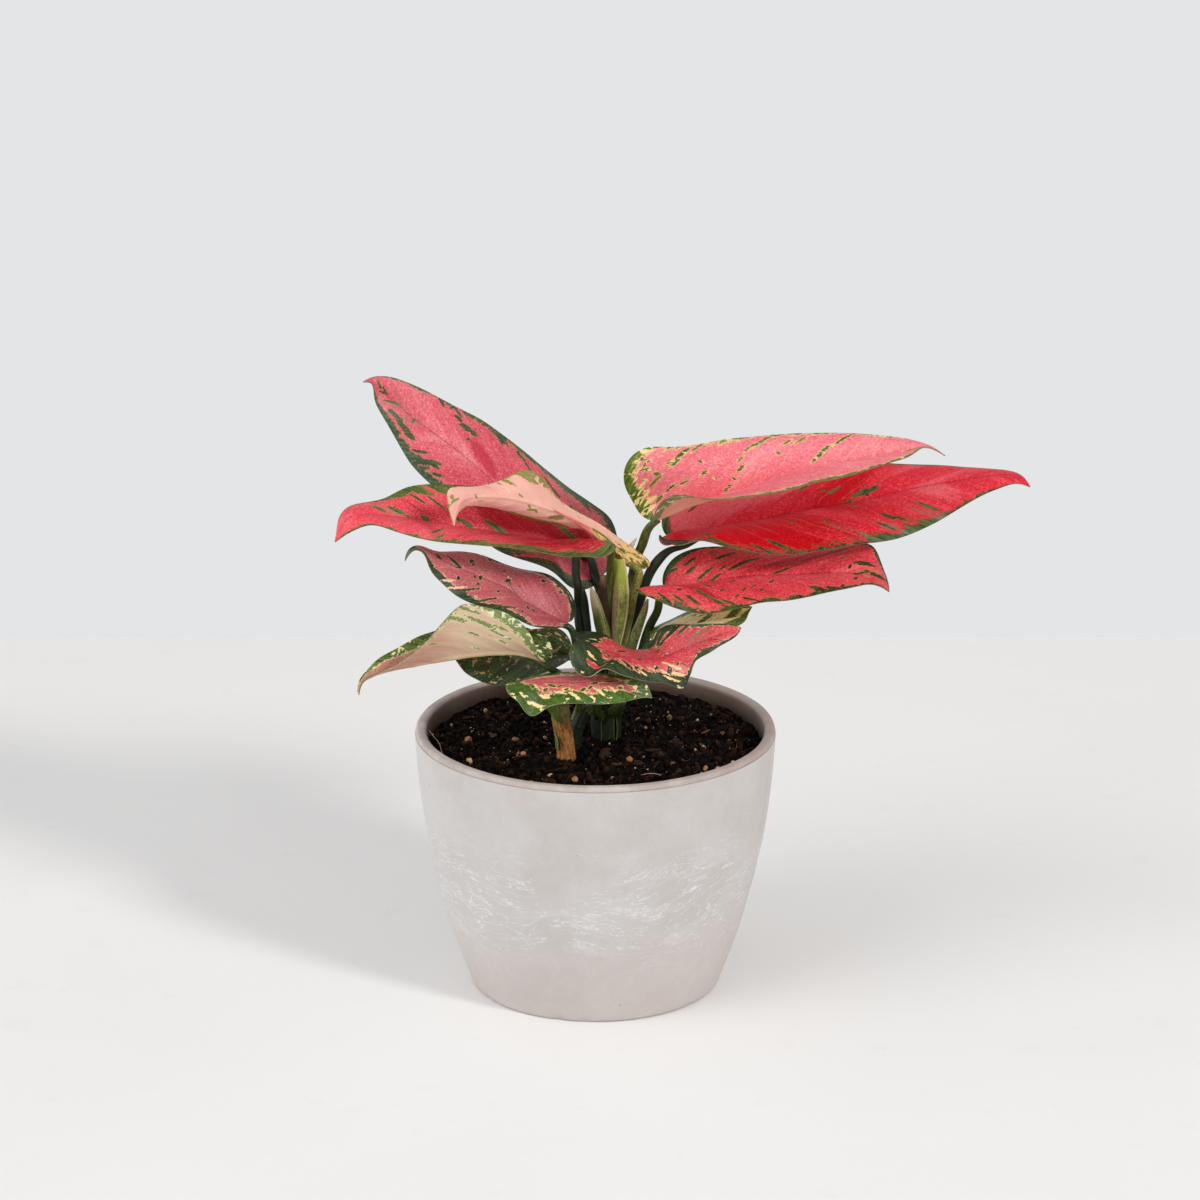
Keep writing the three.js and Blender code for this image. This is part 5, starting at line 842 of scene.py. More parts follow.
def make_blade(name, data, look, nu=230, nv=81):
    P, v = leaf_surface(data, nu, nv)
    N = grid_normals(P)
    for _ in range(3):
        N[1:-1, 1:-1] = normalise(N[1:-1, 1:-1] + 0.5 * (N[:-2, 1:-1] + N[2:, 1:-1] + N[1:-1, :-2] + N[1:-1, 2:]))
    mid = nv // 2
    along = np.concatenate([[0], np.cumsum(np.linalg.norm(np.diff(P[:, mid], axis=0), axis=1))])
    step = np.linalg.norm(np.diff(P, axis=1), axis=2)
    across = np.zeros((nu, nv))
    for j in range(mid - 1, -1, -1):
        across[:, j] = across[:, j + 1] + step[:, j]
    for j in range(mid + 1, nv):
        across[:, j] = across[:, j - 1] - step[:, j - 1]
    A = np.abs(across)
    U = np.repeat(along[:, None], nv, axis=1)
    length = along[-1]
    u = U / length
    s = np.abs(v)[None, :] * np.ones((nu, 1))
    ends = np.clip(np.minimum(u / 0.06, (1 - u) / 0.10), 0, 1)
    # the midrib is a shallow groove above, the lateral veins faint furrows, the rest swells between
    lateral = U - 1.7 * A - 0.008 * A * A
    gap = look.get("vein_gap", 9.0)
    furrow = np.cos(2 * math.pi * lateral / gap) * 0.5 + 0.5
    relief = 0.13 * (1 - furrow**2) * np.clip(A / 4, 0, 1) * (1 - s**3) * ends
    relief += -0.30 * np.exp(-((across / 0.7) ** 2)) * ends
    # slow waves towards the margin
    seed = sum(ord(c) for c in name)
    wave = vnoise(np.stack([U / 16.0 + seed, np.sign(across) * 3.0 + 0 * U, A * 0.02], -1), 1.0, 2)
    relief += 0.55 * wave * s**3 * ends * np.clip(A / 8, 0, 1)
    mmt = np.interp(s, [0, 0.12, 1], [0.30, 0.22, 0.17]) * np.where(ends < 1, 0.75 + 0.25 * ends, 1)
    rib = look.get("rib_height", 0.75) * np.exp(-((across / 1.1) ** 2)) * np.clip((1 - u) * 1.3, 0, 1)
    top = P + N * (relief + mmt)[..., None]
    bottom = P + N * (relief - mmt)[..., None] - N * (rib + 0.10 * furrow**6 * (1 - s) * ends)[..., None]
    # one closed ring of vertices per station: top, right rim, bottom, left rim
    outL = normalise(P[:, 0] - P[:, 1]) * 0.10
    outR = normalise(P[:, -1] - P[:, -2]) * 0.10
    rimL = (top[:, 0] + bottom[:, 0]) / 2 + outL
    rimR = (top[:, -1] + bottom[:, -1]) / 2 + outR
    ring = np.concatenate([top, rimR[:, None], bottom[:, ::-1], rimL[:, None]], axis=1)
    nr = ring.shape[1]
    verts = ring.reshape(-1, 3)
    faces, side = [], []
    for i in range(nu - 1):
        for j in range(nr):
            k = (j + 1) % nr
            faces.append((i * nr + j, i * nr + k, (i + 1) * nr + k, (i + 1) * nr + j))
            side.append(0.0 if j < nv - 1 else (0.5 if j < nv + 1 else (1.0 if j < 2 * nv else 0.5)))
    faces.append(tuple(range(nr))[::-1])
    faces.append(tuple((nu - 1) * nr + j for j in range(nr)))
    side += [0.5, 0.5]
    # outward faces
    a, b, c = verts[faces[10][0]], verts[faces[10][1]], verts[faces[10][2]]
    if np.dot(np.cross(b - a, c - a), N[0, min(10, nv - 1)]) < 0:
        faces = [f[::-1] for f in faces]

    def column(top_value, left, right):
        return np.concatenate([top_value, right[:, None], top_value[:, ::-1], left[:, None]], axis=1)

    pos = np.stack([
        column(U, U[:, 0], U[:, -1]),
        column(across, across[:, 0], across[:, -1]),
        column(s, s[:, 0], s[:, -1]),
    ], -1)
    ml = smooth_lookup(look["margin_l"], u)
    mr = smooth_lookup(look["margin_r"], u)
    m = np.where(v[None, :] > 0, ml, mr)
    G = 0.5 + (s - (1 - m)) / 0.5
    tone = smooth_lookup(look["tone"], u)
    cream, sheen_haze, olive, marked = np.zeros_like(u), np.zeros_like(u), np.zeros_like(u), np.zeros_like(u)
    for kind, mu, mv, ln, wd, amp in MARKS.get(name, ()):
        # each mark lies along a side vein, which leans towards the tip
        i = int(round(mu * (nu - 1)))
        i = int(np.argmin(np.abs(along / length - mu)))
        j = int(np.argmin(np.abs(v - mv)))
        dl, da, du = lateral - lateral[i, j], across - across[i, j], U - U[i, j]
        here = np.exp(-((dl / (1.5 * wd)) ** 2) - ((da / (0.40 * ln)) ** 2))
        if kind == "g":
            e = np.sqrt((dl / (1.15 * wd)) ** 2 + (da / (0.30 * ln)) ** 2)
        elif kind == "k":
            e = np.sqrt((du / (0.60 * wd)) ** 2 + (da / (0.60 * ln)) ** 2)
        else:
            e = np.sqrt((du / (0.55 * ln)) ** 2 + (da / (0.60 * wd)) ** 2)
        if kind in "gke":
            marked = np.maximum(marked, np.clip(1.6 - 1.1 * e, 0, 1) * (0.62 + 0.38 * amp))
        elif kind == "p":
            G = G + amp * here
        elif kind == "c":
            cream = np.maximum(cream, amp * here)
        # h marks are painted sheen
        elif kind == "h":
            sheen_haze = np.maximum(sheen_haze, amp * here)
        elif kind == "o":
            olive = np.maximum(olive, amp * here)
        else:
            tone = tone + (1.3 if kind == "l" else -1.3) * amp * here
    G = np.clip(G, -1.5, 1.5)

    def paint_of(*layers):
        return np.stack([column(w, w[:, 0], w[:, -1]) for w in layers], -1)

    paint = paint_of(G, tone, u)
    more = paint_of(cream, sheen_haze, olive)
    spots = paint_of(marked, marked * 0, marked * 0)
    ob = new_mesh("leaf_" + name + "_blade", verts, faces)
    me = ob.data
    add_attribute(me, "leafpos", "FLOAT_VECTOR", "POINT", pos.reshape(-1, 3))
    add_attribute(me, "leafpaint", "FLOAT_VECTOR", "POINT", paint.reshape(-1, 3))
    add_attribute(me, "leafmore", "FLOAT_VECTOR", "POINT", more.reshape(-1, 3))
    add_attribute(me, "leafmark", "FLOAT_VECTOR", "POINT", spots.reshape(-1, 3))
    add_attribute(me, "leafside", "FLOAT", "FACE", side)
    # a crisp line where the blade turns over into its rim
    sharp = np.zeros(len(me.edges), bool)
    ev = np.zeros(len(me.edges) * 2, int)
    me.edges.foreach_get("vertices", ev)
    ev = ev.reshape(-1, 2) % nr
    same = ev[:, 0] == ev[:, 1]
    for col in (0, nv - 1, nv + 1, 2 * nv):
        sharp |= same & (ev[:, 0] == col)
    add_attribute(me, "sharp_edge_mask", "FLOAT", "EDGE", sharp.astype(float))
    me.attributes.remove(me.attributes["sharp_edge_mask"])
    if "sharp_edge" not in me.attributes:
        me.attributes.new("sharp_edge", "BOOLEAN", "EDGE")
    me.attributes["sharp_edge"].data.foreach_set("value", sharp.tolist())
    me.materials.append(blade_material(name, look, seed))
    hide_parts("leaf_" + name)
    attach(ob, "root")
    return ob


def blade_material(name, look, seed):
    q = Nodes("leaf_" + name)
    U, V, S = q.split(q.attr("leafpos"))
    G, T, UU = q.split(q.attr("leafpaint"))
    C, H, O = q.split(q.attr("leafmore"))
    M, _m1, _m2 = q.split(q.attr("leafmark"))
    side = q.attr("leafside", "Fac")
    A = q.m("ABSOLUTE", V)
    # lateral: constant along one side vein, which leaves the midrib and leans towards the tip
    lateral = q.m("SUBTRACT", q.m("SUBTRACT", U, q.m("MULTIPLY", A, 1.7)), q.m("MULTIPLY", q.m("MULTIPLY", A, A), 0.008))
    off = (seed % 97) * 3.7
    flow = q.join(lateral, q.m("MULTIPLY", V, 0.30), off)
    flat = q.join(U, V, off)
    large = q.noise(q.join(lateral, q.m("MULTIPLY", V, 0.5), off + 3.0), 0.13, 2.0, 0.5)
    streak = q.noise(flow, 0.42, 3.0, 0.6, 0.5)
    jag = q.noise(flat, 0.95, 3.0, 0.62)

    def around(x, k):
        return q.m("MULTIPLY", q.m("SUBTRACT", x, 0.5), k)

    g = q.m("ADD", G, around(large, look.get("blotch", 0.75)))
    jag3 = q.noise(flat, 2.3, 2.0, 0.65)
    g = q.m("ADD", g, around(streak, look.get("streak", 0.45)))
    g = q.m("ADD", g, around(jag, 0.62))
    g = q.m("ADD", g, around(jag3, 0.22))
    # the single marks, nibbled at their edges
    ragged = q.m("ADD", around(jag, 1.25), around(jag3, 0.75))
    mk = q.m("ADD", M, q.m("MULTIPLY", ragged, q.step(M, 0.0, 0.35)))
    # flecks: short dashes along the side veins, thicker towards the margin
    f = q.noise(q.join(lateral, q.m("MULTIPLY", V, 0.55), off + 31.0), 0.55, 2.0, 0.55, 0.6)
    patch = q.noise(flat, 0.09, 1.0, 0.5)
    f = q.m("ADD", f, around(patch, 0.6))
    f = q.m("ADD", f, q.m("MULTIPLY", S, 0.06))
    f = q.m("ADD", f, around(jag, 0.16))
    lim = 0.86 - 0.20 * look["fleck"]
    hc, hw, hs = look["halo"]
    green = q.m("MAXIMUM", q.step(g, 0.495, 0.545), q.step(f, lim, lim + 0.018))
    green = q.m("MAXIMUM", green, q.step(mk, 0.50, 0.58))
    halo = q.m("MAXIMUM", q.step(g, 0.495 - hw * 1.6 - 0.02, 0.495 - hw * 0.5), q.step(f, lim - 0.012 - hw * 0.35, lim - 0.004))
    halo = q.m("MAXIMUM", halo, q.step(mk, 0.47 - hw * 3.0, 0.50 - hw * 0.8))
    broken = q.noise(flat, 0.35, 2.0, 0.6)
    halo = q.m("MULTIPLY", halo, q.step(broken, 0.38, 0.52, 0.25, 1.0))
    halo = q.m("MULTIPLY", halo, hs)
    # the coloured field, mottled along the side veins
    big = q.noise(q.join(lateral, q.m("MULTIPLY", V, 0.6), off + 9.0), 0.075, 3.0, 0.6)
    fine = q.noise(flow, 1.3, 4.0, 0.65)
    tone = q.m("ADD", q.m("ADD", T, around(big, 2.2)), around(fine, 1.5))
    tone = q.m("ADD", tone, around(streak, 0.9))
    field = q.mix(q.step(tone, -1.0, 0.0), lin(*look["deep"]), lin(*look["pink"]))
    field = q.mix(q.step(tone, 0.0, 1.1), field, lin(*look["light"]))
    # side veins, a fine pale broken line each, and a dark line along one side of the midrib, painted shade in its
    # groove
    gap = look.get("vein_gap", 9.0)
    warp = q.m("ADD", lateral, around(q.noise(flat, 0.07, 1.0, 0.5), 7.0))
    ph = q.m("ABSOLUTE", q.m("SUBTRACT", q.m("FRACT", q.m("DIVIDE", warp, gap)), 0.5))
    vein = q.m("MULTIPLY", q.step(ph, 0.470, 0.495), q.step(A, 0.4, 2.0))
    vein = q.m("MULTIPLY", vein, q.m("SUBTRACT", 1.0, q.step(S, 0.6, 0.92)))
    vein = q.m("MULTIPLY", vein, q.step(q.noise(flat, 0.12, 2.0, 0.6), 0.40, 0.62, 0.12, 1.0))
    vein = q.m("MULTIPLY", vein, look["veins"])
    field = q.mix(q.m("MULTIPLY", vein, 0.75), field, lin(*look.get("vein_colour", (238, 150, 146))))
    # painted shade: a thin dark line just beside the midrib
    midrib_shade = q.m("MULTIPLY", q.step(q.m("ABSOLUTE", q.m("SUBTRACT", V, 0.25)), 0.5, 0.1), q.step(UU, 1.0, 0.8))
    field = q.mix(q.m("MULTIPLY", midrib_shade, look.get("midrib_shade", 0.5)), field, lin(*[c * 0.62 for c in look["deep"]]))
    # fine cells: paler and deeper specks over the whole field, in two sizes
    sand = look.get("sand", 1.0)
    grain = q.noise(flat, 1.15, 3.0, 0.72)
    finer = q.noise(q.join(V, U, off), 2.1, 2.0, 0.7)
    calm = q.step(tone, -1.4, -0.3, 0.25, 1.0)
    field = q.mix(q.m("MULTIPLY", calm, q.step(grain, 0.52, 0.70, 0.0, 0.50 * sand)), field, lin(*[min(255, c + 34) for c in look["light"]]))
    field = q.mix(q.step(grain, 0.48, 0.31, 0.0, 0.62), field, lin(*[c * 0.86 for c in look["deep"]]))
    field = q.mix(q.m("MULTIPLY", calm, q.step(finer, 0.55, 0.72, 0.0, 0.42 * sand)), field, lin(*[min(255, c + 40) for c in look["light"]]))
    field = q.mix(q.step(finer, 0.45, 0.28, 0.0, 0.5), field, lin(*[c * 0.86 for c in look["deep"]]))
    # painted sheen: a grey wash over the field and the greens where the h marks lie
    painted_sheen = q.m("MULTIPLY", H, q.step(q.m("ADD", streak, around(jag, 0.8)), 0.42, 0.58, 0.0, 1.0))
    field = q.mix(q.m("MULTIPLY", q.m("MINIMUM", painted_sheen, 1.0), 0.7), field, lin(132, 106, 92))
    dim = q.m("MULTIPLY", O, q.step(q.m("ADD", streak, around(jag, 0.5)), 0.42, 0.56))
    field = q.mix(q.m("MULTIPLY", dim, 0.9), field, lin(*look.get("olive", (112, 96, 40))))
    greens = q.mix(q.step(q.m("ADD", q.noise(flow, 0.6, 3.0, 0.6), around(large, 0.6)), 0.40, 0.68), lin(*look["green"]), lin(*look["green2"]))
    greens = q.mix(q.m("MULTIPLY", painted_sheen, 0.5), greens, lin(142, 152, 132))
    greens = q.mix(q.step(grain, 0.52, 0.68, 0.0, 0.65), greens, lin(*[min(255, c * 1.25 + 8) for c in look["green2"]]))
    greens = q.mix(q.step(finer, 0.45, 0.30, 0.0, 0.6), greens, lin(*[c * 0.7 for c in look["green"]]))
    spots = q.noise(q.join(U, q.m("MULTIPLY", V, 0.8), off + 50.0), 0.36, 2.0, 0.5, 0.6)
    mottle = look.get("mottle", 0.0)
    if mottle > 0:
        ms = q.m("MULTIPLY", q.step(q.m("ADD", spots, around(jag, 0.2)), 0.68 - 0.16 * mottle, 0.71 - 0.16 * mottle), green)
    else:
        ms = q.m("MULTIPLY", spots, 0.0)
    creamy = q.m("MAXIMUM", ms, q.step(q.m("ADD", C, around(jag, 1.1)), 0.42, 0.52))
    cream = q.mix(q.step(jag, 0.35, 0.65), lin(*hc), lin(*[min(255, c + 14) for c in hc]))
    upper = q.mix(halo, field, cream)
    upper = q.mix(green, upper, greens)
    upper = q.mix(creamy, upper, cream)
    # underside
    ua = lin(*look.get("under", (206, 134, 122)))
    ub = lin(*look.get("under2", (220, 166, 144)))
    ug = lin(*look.get("under_green", (92, 106, 60)))
    uh = lin(*look.get("under_green2", (140, 148, 92)))
    low = q.m("ADD", q.m("MULTIPLY", T, 0.35), q.m("ADD", big, around(fine, 0.5)))
    lower = q.mix(q.step(low, 0.25, 0.8), ua, ub)
    lower = q.mix(q.m("MULTIPLY", halo, 0.55), lower, lin(226, 214, 160))
    lower = q.mix(q.m("MULTIPLY", green, 0.92), lower, q.mix(q.step(fine, 0.35, 0.7), ug, uh))
    lower = q.mix(q.m("MULTIPLY", creamy, 0.9), lower, lin(232, 228, 192))
    rib = q.m("MULTIPLY", q.step(A, 0.8, 0.3), q.step(UU, 1.0, 0.75))
    lower = q.mix(q.m("MULTIPLY", rib, look.get("rib", 0.7)), lower, lin(176, 172, 84))
    lower = q.mix(q.m("MULTIPLY", vein, 0.3), lower, lin(232, 200, 180))
    colour = q.mix(q.step(side, 0.6, 0.9), upper, lower)
    if "base" in look:
        # the foot of the blade, rolled into a mottled cone
        ca, cb, u0, u1 = look["base"]
        zone = q.step(q.m("ADD", UU, around(streak, 0.10)), u1, u0)
        mot = q.m("ADD", q.noise(q.join(q.m("MULTIPLY", U, 0.6), V, off + 70.0), 0.42, 3.0, 0.6, 0.8), around(jag, 0.25))
        colour = q.mix(zone, colour, q.mix(q.step(mot, 0.50, 0.56), lin(*ca), lin(*cb)))
    # the thin rim faces take the edge colours: partly the margin's own pale edge, partly a painted highlight where it
    # catches light from the side, as on back_left's bright right rim
    plain = look.get("edge", (96, 94, 54))
    rim_l, rim_r = lin(*look.get("edge_l", plain)), lin(*look.get("edge_r", plain))
    rimmed = q.mix(q.step(V, -0.1, 0.1), rim_r, rim_l)
    rimmed = q.mix(q.step(streak, 0.42, 0.58, 0.0, 0.5), rimmed, lin(150, 128, 84))
    is_rim = q.m("MULTIPLY", q.step(side, 0.2, 0.3), q.step(side, 0.8, 0.7))
    colour = q.mix(is_rim, colour, rimmed)
    # satin, a little rougher underneath, with fine cells and side veins in the bump
    rough = q.m("ADD", 0.42, around(q.noise(flat, 0.35, 2.0, 0.5), 0.16))
    rough = q.m("ADD", rough, q.m("MULTIPLY", q.step(side, 0.6, 0.9), 0.12))
    h = q.m("ADD", q.m("MULTIPLY", q.noise(flat, 2.2, 2.0, 0.6), 0.35), q.m("MULTIPLY", fine, 0.7))
    h = q.m("ADD", h, q.m("MULTIPLY", vein, 0.25))
    normal = q.bump(h, 0.6, 0.0002)
    if look.get("glow"):
        # light comes through the thin blade
        q.bsdf.inputs["Subsurface Weight"].default_value = look["glow"]
        q.bsdf.inputs["Subsurface Radius"].default_value = (1.0, 0.9, 0.5)
        q.bsdf.inputs["Subsurface Scale"].default_value = 0.002
    return q.finish(colour, rough, normal, spec=look.get("spec", 0.32))


for key, data in BLADES.items():
    if key == "young_curled":
        data["soft"] = 10
    make_blade(key, data, LOOKS[key])


# ------------------------------------------------------------------------------------------------
# Petioles, sheaths and stems
# ------------------------------------------------------------------------------------------------
def sweep(name, pts, section, up, nu=60, na=28, flat_end=True):
    """A closed tube along pts (x, y, z, radius).  section(t, a, r) gives the distance from the axis
    across and outward for the angle a, measured from the side that faces up at the start."""
    pts = np.array(pts, float)
    d = np.concatenate([[0], np.cumsum(np.linalg.norm(np.diff(pts[:, :3], axis=0), axis=1))])
    x = np.linspace(0, d[-1], nu)
    C = spline(d, pts, x)
    axis, rad = C[:, :3], np.maximum(C[:, 3], 0.12)
    T = normalise(np.gradient(axis, axis=0))
    up = np.array(up, float)
    B = np.zeros((nu, 3))
    b = normalise(up - T[0] * np.dot(up, T[0]))
    for i in range(nu):
        b = normalise(b - T[i] * np.dot(b, T[i]))
        B[i] = b
    S = normalise(np.cross(T, B))
    a = np.linspace(0, 2 * math.pi, na, endpoint=False)
    verts = np.zeros((nu, na, 3))
    tt = x / d[-1]
    for i in range(nu):
        across, outward = section(tt[i], a, rad[i])
        verts[i] = axis[i] + S[i] * across[:, None] + B[i] * outward[:, None]
    flatv = verts.reshape(-1, 3)
    faces = []
    for i in range(nu - 1):
        for j in range(na):
            k = (j + 1) % na
            faces.append((i * na + j, i * na + k, (i + 1) * na + k, (i + 1) * na + j))
    c0, c1 = len(flatv), len(flatv) + 1
    for j in range(na):
        k = (j + 1) % na
        faces.append((k, j, c0))
        faces.append(((nu - 1) * na + j, (nu - 1) * na + k, c1))
    flatv = np.vstack([flatv, verts[0].mean(0), verts[-1].mean(0)])
    # faces out
    f = faces[na * (nu // 2)]
    nrm = np.cross(flatv[f[1]] - flatv[f[0]], flatv[f[2]] - flatv[f[0]])
    if np.dot(nrm, flatv[f[0]] - axis[nu // 2]) < 0:
        faces = [g[::-1] for g in faces]
    ob = new_mesh(name, flatv, faces)
    pos = np.zeros((nu, na, 3))
    pos[..., 0] = x[:, None]
    aa = np.where(a > math.pi, a - 2 * math.pi, a)
    pos[..., 1] = aa[None, :]
    pos[..., 2] = tt[:, None]
    pos = np.vstack([pos.reshape(-1, 3), [[0, 0, 0]], [[x[-1], 0, 1]]])
    add_attribute(ob.data, "stalkpos", "FLOAT_VECTOR", "POINT", pos)
    return ob


def petiole_section(seed, wing_from, wing):
    """Rounded below, grooved above, with thin sheath wings on both sides of the groove lower down."""

    def section(t, a, r):
        aa = np.where(a > math.pi, a - 2 * math.pi, a)
        w = wing * np.clip((t - wing_from) / max(1e-3, 1 - wing_from), 0, 1) ** 0.8 if wing_from < 1 else 0.0
        k = 1.0 - (0.24 + 0.25 * (w > 0) * min(1.0, w * 2)) * np.exp(-((aa / 0.42) ** 2))
        k = k + w * np.exp(-(((np.abs(aa) - 0.86) / 0.20) ** 2))
        k = k * (1 + 0.02 * np.cos(7 * aa + seed) + 0.012 * np.cos(13 * aa + 2 * seed))
        return r * k * np.sin(a) * 1.0, r * k * np.cos(a) * 0.94

    return section


def stalk_material(name, dark, mid, pale, edge, pale_low=0.35, mottle=0.5, rough=0.40, seed=0.0):
    q = Nodes(name)
    X, A, T = q.split(q.attr("stalkpos"))
    along = q.join(q.m("MULTIPLY", X, 0.22), q.m("MULTIPLY", q.m("SINE", A), 1.4), q.m("ADD", q.m("MULTIPLY", q.m("COSINE", A), 1.4), seed))
    fine = q.join(q.m("MULTIPLY", X, 0.8), q.m("MULTIPLY", q.m("SINE", A), 2.6), q.m("ADD", q.m("MULTIPLY", q.m("COSINE", A), 2.6), seed + 9))
    n1 = q.noise(along, 1.0, 3.0, 0.6)
    n2 = q.noise(fine, 1.6, 3.0, 0.65)
    spots = q.voronoi(fine, 2.2, out="Distance")
    col = q.mix(q.step(n1, 0.38, 0.66), lin(*dark), lin(*mid))
    col = q.mix(q.m("MULTIPLY", q.step(n2, 0.50, 0.62), mottle), col, lin(*pale))
    col = q.mix(q.m("MULTIPLY", q.step(spots, 0.22, 0.12, 0.0, 1.0), mottle * 0.7), col, lin(*pale))
    low = q.step(T, 0.35, 1.0, 0.0, pale_low)
    col = q.mix(q.m("MULTIPLY", low, q.step(n2, 0.3, 0.6, 0.4, 1.0)), col, lin(*pale))
    wing = q.m("MULTIPLY", q.step(q.m("ABSOLUTE", q.m("SUBTRACT", q.m("ABSOLUTE", A), 0.86)), 0.16, 0.06, 0.0, 1.0), q.step(T, 0.35, 0.6))
    col = q.mix(q.m("MULTIPLY", wing, 0.8), col, lin(*edge))
    ribs = q.noise(q.join(q.m("MULTIPLY", X, 0.05), q.m("MULTIPLY", q.m("SINE", A), 4.0), q.m("MULTIPLY", q.m("COSINE", A), 4.0)), 2.0, 2.0, 0.6)
    r = q.m("ADD", rough, q.m("MULTIPLY", q.m("SUBTRACT", n2, 0.5), 0.25))
    normal = q.bump(q.m("ADD", ribs, q.m("MULTIPLY", n2, 0.25)), 0.45, 0.0002)
    return q.finish(col, r, normal, spec=0.4)


STALK_LOOKS = {
    # dark, mid, pale, edge, share of pale low down, mottling
    "back_left": ((14, 24, 8), (34, 48, 18), (78, 88, 40), (120, 116, 70), 0.15, 0.12),
    "left_middle": ((10, 18, 6), (22, 36, 12), (60, 74, 32), (90, 92, 50), 0.12, 0.10),
    "young_curled": ((88, 92, 30), (124, 124, 44), (196, 186, 104), (216, 206, 150), 0.35, 0.60),
    "left_lower": ((30, 44, 14), (50, 64, 24), (104, 112, 52), (150, 144, 92), 0.2, 0.2),
    "left_low_folded": ((40, 56, 16), (64, 80, 28), (124, 134, 62), (160, 156, 100), 0.3, 0.30),
    "left_under": ((34, 48, 16), (50, 66, 24), (104, 114, 54), (150, 146, 96), 0.3, 0.25),
    "front_small": ((60, 86, 26), (84, 112, 40), (138, 154, 74), (170, 174, 116), 0.3, 0.30),
    "front_wavy": ((28, 44, 14), (46, 64, 22), (104, 114, 52), (150, 146, 96), 0.3, 0.25),
    "right_under": ((40, 58, 16), (62, 82, 28), (118, 130, 60), (160, 156, 104), 0.3, 0.30),
    "right_lower": ((34, 50, 12), (60, 78, 24), (104, 116, 46), (150, 150, 92), 0.15, 0.25),
    "right_middle": ((12, 22, 6), (28, 42, 14), (74, 86, 36), (96, 100, 56), 0.10, 0.12),
    "right_upper": ((44, 56, 16), (78, 90, 32), (136, 138, 64), (180, 172, 110), 0.15, 0.35),
}
STOUT = {"right_upper": 1.14, "right_middle": 1.06, "right_lower": 1.22, "back_left": 1.08}
# how far up the blade's midrib the stalk shows, from and reach in mm
HEADS = {"back_left": (15.0, 12.0), "right_upper": (0.4, 3.6), "right_middle": (1.0, 12.0)}

for key, pts in PETIOLES.items():
    blade = BLADES[key]
    M = np.array(blade["midrib"], float)
    Lm, Rm = np.array(blade["left"], float), np.array(blade["right"], float)
    T = normalise(np.gradient(M, axis=0))
    N = normalise(np.cross(T, Lm - Rm))
    N[0] = N[1]
    d = np.concatenate([[0], np.cumsum(np.linalg.norm(np.diff(M, axis=0), axis=1))])
    total = d[-1]
    reach = min(0.22 * total, 24.0)
    k = STOUT.get(key, 1.0)
    body = [tuple(p[:3]) + (p[3] * k,) for p in pts]
    r0 = pts[0][3] * k
    head = []
    start, reach = HEADS.get(key, (1.0, reach))
    stations = ((1.0, 0.28, 0.55), (0.6, 0.42, 0.75), (0.3, 0.6, 0.95), (0.03, 0.85, 1.05))
    if key == "right_upper":
        stations = ((0.6, 0.75, 0.5),)
    if key == "right_middle":
        stations = ((1.0, 0.22, 0.5), (0.3, 0.32, 0.8))
        body[0] = body[0][:3] + (r0 * 0.50,)
        body[1] = body[1][:3] + (r0 * 0.78,)
    for f, rr, drop in stations:
        x = start + f * reach
        p = np.array([np.interp(x, d, M[:, k]) for k in range(3)])
        n = normalise(np.array([np.interp(x, d, N[:, k]) for k in range(3)]))
        head.append(tuple(p - n * (r0 * rr * drop + 0.15)) + (r0 * rr,))
    if key == "right_under":
        body[-1] = (body[-1][0] - 3.6, body[-1][1], body[-1][2] + 2.0, body[-1][3])
    # a foot that tucks the petiole into the crown
    a, b = np.array(body[-2][:3]), np.array(body[-1][:3])
    direction = normalise(b - a)
    goal = np.array([4.4, -1.5, b[2] - 9.0])
    if key in ("left_lower", "left_low_folded", "left_under"):
        goal = np.array([-9.6, -12.2, b[2] - 9.0])
    if key == "front_small":
        goal = np.array([-11.6, -20.6, b[2] - 8.0])
    r1 = body[-1][3]
    foot1 = b + direction * 3.0
    foot1 = foot1 * 0.6 + (goal + np.array([0, 0, 6.0])) * 0.4
    body.append(tuple(foot1) + (r1 * 1.05,))
    body.append(tuple(b * 0.25 + goal * 0.75) + (r1 * 0.9,))
    seed = (sum(ord(c) for c in key) % 31) * 0.7
    long_one = key in ("back_left", "left_middle", "young_curled", "right_lower", "right_middle", "right_upper", "left_lower")
    ob = sweep("petiole_" + key + "_stalk", head + body, petiole_section(seed, 0.45 if long_one else 0.55, 0.36 if long_one else 0.25), N[0], 90, 32)
    look = STALK_LOOKS[key]
    ob.data.materials.append(stalk_material("stalk_" + key, look[0], look[1], look[2], look[3], look[4], look[5], 0.40, seed))
    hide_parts("petiole_" + key)
    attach(ob, "root")


def shell_section(seed, depth, lean):
    """A half-open sheath: a shallow channel with thin edges, its hollow towards the plant."""

    def section(t, a, r):
        aa = np.where(a > math.pi, a - 2 * math.pi, a)
        across = r * np.sin(a)
        # outside of the channel is the side away from 'up'
        body = -np.cos(a)
        thick = 0.20 + 0.16 * np.abs(np.cos(a))
        curve = depth * r * (1 - (np.sin(a)) ** 2)
        outward = -curve + np.where(np.cos(a) > 0, 1, -1) * thick * 1.0 * np.abs(np.cos(a)) ** 0.5 * min(1.0, r / 1.2)
        across = across * (1 + 0.02 * math.sin(5 * t + seed))
        return across, outward + depth * r * 0.5

    return section


def sheath(key, pts, up, depth, look, seed, nu=70):
    ob = sweep("sheath_" + key + "_shell", pts, shell_section(seed, depth, 0.0), up, nu, 40)
    ob.data.materials.append(sheath_material("sheath_" + key, look, seed))
    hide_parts("sheath_" + key)
    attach(ob, "root")
    return ob


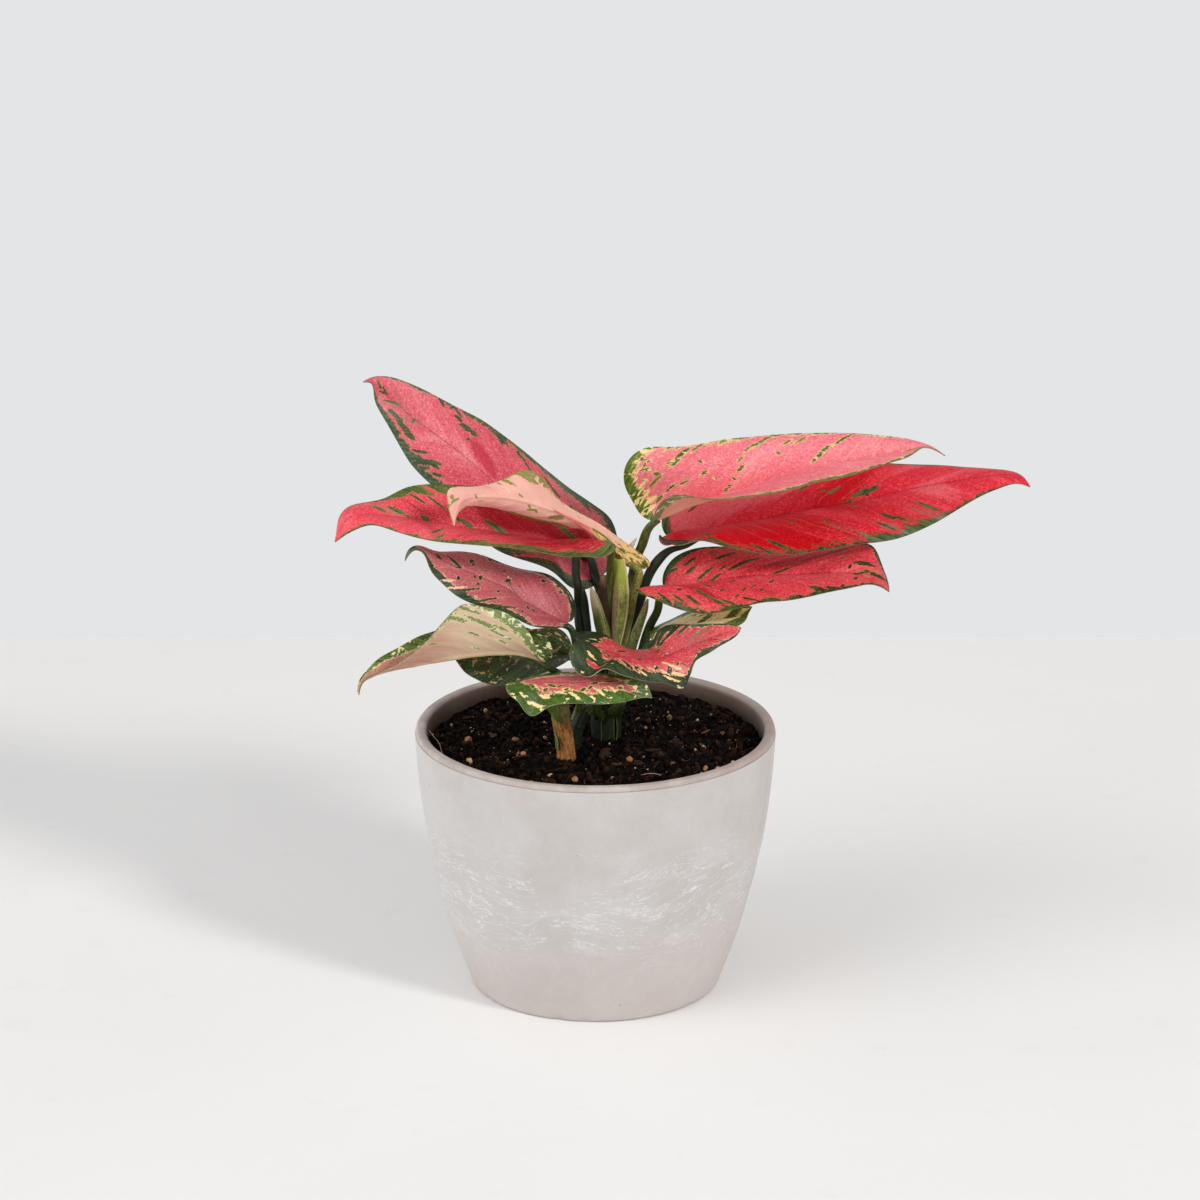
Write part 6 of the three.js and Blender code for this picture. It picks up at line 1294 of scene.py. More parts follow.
def sheath_material(name, look, seed):
    q = Nodes(name)
    X, A, T = q.split(q.attr("stalkpos"))
    sA = q.m("SINE", A)
    flat = q.join(q.m("MULTIPLY", X, 0.30), q.m("MULTIPLY", sA, 2.2), seed)
    fine = q.join(q.m("MULTIPLY", X, 0.9), q.m("MULTIPLY", sA, 3.6), seed + 4.0)
    n1 = q.noise(flat, 1.0, 3.0, 0.6)
    n2 = q.noise(fine, 1.5, 3.0, 0.7)
    col = q.mix(q.step(n1, 0.36, 0.66), lin(*look["a"]), lin(*look["b"]))
    col = q.mix(q.m("MULTIPLY", q.step(n2, 0.50, 0.60), look["mottle"]), col, lin(*look["c"]))
    col = q.mix(q.step(T, look.get("top", 0.0), 0.0, 0.0, 0.8) if look.get("top") else 0.0, col, lin(*look["tip"]))
    if "left" in look:
        wob = q.m("ADD", sA, q.m("MULTIPLY", q.m("SUBTRACT", n1, 0.5), 0.5))
        col = q.mix(q.m("MULTIPLY", q.step(wob, -0.15, -0.5), q.step(T, 0.10, 0.30, 0.1, 1.0)), col, q.mix(q.step(n2, 0.42, 0.60), lin(*look["left"]), lin(*[c * 0.72 for c in look["left"]])))
    edge = q.step(sA, 0.72, 0.95) if "left" in look else q.step(q.m("ABSOLUTE", sA), 0.80, 0.97)
    col = q.mix(q.m("MULTIPLY", edge, look["edge_amount"]), col, lin(*look["edge"]))
    ribs = q.noise(q.join(q.m("MULTIPLY", X, 0.05), q.m("MULTIPLY", sA, 9.0), seed), 1.6, 2.0, 0.6)
    normal = q.bump(q.m("ADD", ribs, q.m("MULTIPLY", n2, 0.4)), 0.5, 0.0002)
    r = q.m("ADD", 0.45, q.m("MULTIPLY", q.m("SUBTRACT", n2, 0.5), 0.2))
    return q.finish(col, r, normal, spec=0.35)


def wide(pts, scale):
    return [(p[0], p[1], p[2], p[3] * s) for p, s in zip(pts, scale)]


SHEATH_LOOKS = {
    "centre": dict(left=(156, 124, 98), a=(96, 108, 40), b=(150, 152, 84), c=(60, 80, 16), mottle=0.75, edge=(204, 182, 150), edge_amount=0.8, tip=(168, 176, 60), top=0.35),
    "left": dict(left=(62, 70, 24), a=(70, 80, 24), b=(106, 110, 42), c=(146, 146, 74), mottle=0.6, edge=(214, 180, 156), edge_amount=0.85, tip=(178, 156, 124), top=0.3),
    "pointed": dict(a=(52, 66, 22), b=(88, 98, 40), c=(142, 142, 78), mottle=0.8, edge=(150, 126, 88), edge_amount=0.35, tip=(140, 104, 70), top=0.18),
    "brown": dict(a=(28, 18, 8), b=(54, 36, 16), c=(20, 12, 6), mottle=0.6, edge=(44, 28, 14), edge_amount=0.5, tip=(150, 118, 76), top=0.12),
    "roll": dict(a=(44, 18, 12), b=(86, 40, 28), c=(30, 12, 8), mottle=0.5, edge=(196, 140, 120), edge_amount=0.3, tip=(30, 12, 8), top=0.1),
}
front = (0.0, 1.0, 0.0)
sheath("centre", wide(SHEATHS["sheath_centre"], (1.0, 1.1, 1.2, 1.2, 1.1, 1.0)), (0.25, 1.0, 0.0), 0.55, SHEATH_LOOKS["centre"], 1.3)
sheath("left", wide(SHEATHS["sheath_left"], (1.0, 1.4, 1.45, 1.4, 1.4, 1.2, 1.0)), (-0.45, 0.9, 0.0), 0.6, SHEATH_LOOKS["left"], 4.1)
sheath("pointed", SHEATHS["sheath_pointed"], (0.2, 1.0, 0.0), 0.7, SHEATH_LOOKS["pointed"], 7.7)


# small dry and half-hidden pieces of the crown that have no solid of their own; the dark brown sheath among them is
# painted shade
def round_section(t, a, r):
    k = 1 + 0.05 * np.cos(3 * a + 4 * t) + 0.03 * np.cos(7 * a)
    return r * k * np.sin(a), r * k * np.cos(a)


def extra(name, pts, section, up, material):
    ob = sweep(name, pts, section, up, 50, 28)
    ob.data.materials.append(material)
    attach(ob, "root")
    return ob


extra("crown_stalk_olive", EXTRAS["stalk_olive"], petiole_section(2.0, 1.0, 0.0), (0, 1, 0),
      stalk_material("stalk_olive", (46, 54, 16), (74, 82, 26), (110, 112, 44), (110, 112, 44), 0.0, 0.3, 0.42, 6.0))
# a dark brown shell where the inside of a sheath lies in shadow: its dark body is painted shade, its tan top the
# sheath's own colour
extra("crown_sheath_in_shade", EXTRAS["sheath_in_shade"], shell_section(3.0, 0.5, 0.0), (0.1, 1.0, 0.0),
      sheath_material("sheath_in_shade", SHEATH_LOOKS["brown"], 3.0))
# the folded foot of a blade: dark brown, its pale pink edge colour along the flanks a painted highlight
extra("blade_foot_roll", EXTRAS["base_roll"], round_section, (0, 0, 1), sheath_material("blade_foot_roll", SHEATH_LOOKS["roll"], 5.0))
extra("bud_scale", EXTRAS["bud_scale"], shell_section(5.0, 0.4, 0.0), (0, 1, 0),
      sheath_material("bud_scale", dict(a=(206, 176, 164), b=(226, 204, 190), c=(180, 140, 128), mottle=0.4, edge=(230, 214, 200), edge_amount=0.5, tip=(206, 170, 150), top=0.3), 2.0))
extra("curled_midrib", EXTRAS["midrib_rod"], round_section, (0, 0, 1),
      stalk_material("curled_midrib", (186, 150, 48), (214, 182, 92), (232, 208, 140), (232, 208, 140), 0.2, 0.35, 0.4, 9.0))
extra("crown_stalk_left", EXTRAS["stalk_low_left"], petiole_section(6.0, 1.0, 0.0), (0, 1, 0),
      stalk_material("stalk_low_left", (14, 24, 8), (30, 44, 16), (70, 80, 34), (70, 80, 34), 0.0, 0.2, 0.42, 8.0))
extra("crown_stalk_dark", EXTRAS["stalk_gap"], round_section, (0, 1, 0),
      stalk_material("stalk_gap", (18, 22, 8), (34, 40, 14), (60, 62, 26), (60, 62, 26), 0.0, 0.2, 0.45, 4.0))


# the main stem: short joints, each wrapped by the torn foot of an old leaf sheath
def main_stem_section(t, a, r):
    aa = np.where(a > math.pi, a - 2 * math.pi, a)
    k = 1 + 0.05 * np.cos(3 * a + 0.6 + 4 * t) + 0.03 * np.cos(5 * a + 2.0) + 0.015 * np.cos(11 * a + 9 * t)
    # upright folds where sheaths overlap
    for a0, d, w in ((-2.5, 0.10, 0.16), (1.9, 0.08, 0.14), (3.1, 0.09, 0.12), (0.4, 0.07, 0.2), (-1.2, 0.07, 0.15)):
        k = k + d * np.exp(-(((np.angle(np.exp(1j * (aa - a0 - 0.6 * t)))) / w) ** 2)) * (1 - t) ** 0.5
    return r * k * np.sin(a), r * k * np.cos(a)


stem = sweep("stem_middle_stem", wide(STEMS["stem_middle"], (0.95, 0.9, 0.86, 0.86, 0.9, 1.0)), main_stem_section, (0, 1, 0), 80, 72)
stem.data.materials.append(stalk_material("stem_green", (16, 26, 8), (34, 46, 16), (74, 84, 38), (74, 84, 38), 0.0, 0.3, 0.42, 3.0))
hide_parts("stem_middle")
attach(stem, "root")


def torn_sheath(name, centre, r, z0, z1, a0, a1, seed, flare=0.6, look=None):
    """A strip of old sheath that wraps part of the way round a stem, with a ragged upper edge and
    a pale dry margin."""
    nu, na = 26, 40
    a = np.linspace(a0, a1, na)
    top = z1 - 3.2 * np.abs(vnoise(np.stack([a * 2.2 + seed, a * 0 + 1, a * 0], -1), 1.0, 3)) - 2.5 * (np.abs(np.linspace(-1, 1, na)) ** 3)
    grid = np.zeros((2, nu, na, 3))
    for i in range(nu):
        f = i / (nu - 1)
        z = z0 + (top - z0) * f
        rr = r + 0.25 + flare * f**2.5 + 0.25 * vnoise(np.stack([a * 3 + seed, a * 0 + f * 2, a * 0], -1), 1.0, 2)
        aw = a + 0.20 * float(vnoise(np.array([f * 3.1 + seed, 2.0, 5.0]), 1.0, 2)) * min(1.0, 3 * f)
        for s, off in ((0, 0.0), (1, -0.32 * (1 - 0.4 * f))):
            grid[s, i, :, 0] = centre[0] + (rr + off) * np.sin(aw)
            grid[s, i, :, 1] = centre[1] - (rr + off) * np.cos(aw)
            grid[s, i, :, 2] = z
    verts = grid.reshape(-1, 3)
    idx = lambda s, i, j: s * nu * na + i * na + j
    faces = []
    for i in range(nu - 1):
        for j in range(na - 1):
            faces.append((idx(0, i, j), idx(0, i, j + 1), idx(0, i + 1, j + 1), idx(0, i + 1, j)))
            faces.append((idx(1, i, j), idx(1, i + 1, j), idx(1, i + 1, j + 1), idx(1, i, j + 1)))
    for j in range(na - 1):
        faces.append((idx(0, nu - 1, j), idx(0, nu - 1, j + 1), idx(1, nu - 1, j + 1), idx(1, nu - 1, j)))
        faces.append((idx(0, 0, j), idx(1, 0, j), idx(1, 0, j + 1), idx(0, 0, j + 1)))
    for i in range(nu - 1):
        faces.append((idx(0, i, 0), idx(0, i + 1, 0), idx(1, i + 1, 0), idx(1, i, 0)))
        faces.append((idx(0, i, na - 1), idx(1, i, na - 1), idx(1, i + 1, na - 1), idx(0, i + 1, na - 1)))
    ob = new_mesh(name, verts, faces)
    pos = np.zeros((2, nu, na, 3))
    f = np.linspace(0, 1, nu)[None, :, None]
    pos[..., 0] = f * (z1 - z0)
    pos[..., 1] = (a * r * 0.35)[None, None, :]
    rim = np.maximum(f**6, np.abs(np.linspace(-1, 1, na))[None, None, :] ** 14)
    pos[..., 2] = rim
    add_attribute(ob.data, "stalkpos", "FLOAT_VECTOR", "POINT", pos.reshape(-1, 3))
    q = Nodes(name)
    X, A, T = q.split(q.attr("stalkpos"))
    v = q.join(q.m("MULTIPLY", X, 0.35), q.m("MULTIPLY", A, 2.4), seed)
    n1 = q.noise(v, 1.0, 4.0, 0.65)
    look = look or ((52, 74, 32), (96, 112, 60), (170, 172, 122))
    col = q.mix(q.step(n1, 0.36, 0.64), lin(*look[0]), lin(*look[1]))
    col = q.mix(q.m("MULTIPLY", q.step(T, 0.15, 0.75), 0.85), col, lin(*look[2]))
    q.finish(col, q.m("ADD", 0.42, q.m("MULTIPLY", n1, 0.15)), q.bump(n1, 0.5, 0.00025), spec=0.35)
    ob.data.materials.append(q.mat)
    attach(ob, "root")
    return ob


dull = ((14, 22, 8), (32, 42, 16), (96, 104, 58))
torn_sheath("stem_old_sheath_1", (4.2, 0.3), 5.9, 99.5, 125.0, -1.45, -0.25, 3.0, 0.2, dull)
torn_sheath("stem_old_sheath_2", (4.2, 0.1), 5.5, 99.5, 124.0, -0.35, 0.75, 7.0, 0.25, dull)
torn_sheath("stem_old_sheath_3", (4.2, 0.4), 5.9, 99.5, 123.0, 0.7, 2.3, 12.0, 0.2, dull)
torn_sheath("stem_old_sheath_4", (4.2, 0.3), 5.5, 99.5, 123.0, 2.4, 4.9, 17.0, 0.25, dull)


# the two smaller stems
def small_stem_section(t, a, r):
    k = 1 + 0.035 * np.cos(2 * a + 5 * t) + 0.03 * np.cos(5 * a + 3) + 0.02 * np.cos(9 * a - 8 * t)
    ring = 0.06 * sum(math.exp(-(((t - z) / 0.012) ** 2)) for z in (0.18, 0.36, 0.58))
    return r * (k + ring) * np.sin(a), r * (k + ring) * np.cos(a)


back = sweep("stem_back_stem", STEMS["stem_back"], small_stem_section, (0, 1, 0), 90, 40)
back.data.materials.append(stalk_material("stem_back_green", (12, 20, 8), (24, 36, 14), (48, 58, 26), (48, 58, 26), 0.0, 0.2, 0.5, 5.0))
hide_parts("stem_back")
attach(back, "root")


def cane_section(t, a, r):
    aa = np.where(a > math.pi, a - 2 * math.pi, a)
    k = 1 + 0.05 * np.cos(2 * a + 1.0 + 2 * t) + 0.035 * np.cos(5 * a + 3 + 2 * t) + 0.02 * np.cos(13 * a + 4 * t) + 0.015 * np.cos(23 * a - 6 * t)
    ring = 0.07 * sum(math.exp(-(((t - z) / 0.014) ** 2)) for z in (0.08, 0.30, 0.52))
    dent = 0.06 * math.sin(9 * t + 0.5)
    return r * (k + ring + dent) * np.sin(a), r * (k + ring + dent) * np.cos(a) * 0.92


cane = sweep("cane_stem", STEMS["cane"], cane_section, (0, 1, 0), 120, 72)
q = Nodes("cane_bark")
X, A, T = q.split(q.attr("stalkpos"))
sA, cA = q.m("SINE", A), q.m("COSINE", A)
grainv = q.join(q.m("MULTIPLY", X, 0.16), q.m("MULTIPLY", sA, 3.4), q.m("MULTIPLY", cA, 3.4))
finev = q.join(q.m("MULTIPLY", X, 0.5), q.m("MULTIPLY", sA, 6.0), q.m("MULTIPLY", cA, 6.0))
g1 = q.noise(grainv, 1.3, 4.0, 0.65, 0.6)
g2 = q.noise(finev, 1.4, 3.0, 0.65, 0.5)
col = q.mix(q.step(g1, 0.34, 0.64), lin(112, 64, 26), lin(178, 118, 62))
col = q.mix(q.step(g2, 0.56, 0.68, 0.0, 0.75), col, lin(214, 160, 92))
col = q.mix(q.step(g2, 0.42, 0.32, 0.0, 0.7), col, lin(84, 42, 12))
green_top = q.m("MULTIPLY", q.step(T, 0.22, 0.10, 0.0, 1.0), q.step(g1, 0.4, 0.6, 0.3, 0.8))
col = q.mix(green_top, col, lin(120, 134, 74))
q.finish(col, 0.62, q.bump(q.m("ADD", g1, q.m("MULTIPLY", g2, 0.6)), 0.8, 0.0005), spec=0.3)
cane.data.materials.append(q.mat)
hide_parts("cane")
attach(cane, "root")
torn_sheath("cane_old_sheath", (-12.3, -21.3), 3.5, 106.0, 114.4, -2.2, -0.75, 5.0, 0.25, ((70, 92, 34), (100, 120, 52), (140, 150, 84)))

# ------------------------------------------------------------------------------------------------
# Pot
# ------------------------------------------------------------------------------------------------
OUTER = [(49.4, 0), (50.5, 0.9), (51.9, 4.8), (53.6, 9.4), (55.3, 14), (57.1, 19.5), (59.6, 27.5), (62.0, 36.5),
         (64.0, 44.3), (65.9, 53), (67.8, 62), (69.6, 73.5), (71.0, 86), (72.0, 97), (72.5, 105.4)]


def outer_radius(z):
    z = np.asarray(z, float)
    pts = np.array(OUTER[1:], float)
    return spline(pts[:, 1], pts[:, 0:1], np.atleast_1d(z))[:, 0]


def make_pot():
    S = 224
    prof = []  # radius, height, kind: 0 outside, 1 rim, 2 inside
    prof += [(20.0, 0.45, 0), (36.0, 0.35, 0), (44.0, 0.20, 0), (47.6, 0.02, 0), (48.9, 0.0, 0), (49.8, 0.25, 0), (50.35, 0.8, 0)]
    for z in np.concatenate([np.linspace(1.6, 8, 6), np.linspace(10, 103.5, 64)]):
        prof.append((float(outer_radius(z)[0]), float(z), 0))
    prof += [(72.44, 104.6, 0), (72.50, 105.2, 0), (72.46, 105.55, 0), (72.30, 105.72, 1), (72.22, 105.9, 1), (72.24, 106.3, 1), (72.12, 106.9, 1),
             (71.80, 107.4, 1), (71.35, 107.68, 1), (70.8, 107.78, 1), (70.0, 107.8, 1), (69.2, 107.74, 1), (68.65, 107.5, 1), (68.25, 107.1, 1),
             (68.0, 106.5, 2), (67.85, 105.6, 2)]
    for z in np.linspace(104.2, 84, 18):
        prof.append((float(outer_radius(z)[0]) - 5.0 + 0.25 * max(0.0, (z - 100) / 4.2), float(z), 2))
    for z in (70, 56, 42, 30, 20, 13):
        prof.append((float(outer_radius(z)[0]) - 5.0, float(z), 2))
    prof += [(46.0, 8.2, 2), (20.0, 8.0, 2)]
    n = len(prof)
    a = np.linspace(0, 2 * math.pi, S, endpoint=False)
    verts = np.zeros((n, S, 3))
    kinds = []
    for i, (r, z, kind) in enumerate(prof):
        p = np.stack([np.cos(a) * 2.2, np.sin(a) * 2.2, np.full(S, z / 26.0)], -1)
        # cast by hand: slow waves in the wall, a rim that is not quite level, tiny dents
        wob = 0.16 * vnoise(p + 3.0, 1.0, 2)
        small = 0.035 * vnoise(np.stack([np.cos(a) * 24, np.sin(a) * 24, np.full(S, z / 3.0)], -1) + 9.0, 1.0, 2)
        fade = 1.0 if kind else min(1.0, z / 6.0)
        rr = r + (wob + small) * fade - 0.12 * fade
        zz = np.full(S, z)
        if kind == 1:
            zz = zz + 0.10 * vnoise(np.stack([np.cos(a) * 3.1, np.sin(a) * 3.1, np.full(S, 4.0)], -1), 1.0, 2)
            # small nicks along the rim
            for c, d, w in ((-0.62, 0.35, 0.010), (-1.95, 0.28, 0.008), (1.2, 0.4, 0.012), (2.6, 0.3, 0.009), (-2.75, 0.25, 0.010), (0.35, 0.3, 0.007)):
                if z < 107.3:
                    rr = rr - d * np.exp(-((np.angle(np.exp(1j * (a - c))) / w) ** 2)) * (r > 71)
        if kind == 0 and z < 2.0:
            # chips along the foot
            for c, d, w in ((-1.86, 0.7, 0.05), (-1.66, 0.45, 0.03), (-0.7, 0.4, 0.02), (0.9, 0.6, 0.04), (2.4, 0.5, 0.03), (-2.6, 0.4, 0.02)):
                rr = rr - d * np.exp(-((np.angle(np.exp(1j * (a - c))) / w) ** 2)) * (r > 47)
        verts[i, :, 0] = rr * np.cos(a)
        verts[i, :, 1] = rr * np.sin(a)
        verts[i, :, 2] = zz
        kinds.append(kind)
    flatv = verts.reshape(-1, 3)
    faces = []
    for i in range(n - 1):
        for j in range(S):
            k = (j + 1) % S
            faces.append((i * S + j, i * S + k, (i + 1) * S + k, (i + 1) * S + j))
    c0, c1 = len(flatv), len(flatv) + 1
    for j in range(S):
        k = (j + 1) % S
        faces.append((k, j, c0))
        faces.append(((n - 1) * S + j, (n - 1) * S + k, c1))
    flatv = np.vstack([flatv, [[0, 0, 0.5]], [[0, 0, 8.0]]])
    ob = new_mesh("pot_body", flatv, faces)
    # attribute: 0 outside, 1 rim, 2 inside
    val = np.concatenate([np.repeat(np.array(kinds, float), S), [0.0], [2.0]])
    add_attribute(ob.data, "potzone", "FLOAT", "POINT", val)
    q = Nodes("concrete_pot")
    P = q.object_mm()
    X, Y, Z = q.split(P)
    zone = q.attr("potzone", "Fac")
    ang = q.m("ARCTAN2", X, q.m("MULTIPLY", Y, -1.0))
    arc = q.m("MULTIPLY", ang, 64.0)
    R = q.m("SQRT", q.m("ADD", q.m("MULTIPLY", X, X), q.m("MULTIPLY", Y, Y)))
    cloud = q.noise(P, 0.030, 4.0, 0.55)
    cloud2 = q.noise(P, 0.012, 2.0, 0.5)
    mottle = q.noise(P, 0.22, 4.0, 0.65)
    sand = q.noise(P, 2.4, 3.0, 0.75)
    col = q.mix(q.step(cloud, 0.34, 0.66), lin(189, 183, 179), lin(197, 193, 191))
    col = q.mix(q.step(q.m("ADD", q.m("MULTIPLY", Z, -0.012), cloud2), -0.2, 0.55, 0.0, 0.55), col, lin(196, 184, 178))
    col = q.mix(q.step(mottle, 0.35, 0.70, 0.0, 0.22), col, lin(208, 205, 203))
    col = q.mix(q.step(sand, 0.30, 0.75, 0.0, 0.16), col, lin(168, 161, 157))
    # chalky smears: fine wavy threads that run nearly level, and hatched patches beside them
    warp = q.noise(P, 0.022, 1.6, 0.5, out="Color")
    wx, wy, wz = q.split(warp)
    zz = q.m("ADD", Z, q.m("MULTIPLY", q.m("SUBTRACT", wx, 0.5), 26.0))
    zz = q.m("ADD", zz, q.m("MULTIPLY", q.m("SUBTRACT", q.noise(P, 0.16, 3.0, 0.6), 0.5), 1.5))
    thread = q.noise(q.join(X, Y, q.m("MULTIPLY", zz, 6.0)), 0.055, 2.4, 0.5)
    line = q.step(q.m("ABSOLUTE", q.m("SUBTRACT", thread, 0.5)), 0.009, 0.002, 0.0, 1.0)
    thread2 = q.noise(q.join(Y, X, q.m("MULTIPLY", zz, 9.0)), 0.045, 2.4, 0.5)
    line = q.m("MAXIMUM", line, q.m("MULTIPLY", q.step(q.m("ABSOLUTE", q.m("SUBTRACT", thread2, 0.52)), 0.012, 0.003, 0.0, 1.0), 0.8))
    band = q.m("MULTIPLY", q.step(Z, 20.0, 42.0), q.step(Z, 88.0, 62.0, 0.0, 1.0))
    where = q.step(q.noise(P, 0.034, 3.0, 0.6), 0.38, 0.50)
    broken = q.step(q.noise(P, 0.10, 3.0, 0.6), 0.38, 0.54, 0.45, 1.0)
    line = q.m("MULTIPLY", q.m("MULTIPLY", line, band), q.m("MULTIPLY", where, broken))
    hatch = q.noise(q.join(q.m("MULTIPLY", arc, 1.0), q.m("MULTIPLY", zz, 0.42), 3.0), 1.5, 3.0, 0.7)
    patch_where = q.noise(q.join(q.m("MULTIPLY", X, 0.5), q.m("MULTIPLY", Y, 0.5), q.m("MULTIPLY", zz, 2.0)), 0.060, 3.0, 0.6)
    patch = q.m("MULTIPLY", q.step(hatch, 0.46, 0.62), q.step(patch_where, 0.585, 0.65))
    patch = q.m("MULTIPLY", patch, band)
    chalk = q.m("MAXIMUM", q.m("MULTIPLY", line, 0.66), q.m("MULTIPLY", patch, 0.36))
    soft = q.m("MULTIPLY", q.m("MULTIPLY", q.step(patch_where, 0.47, 0.64), band), 0.09)
    col = q.mix(soft, col, lin(218, 218, 219))
    col = q.mix(chalk, col, lin(232, 234, 237))
    outside = q.step(zone, 0.05, 0.0, 0.0, 1.0)
    # the rim is rubbed and a little browner; the inside is darker and browner, and the darkening is painted shade in
    # the pot's hollow
    rimc = q.mix(q.step(q.noise(P, 0.10, 3.0, 0.6), 0.35, 0.65), lin(176, 163, 156), lin(192, 182, 176))
    rimc = q.mix(q.step(mottle, 0.45, 0.7, 0.0, 0.20), rimc, lin(206, 199, 195))
    # painted shade: the rim is darker towards +x, on its right side
    rimc = q.mix(q.step(X, 10.0, 60.0, 0.0, 0.5), rimc, lin(158, 140, 131))
    ins = q.mix(q.step(cloud, 0.35, 0.65), lin(120, 102, 92), lin(146, 128, 118))
    # painted shade: the inner wall is lighter just under the lip and darkest low down towards the mix
    low_inner_shade = q.step(q.m("ADD", Z, q.m("MULTIPLY", q.m("SUBTRACT", mottle, 0.5), 4.0)), 107.0, 100.5)
    ins = q.mix(q.step(Z, 107.6, 105.0, 1.0, 0.0), ins, lin(166, 150, 141))
    ins = q.mix(q.m("MULTIPLY", low_inner_shade, 0.75), ins, lin(74, 58, 48))
    rim_mask = q.step(zone, 0.3, 0.9)
    in_mask = q.step(zone, 1.3, 1.9)
    col = q.mix(rim_mask, col, rimc)
    col = q.mix(in_mask, col, ins)
    # a thin painted shadow line in the groove under the rim, and pits
    rim_groove_shadow = q.m("MULTIPLY", q.step(q.m("ABSOLUTE", q.m("SUBTRACT", Z, 105.72)), 0.26, 0.08, 0.0, 1.0), q.step(R, 71.0, 72.0))
    col = q.mix(q.m("MULTIPLY", rim_groove_shadow, 0.55), col, lin(128, 116, 110))
    pit = q.voronoi(P, 0.13, out="Distance")
    pit_on = q.step(q.noise(P, 0.07, 2.0, 0.5), 0.56, 0.60)
    pits = q.m("MULTIPLY", q.step(pit, 0.050, 0.030, 0.0, 1.0), pit_on)
    col = q.mix(q.m("MULTIPLY", pits, 0.75), col, lin(104, 96, 92))
    rough = q.m("SUBTRACT", 0.80, q.m("MULTIPLY", chalk, 0.10))
    rough = q.m("SUBTRACT", rough, q.m("MULTIPLY", rim_mask, q.m("MULTIPLY", q.step(zone, 1.8, 1.2, 0.0, 1.0), 0.22)))
    h = q.m("ADD", q.m("MULTIPLY", sand, 0.30), q.m("MULTIPLY", mottle, 0.5))
    h = q.m("ADD", h, q.m("MULTIPLY", chalk, 0.25))
    h = q.m("SUBTRACT", h, q.m("MULTIPLY", pits, 1.2))
    h = q.m("SUBTRACT", h, q.m("MULTIPLY", rim_groove_shadow, 0.5))
    q.finish(col, rough, q.bump(h, 0.6, 0.00022), spec=0.28)
    ob.data.materials.append(q.mat)
    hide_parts("pot")
    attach(ob, "root")
    return ob


make_pot()


# ------------------------------------------------------------------------------------------------
# Potting mix
# ------------------------------------------------------------------------------------------------
def soil_height(x, y):
    r = np.hypot(x, y)
    waves = 0.45 * np.sin(x * 0.11 + 1.3) * np.cos(y * 0.13 - 0.4) + 0.3 * np.sin(x * 0.27 - y * 0.21 + 0.8) + 0.25 * np.cos(x * 0.19 + y * 0.31)
    return 101.6 + 1.6 * waves + 1.2 * np.exp(-((r / 22) ** 2))


def soil_surface(x, y):
    """The height with its lumps and hollows, a little lower where it meets the wall."""
    p = np.stack([x, y, 0 * x], -1)
    lumps = 1.1 * vnoise(p + 40.0, 9.0, 2) + 0.75 * vnoise(p + 11.0, 3.6, 2) + 0.32 * vnoise(p + 71.0, 1.3, 2)
    r = np.hypot(x, y)
    return soil_height(x, y) - 0.5 + lumps - 0.9 * np.clip((r - 60) / 7.0, 0, 1)


SOIL_R = 67.1


def make_soil():
    S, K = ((300, 120))
    a = np.linspace(0, 2 * math.pi, S, endpoint=False)
    rad = SOIL_R * (np.linspace(0, 1, K + 1)[1:] ** 0.72)
    rings = []
    for r in rad:
        x, y = r * np.cos(a), r * np.sin(a)
        rings.append(np.stack([x, y, soil_surface(x, y)], -1))
    top = np.array(rings)
    side = []
    for z, dr in ((97.5, 0.3), (84.0, 1.2)):
        rr = SOIL_R - dr
        side.append(np.stack([rr * np.cos(a), rr * np.sin(a), np.full(S, z)], -1))
    grid = np.concatenate([top, np.array(side)])
    n = len(grid)
    verts = grid.reshape(-1, 3)
    faces = []
    for i in range(n - 1):
        for j in range(S):
            k = (j + 1) % S
            faces.append((i * S + j, (i + 1) * S + j, (i + 1) * S + k, i * S + k))
    c0, c1 = len(verts), len(verts) + 1
    for j in range(S):
        k = (j + 1) % S
        faces.append((j, k, c0))
        faces.append(((n - 1) * S + k, (n - 1) * S + j, c1))
    x0 = np.array([0.0])
    verts = np.vstack([verts, [[0, 0, float(soil_surface(x0, x0)[0])]], [[0, 0, 84.0]]])
    ob = new_mesh("soil_mix", verts, faces)
    q = Nodes("potting_mix")
    P = q.object_mm()
    n1 = q.noise(P, 0.5, 4.0, 0.65)
    n2 = q.noise(P, 1.8, 4.0, 0.7)
    n3 = q.noise(P, 0.08, 2.0, 0.5)
    col = q.mix(q.step(n1, 0.38, 0.72), lin(7, 4, 3), lin(22, 13, 8))
    col = q.mix(q.step(n2, 0.66, 0.78, 0.0, 0.7), col, lin(74, 42, 24))
    col = q.mix(q.step(n3, 0.35, 0.65, 0.0, 0.35), col, lin(5, 3, 2))
    rough = q.m("ADD", 0.62, q.m("MULTIPLY", n2, 0.25))
    q.finish(col, rough, q.bump(q.m("ADD", n1, n2), 0.9, 0.0007), spec=0.06)
    ob.data.materials.append(q.mat)
    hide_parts("soil")
    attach(ob, "root")
    return ob


make_soil()


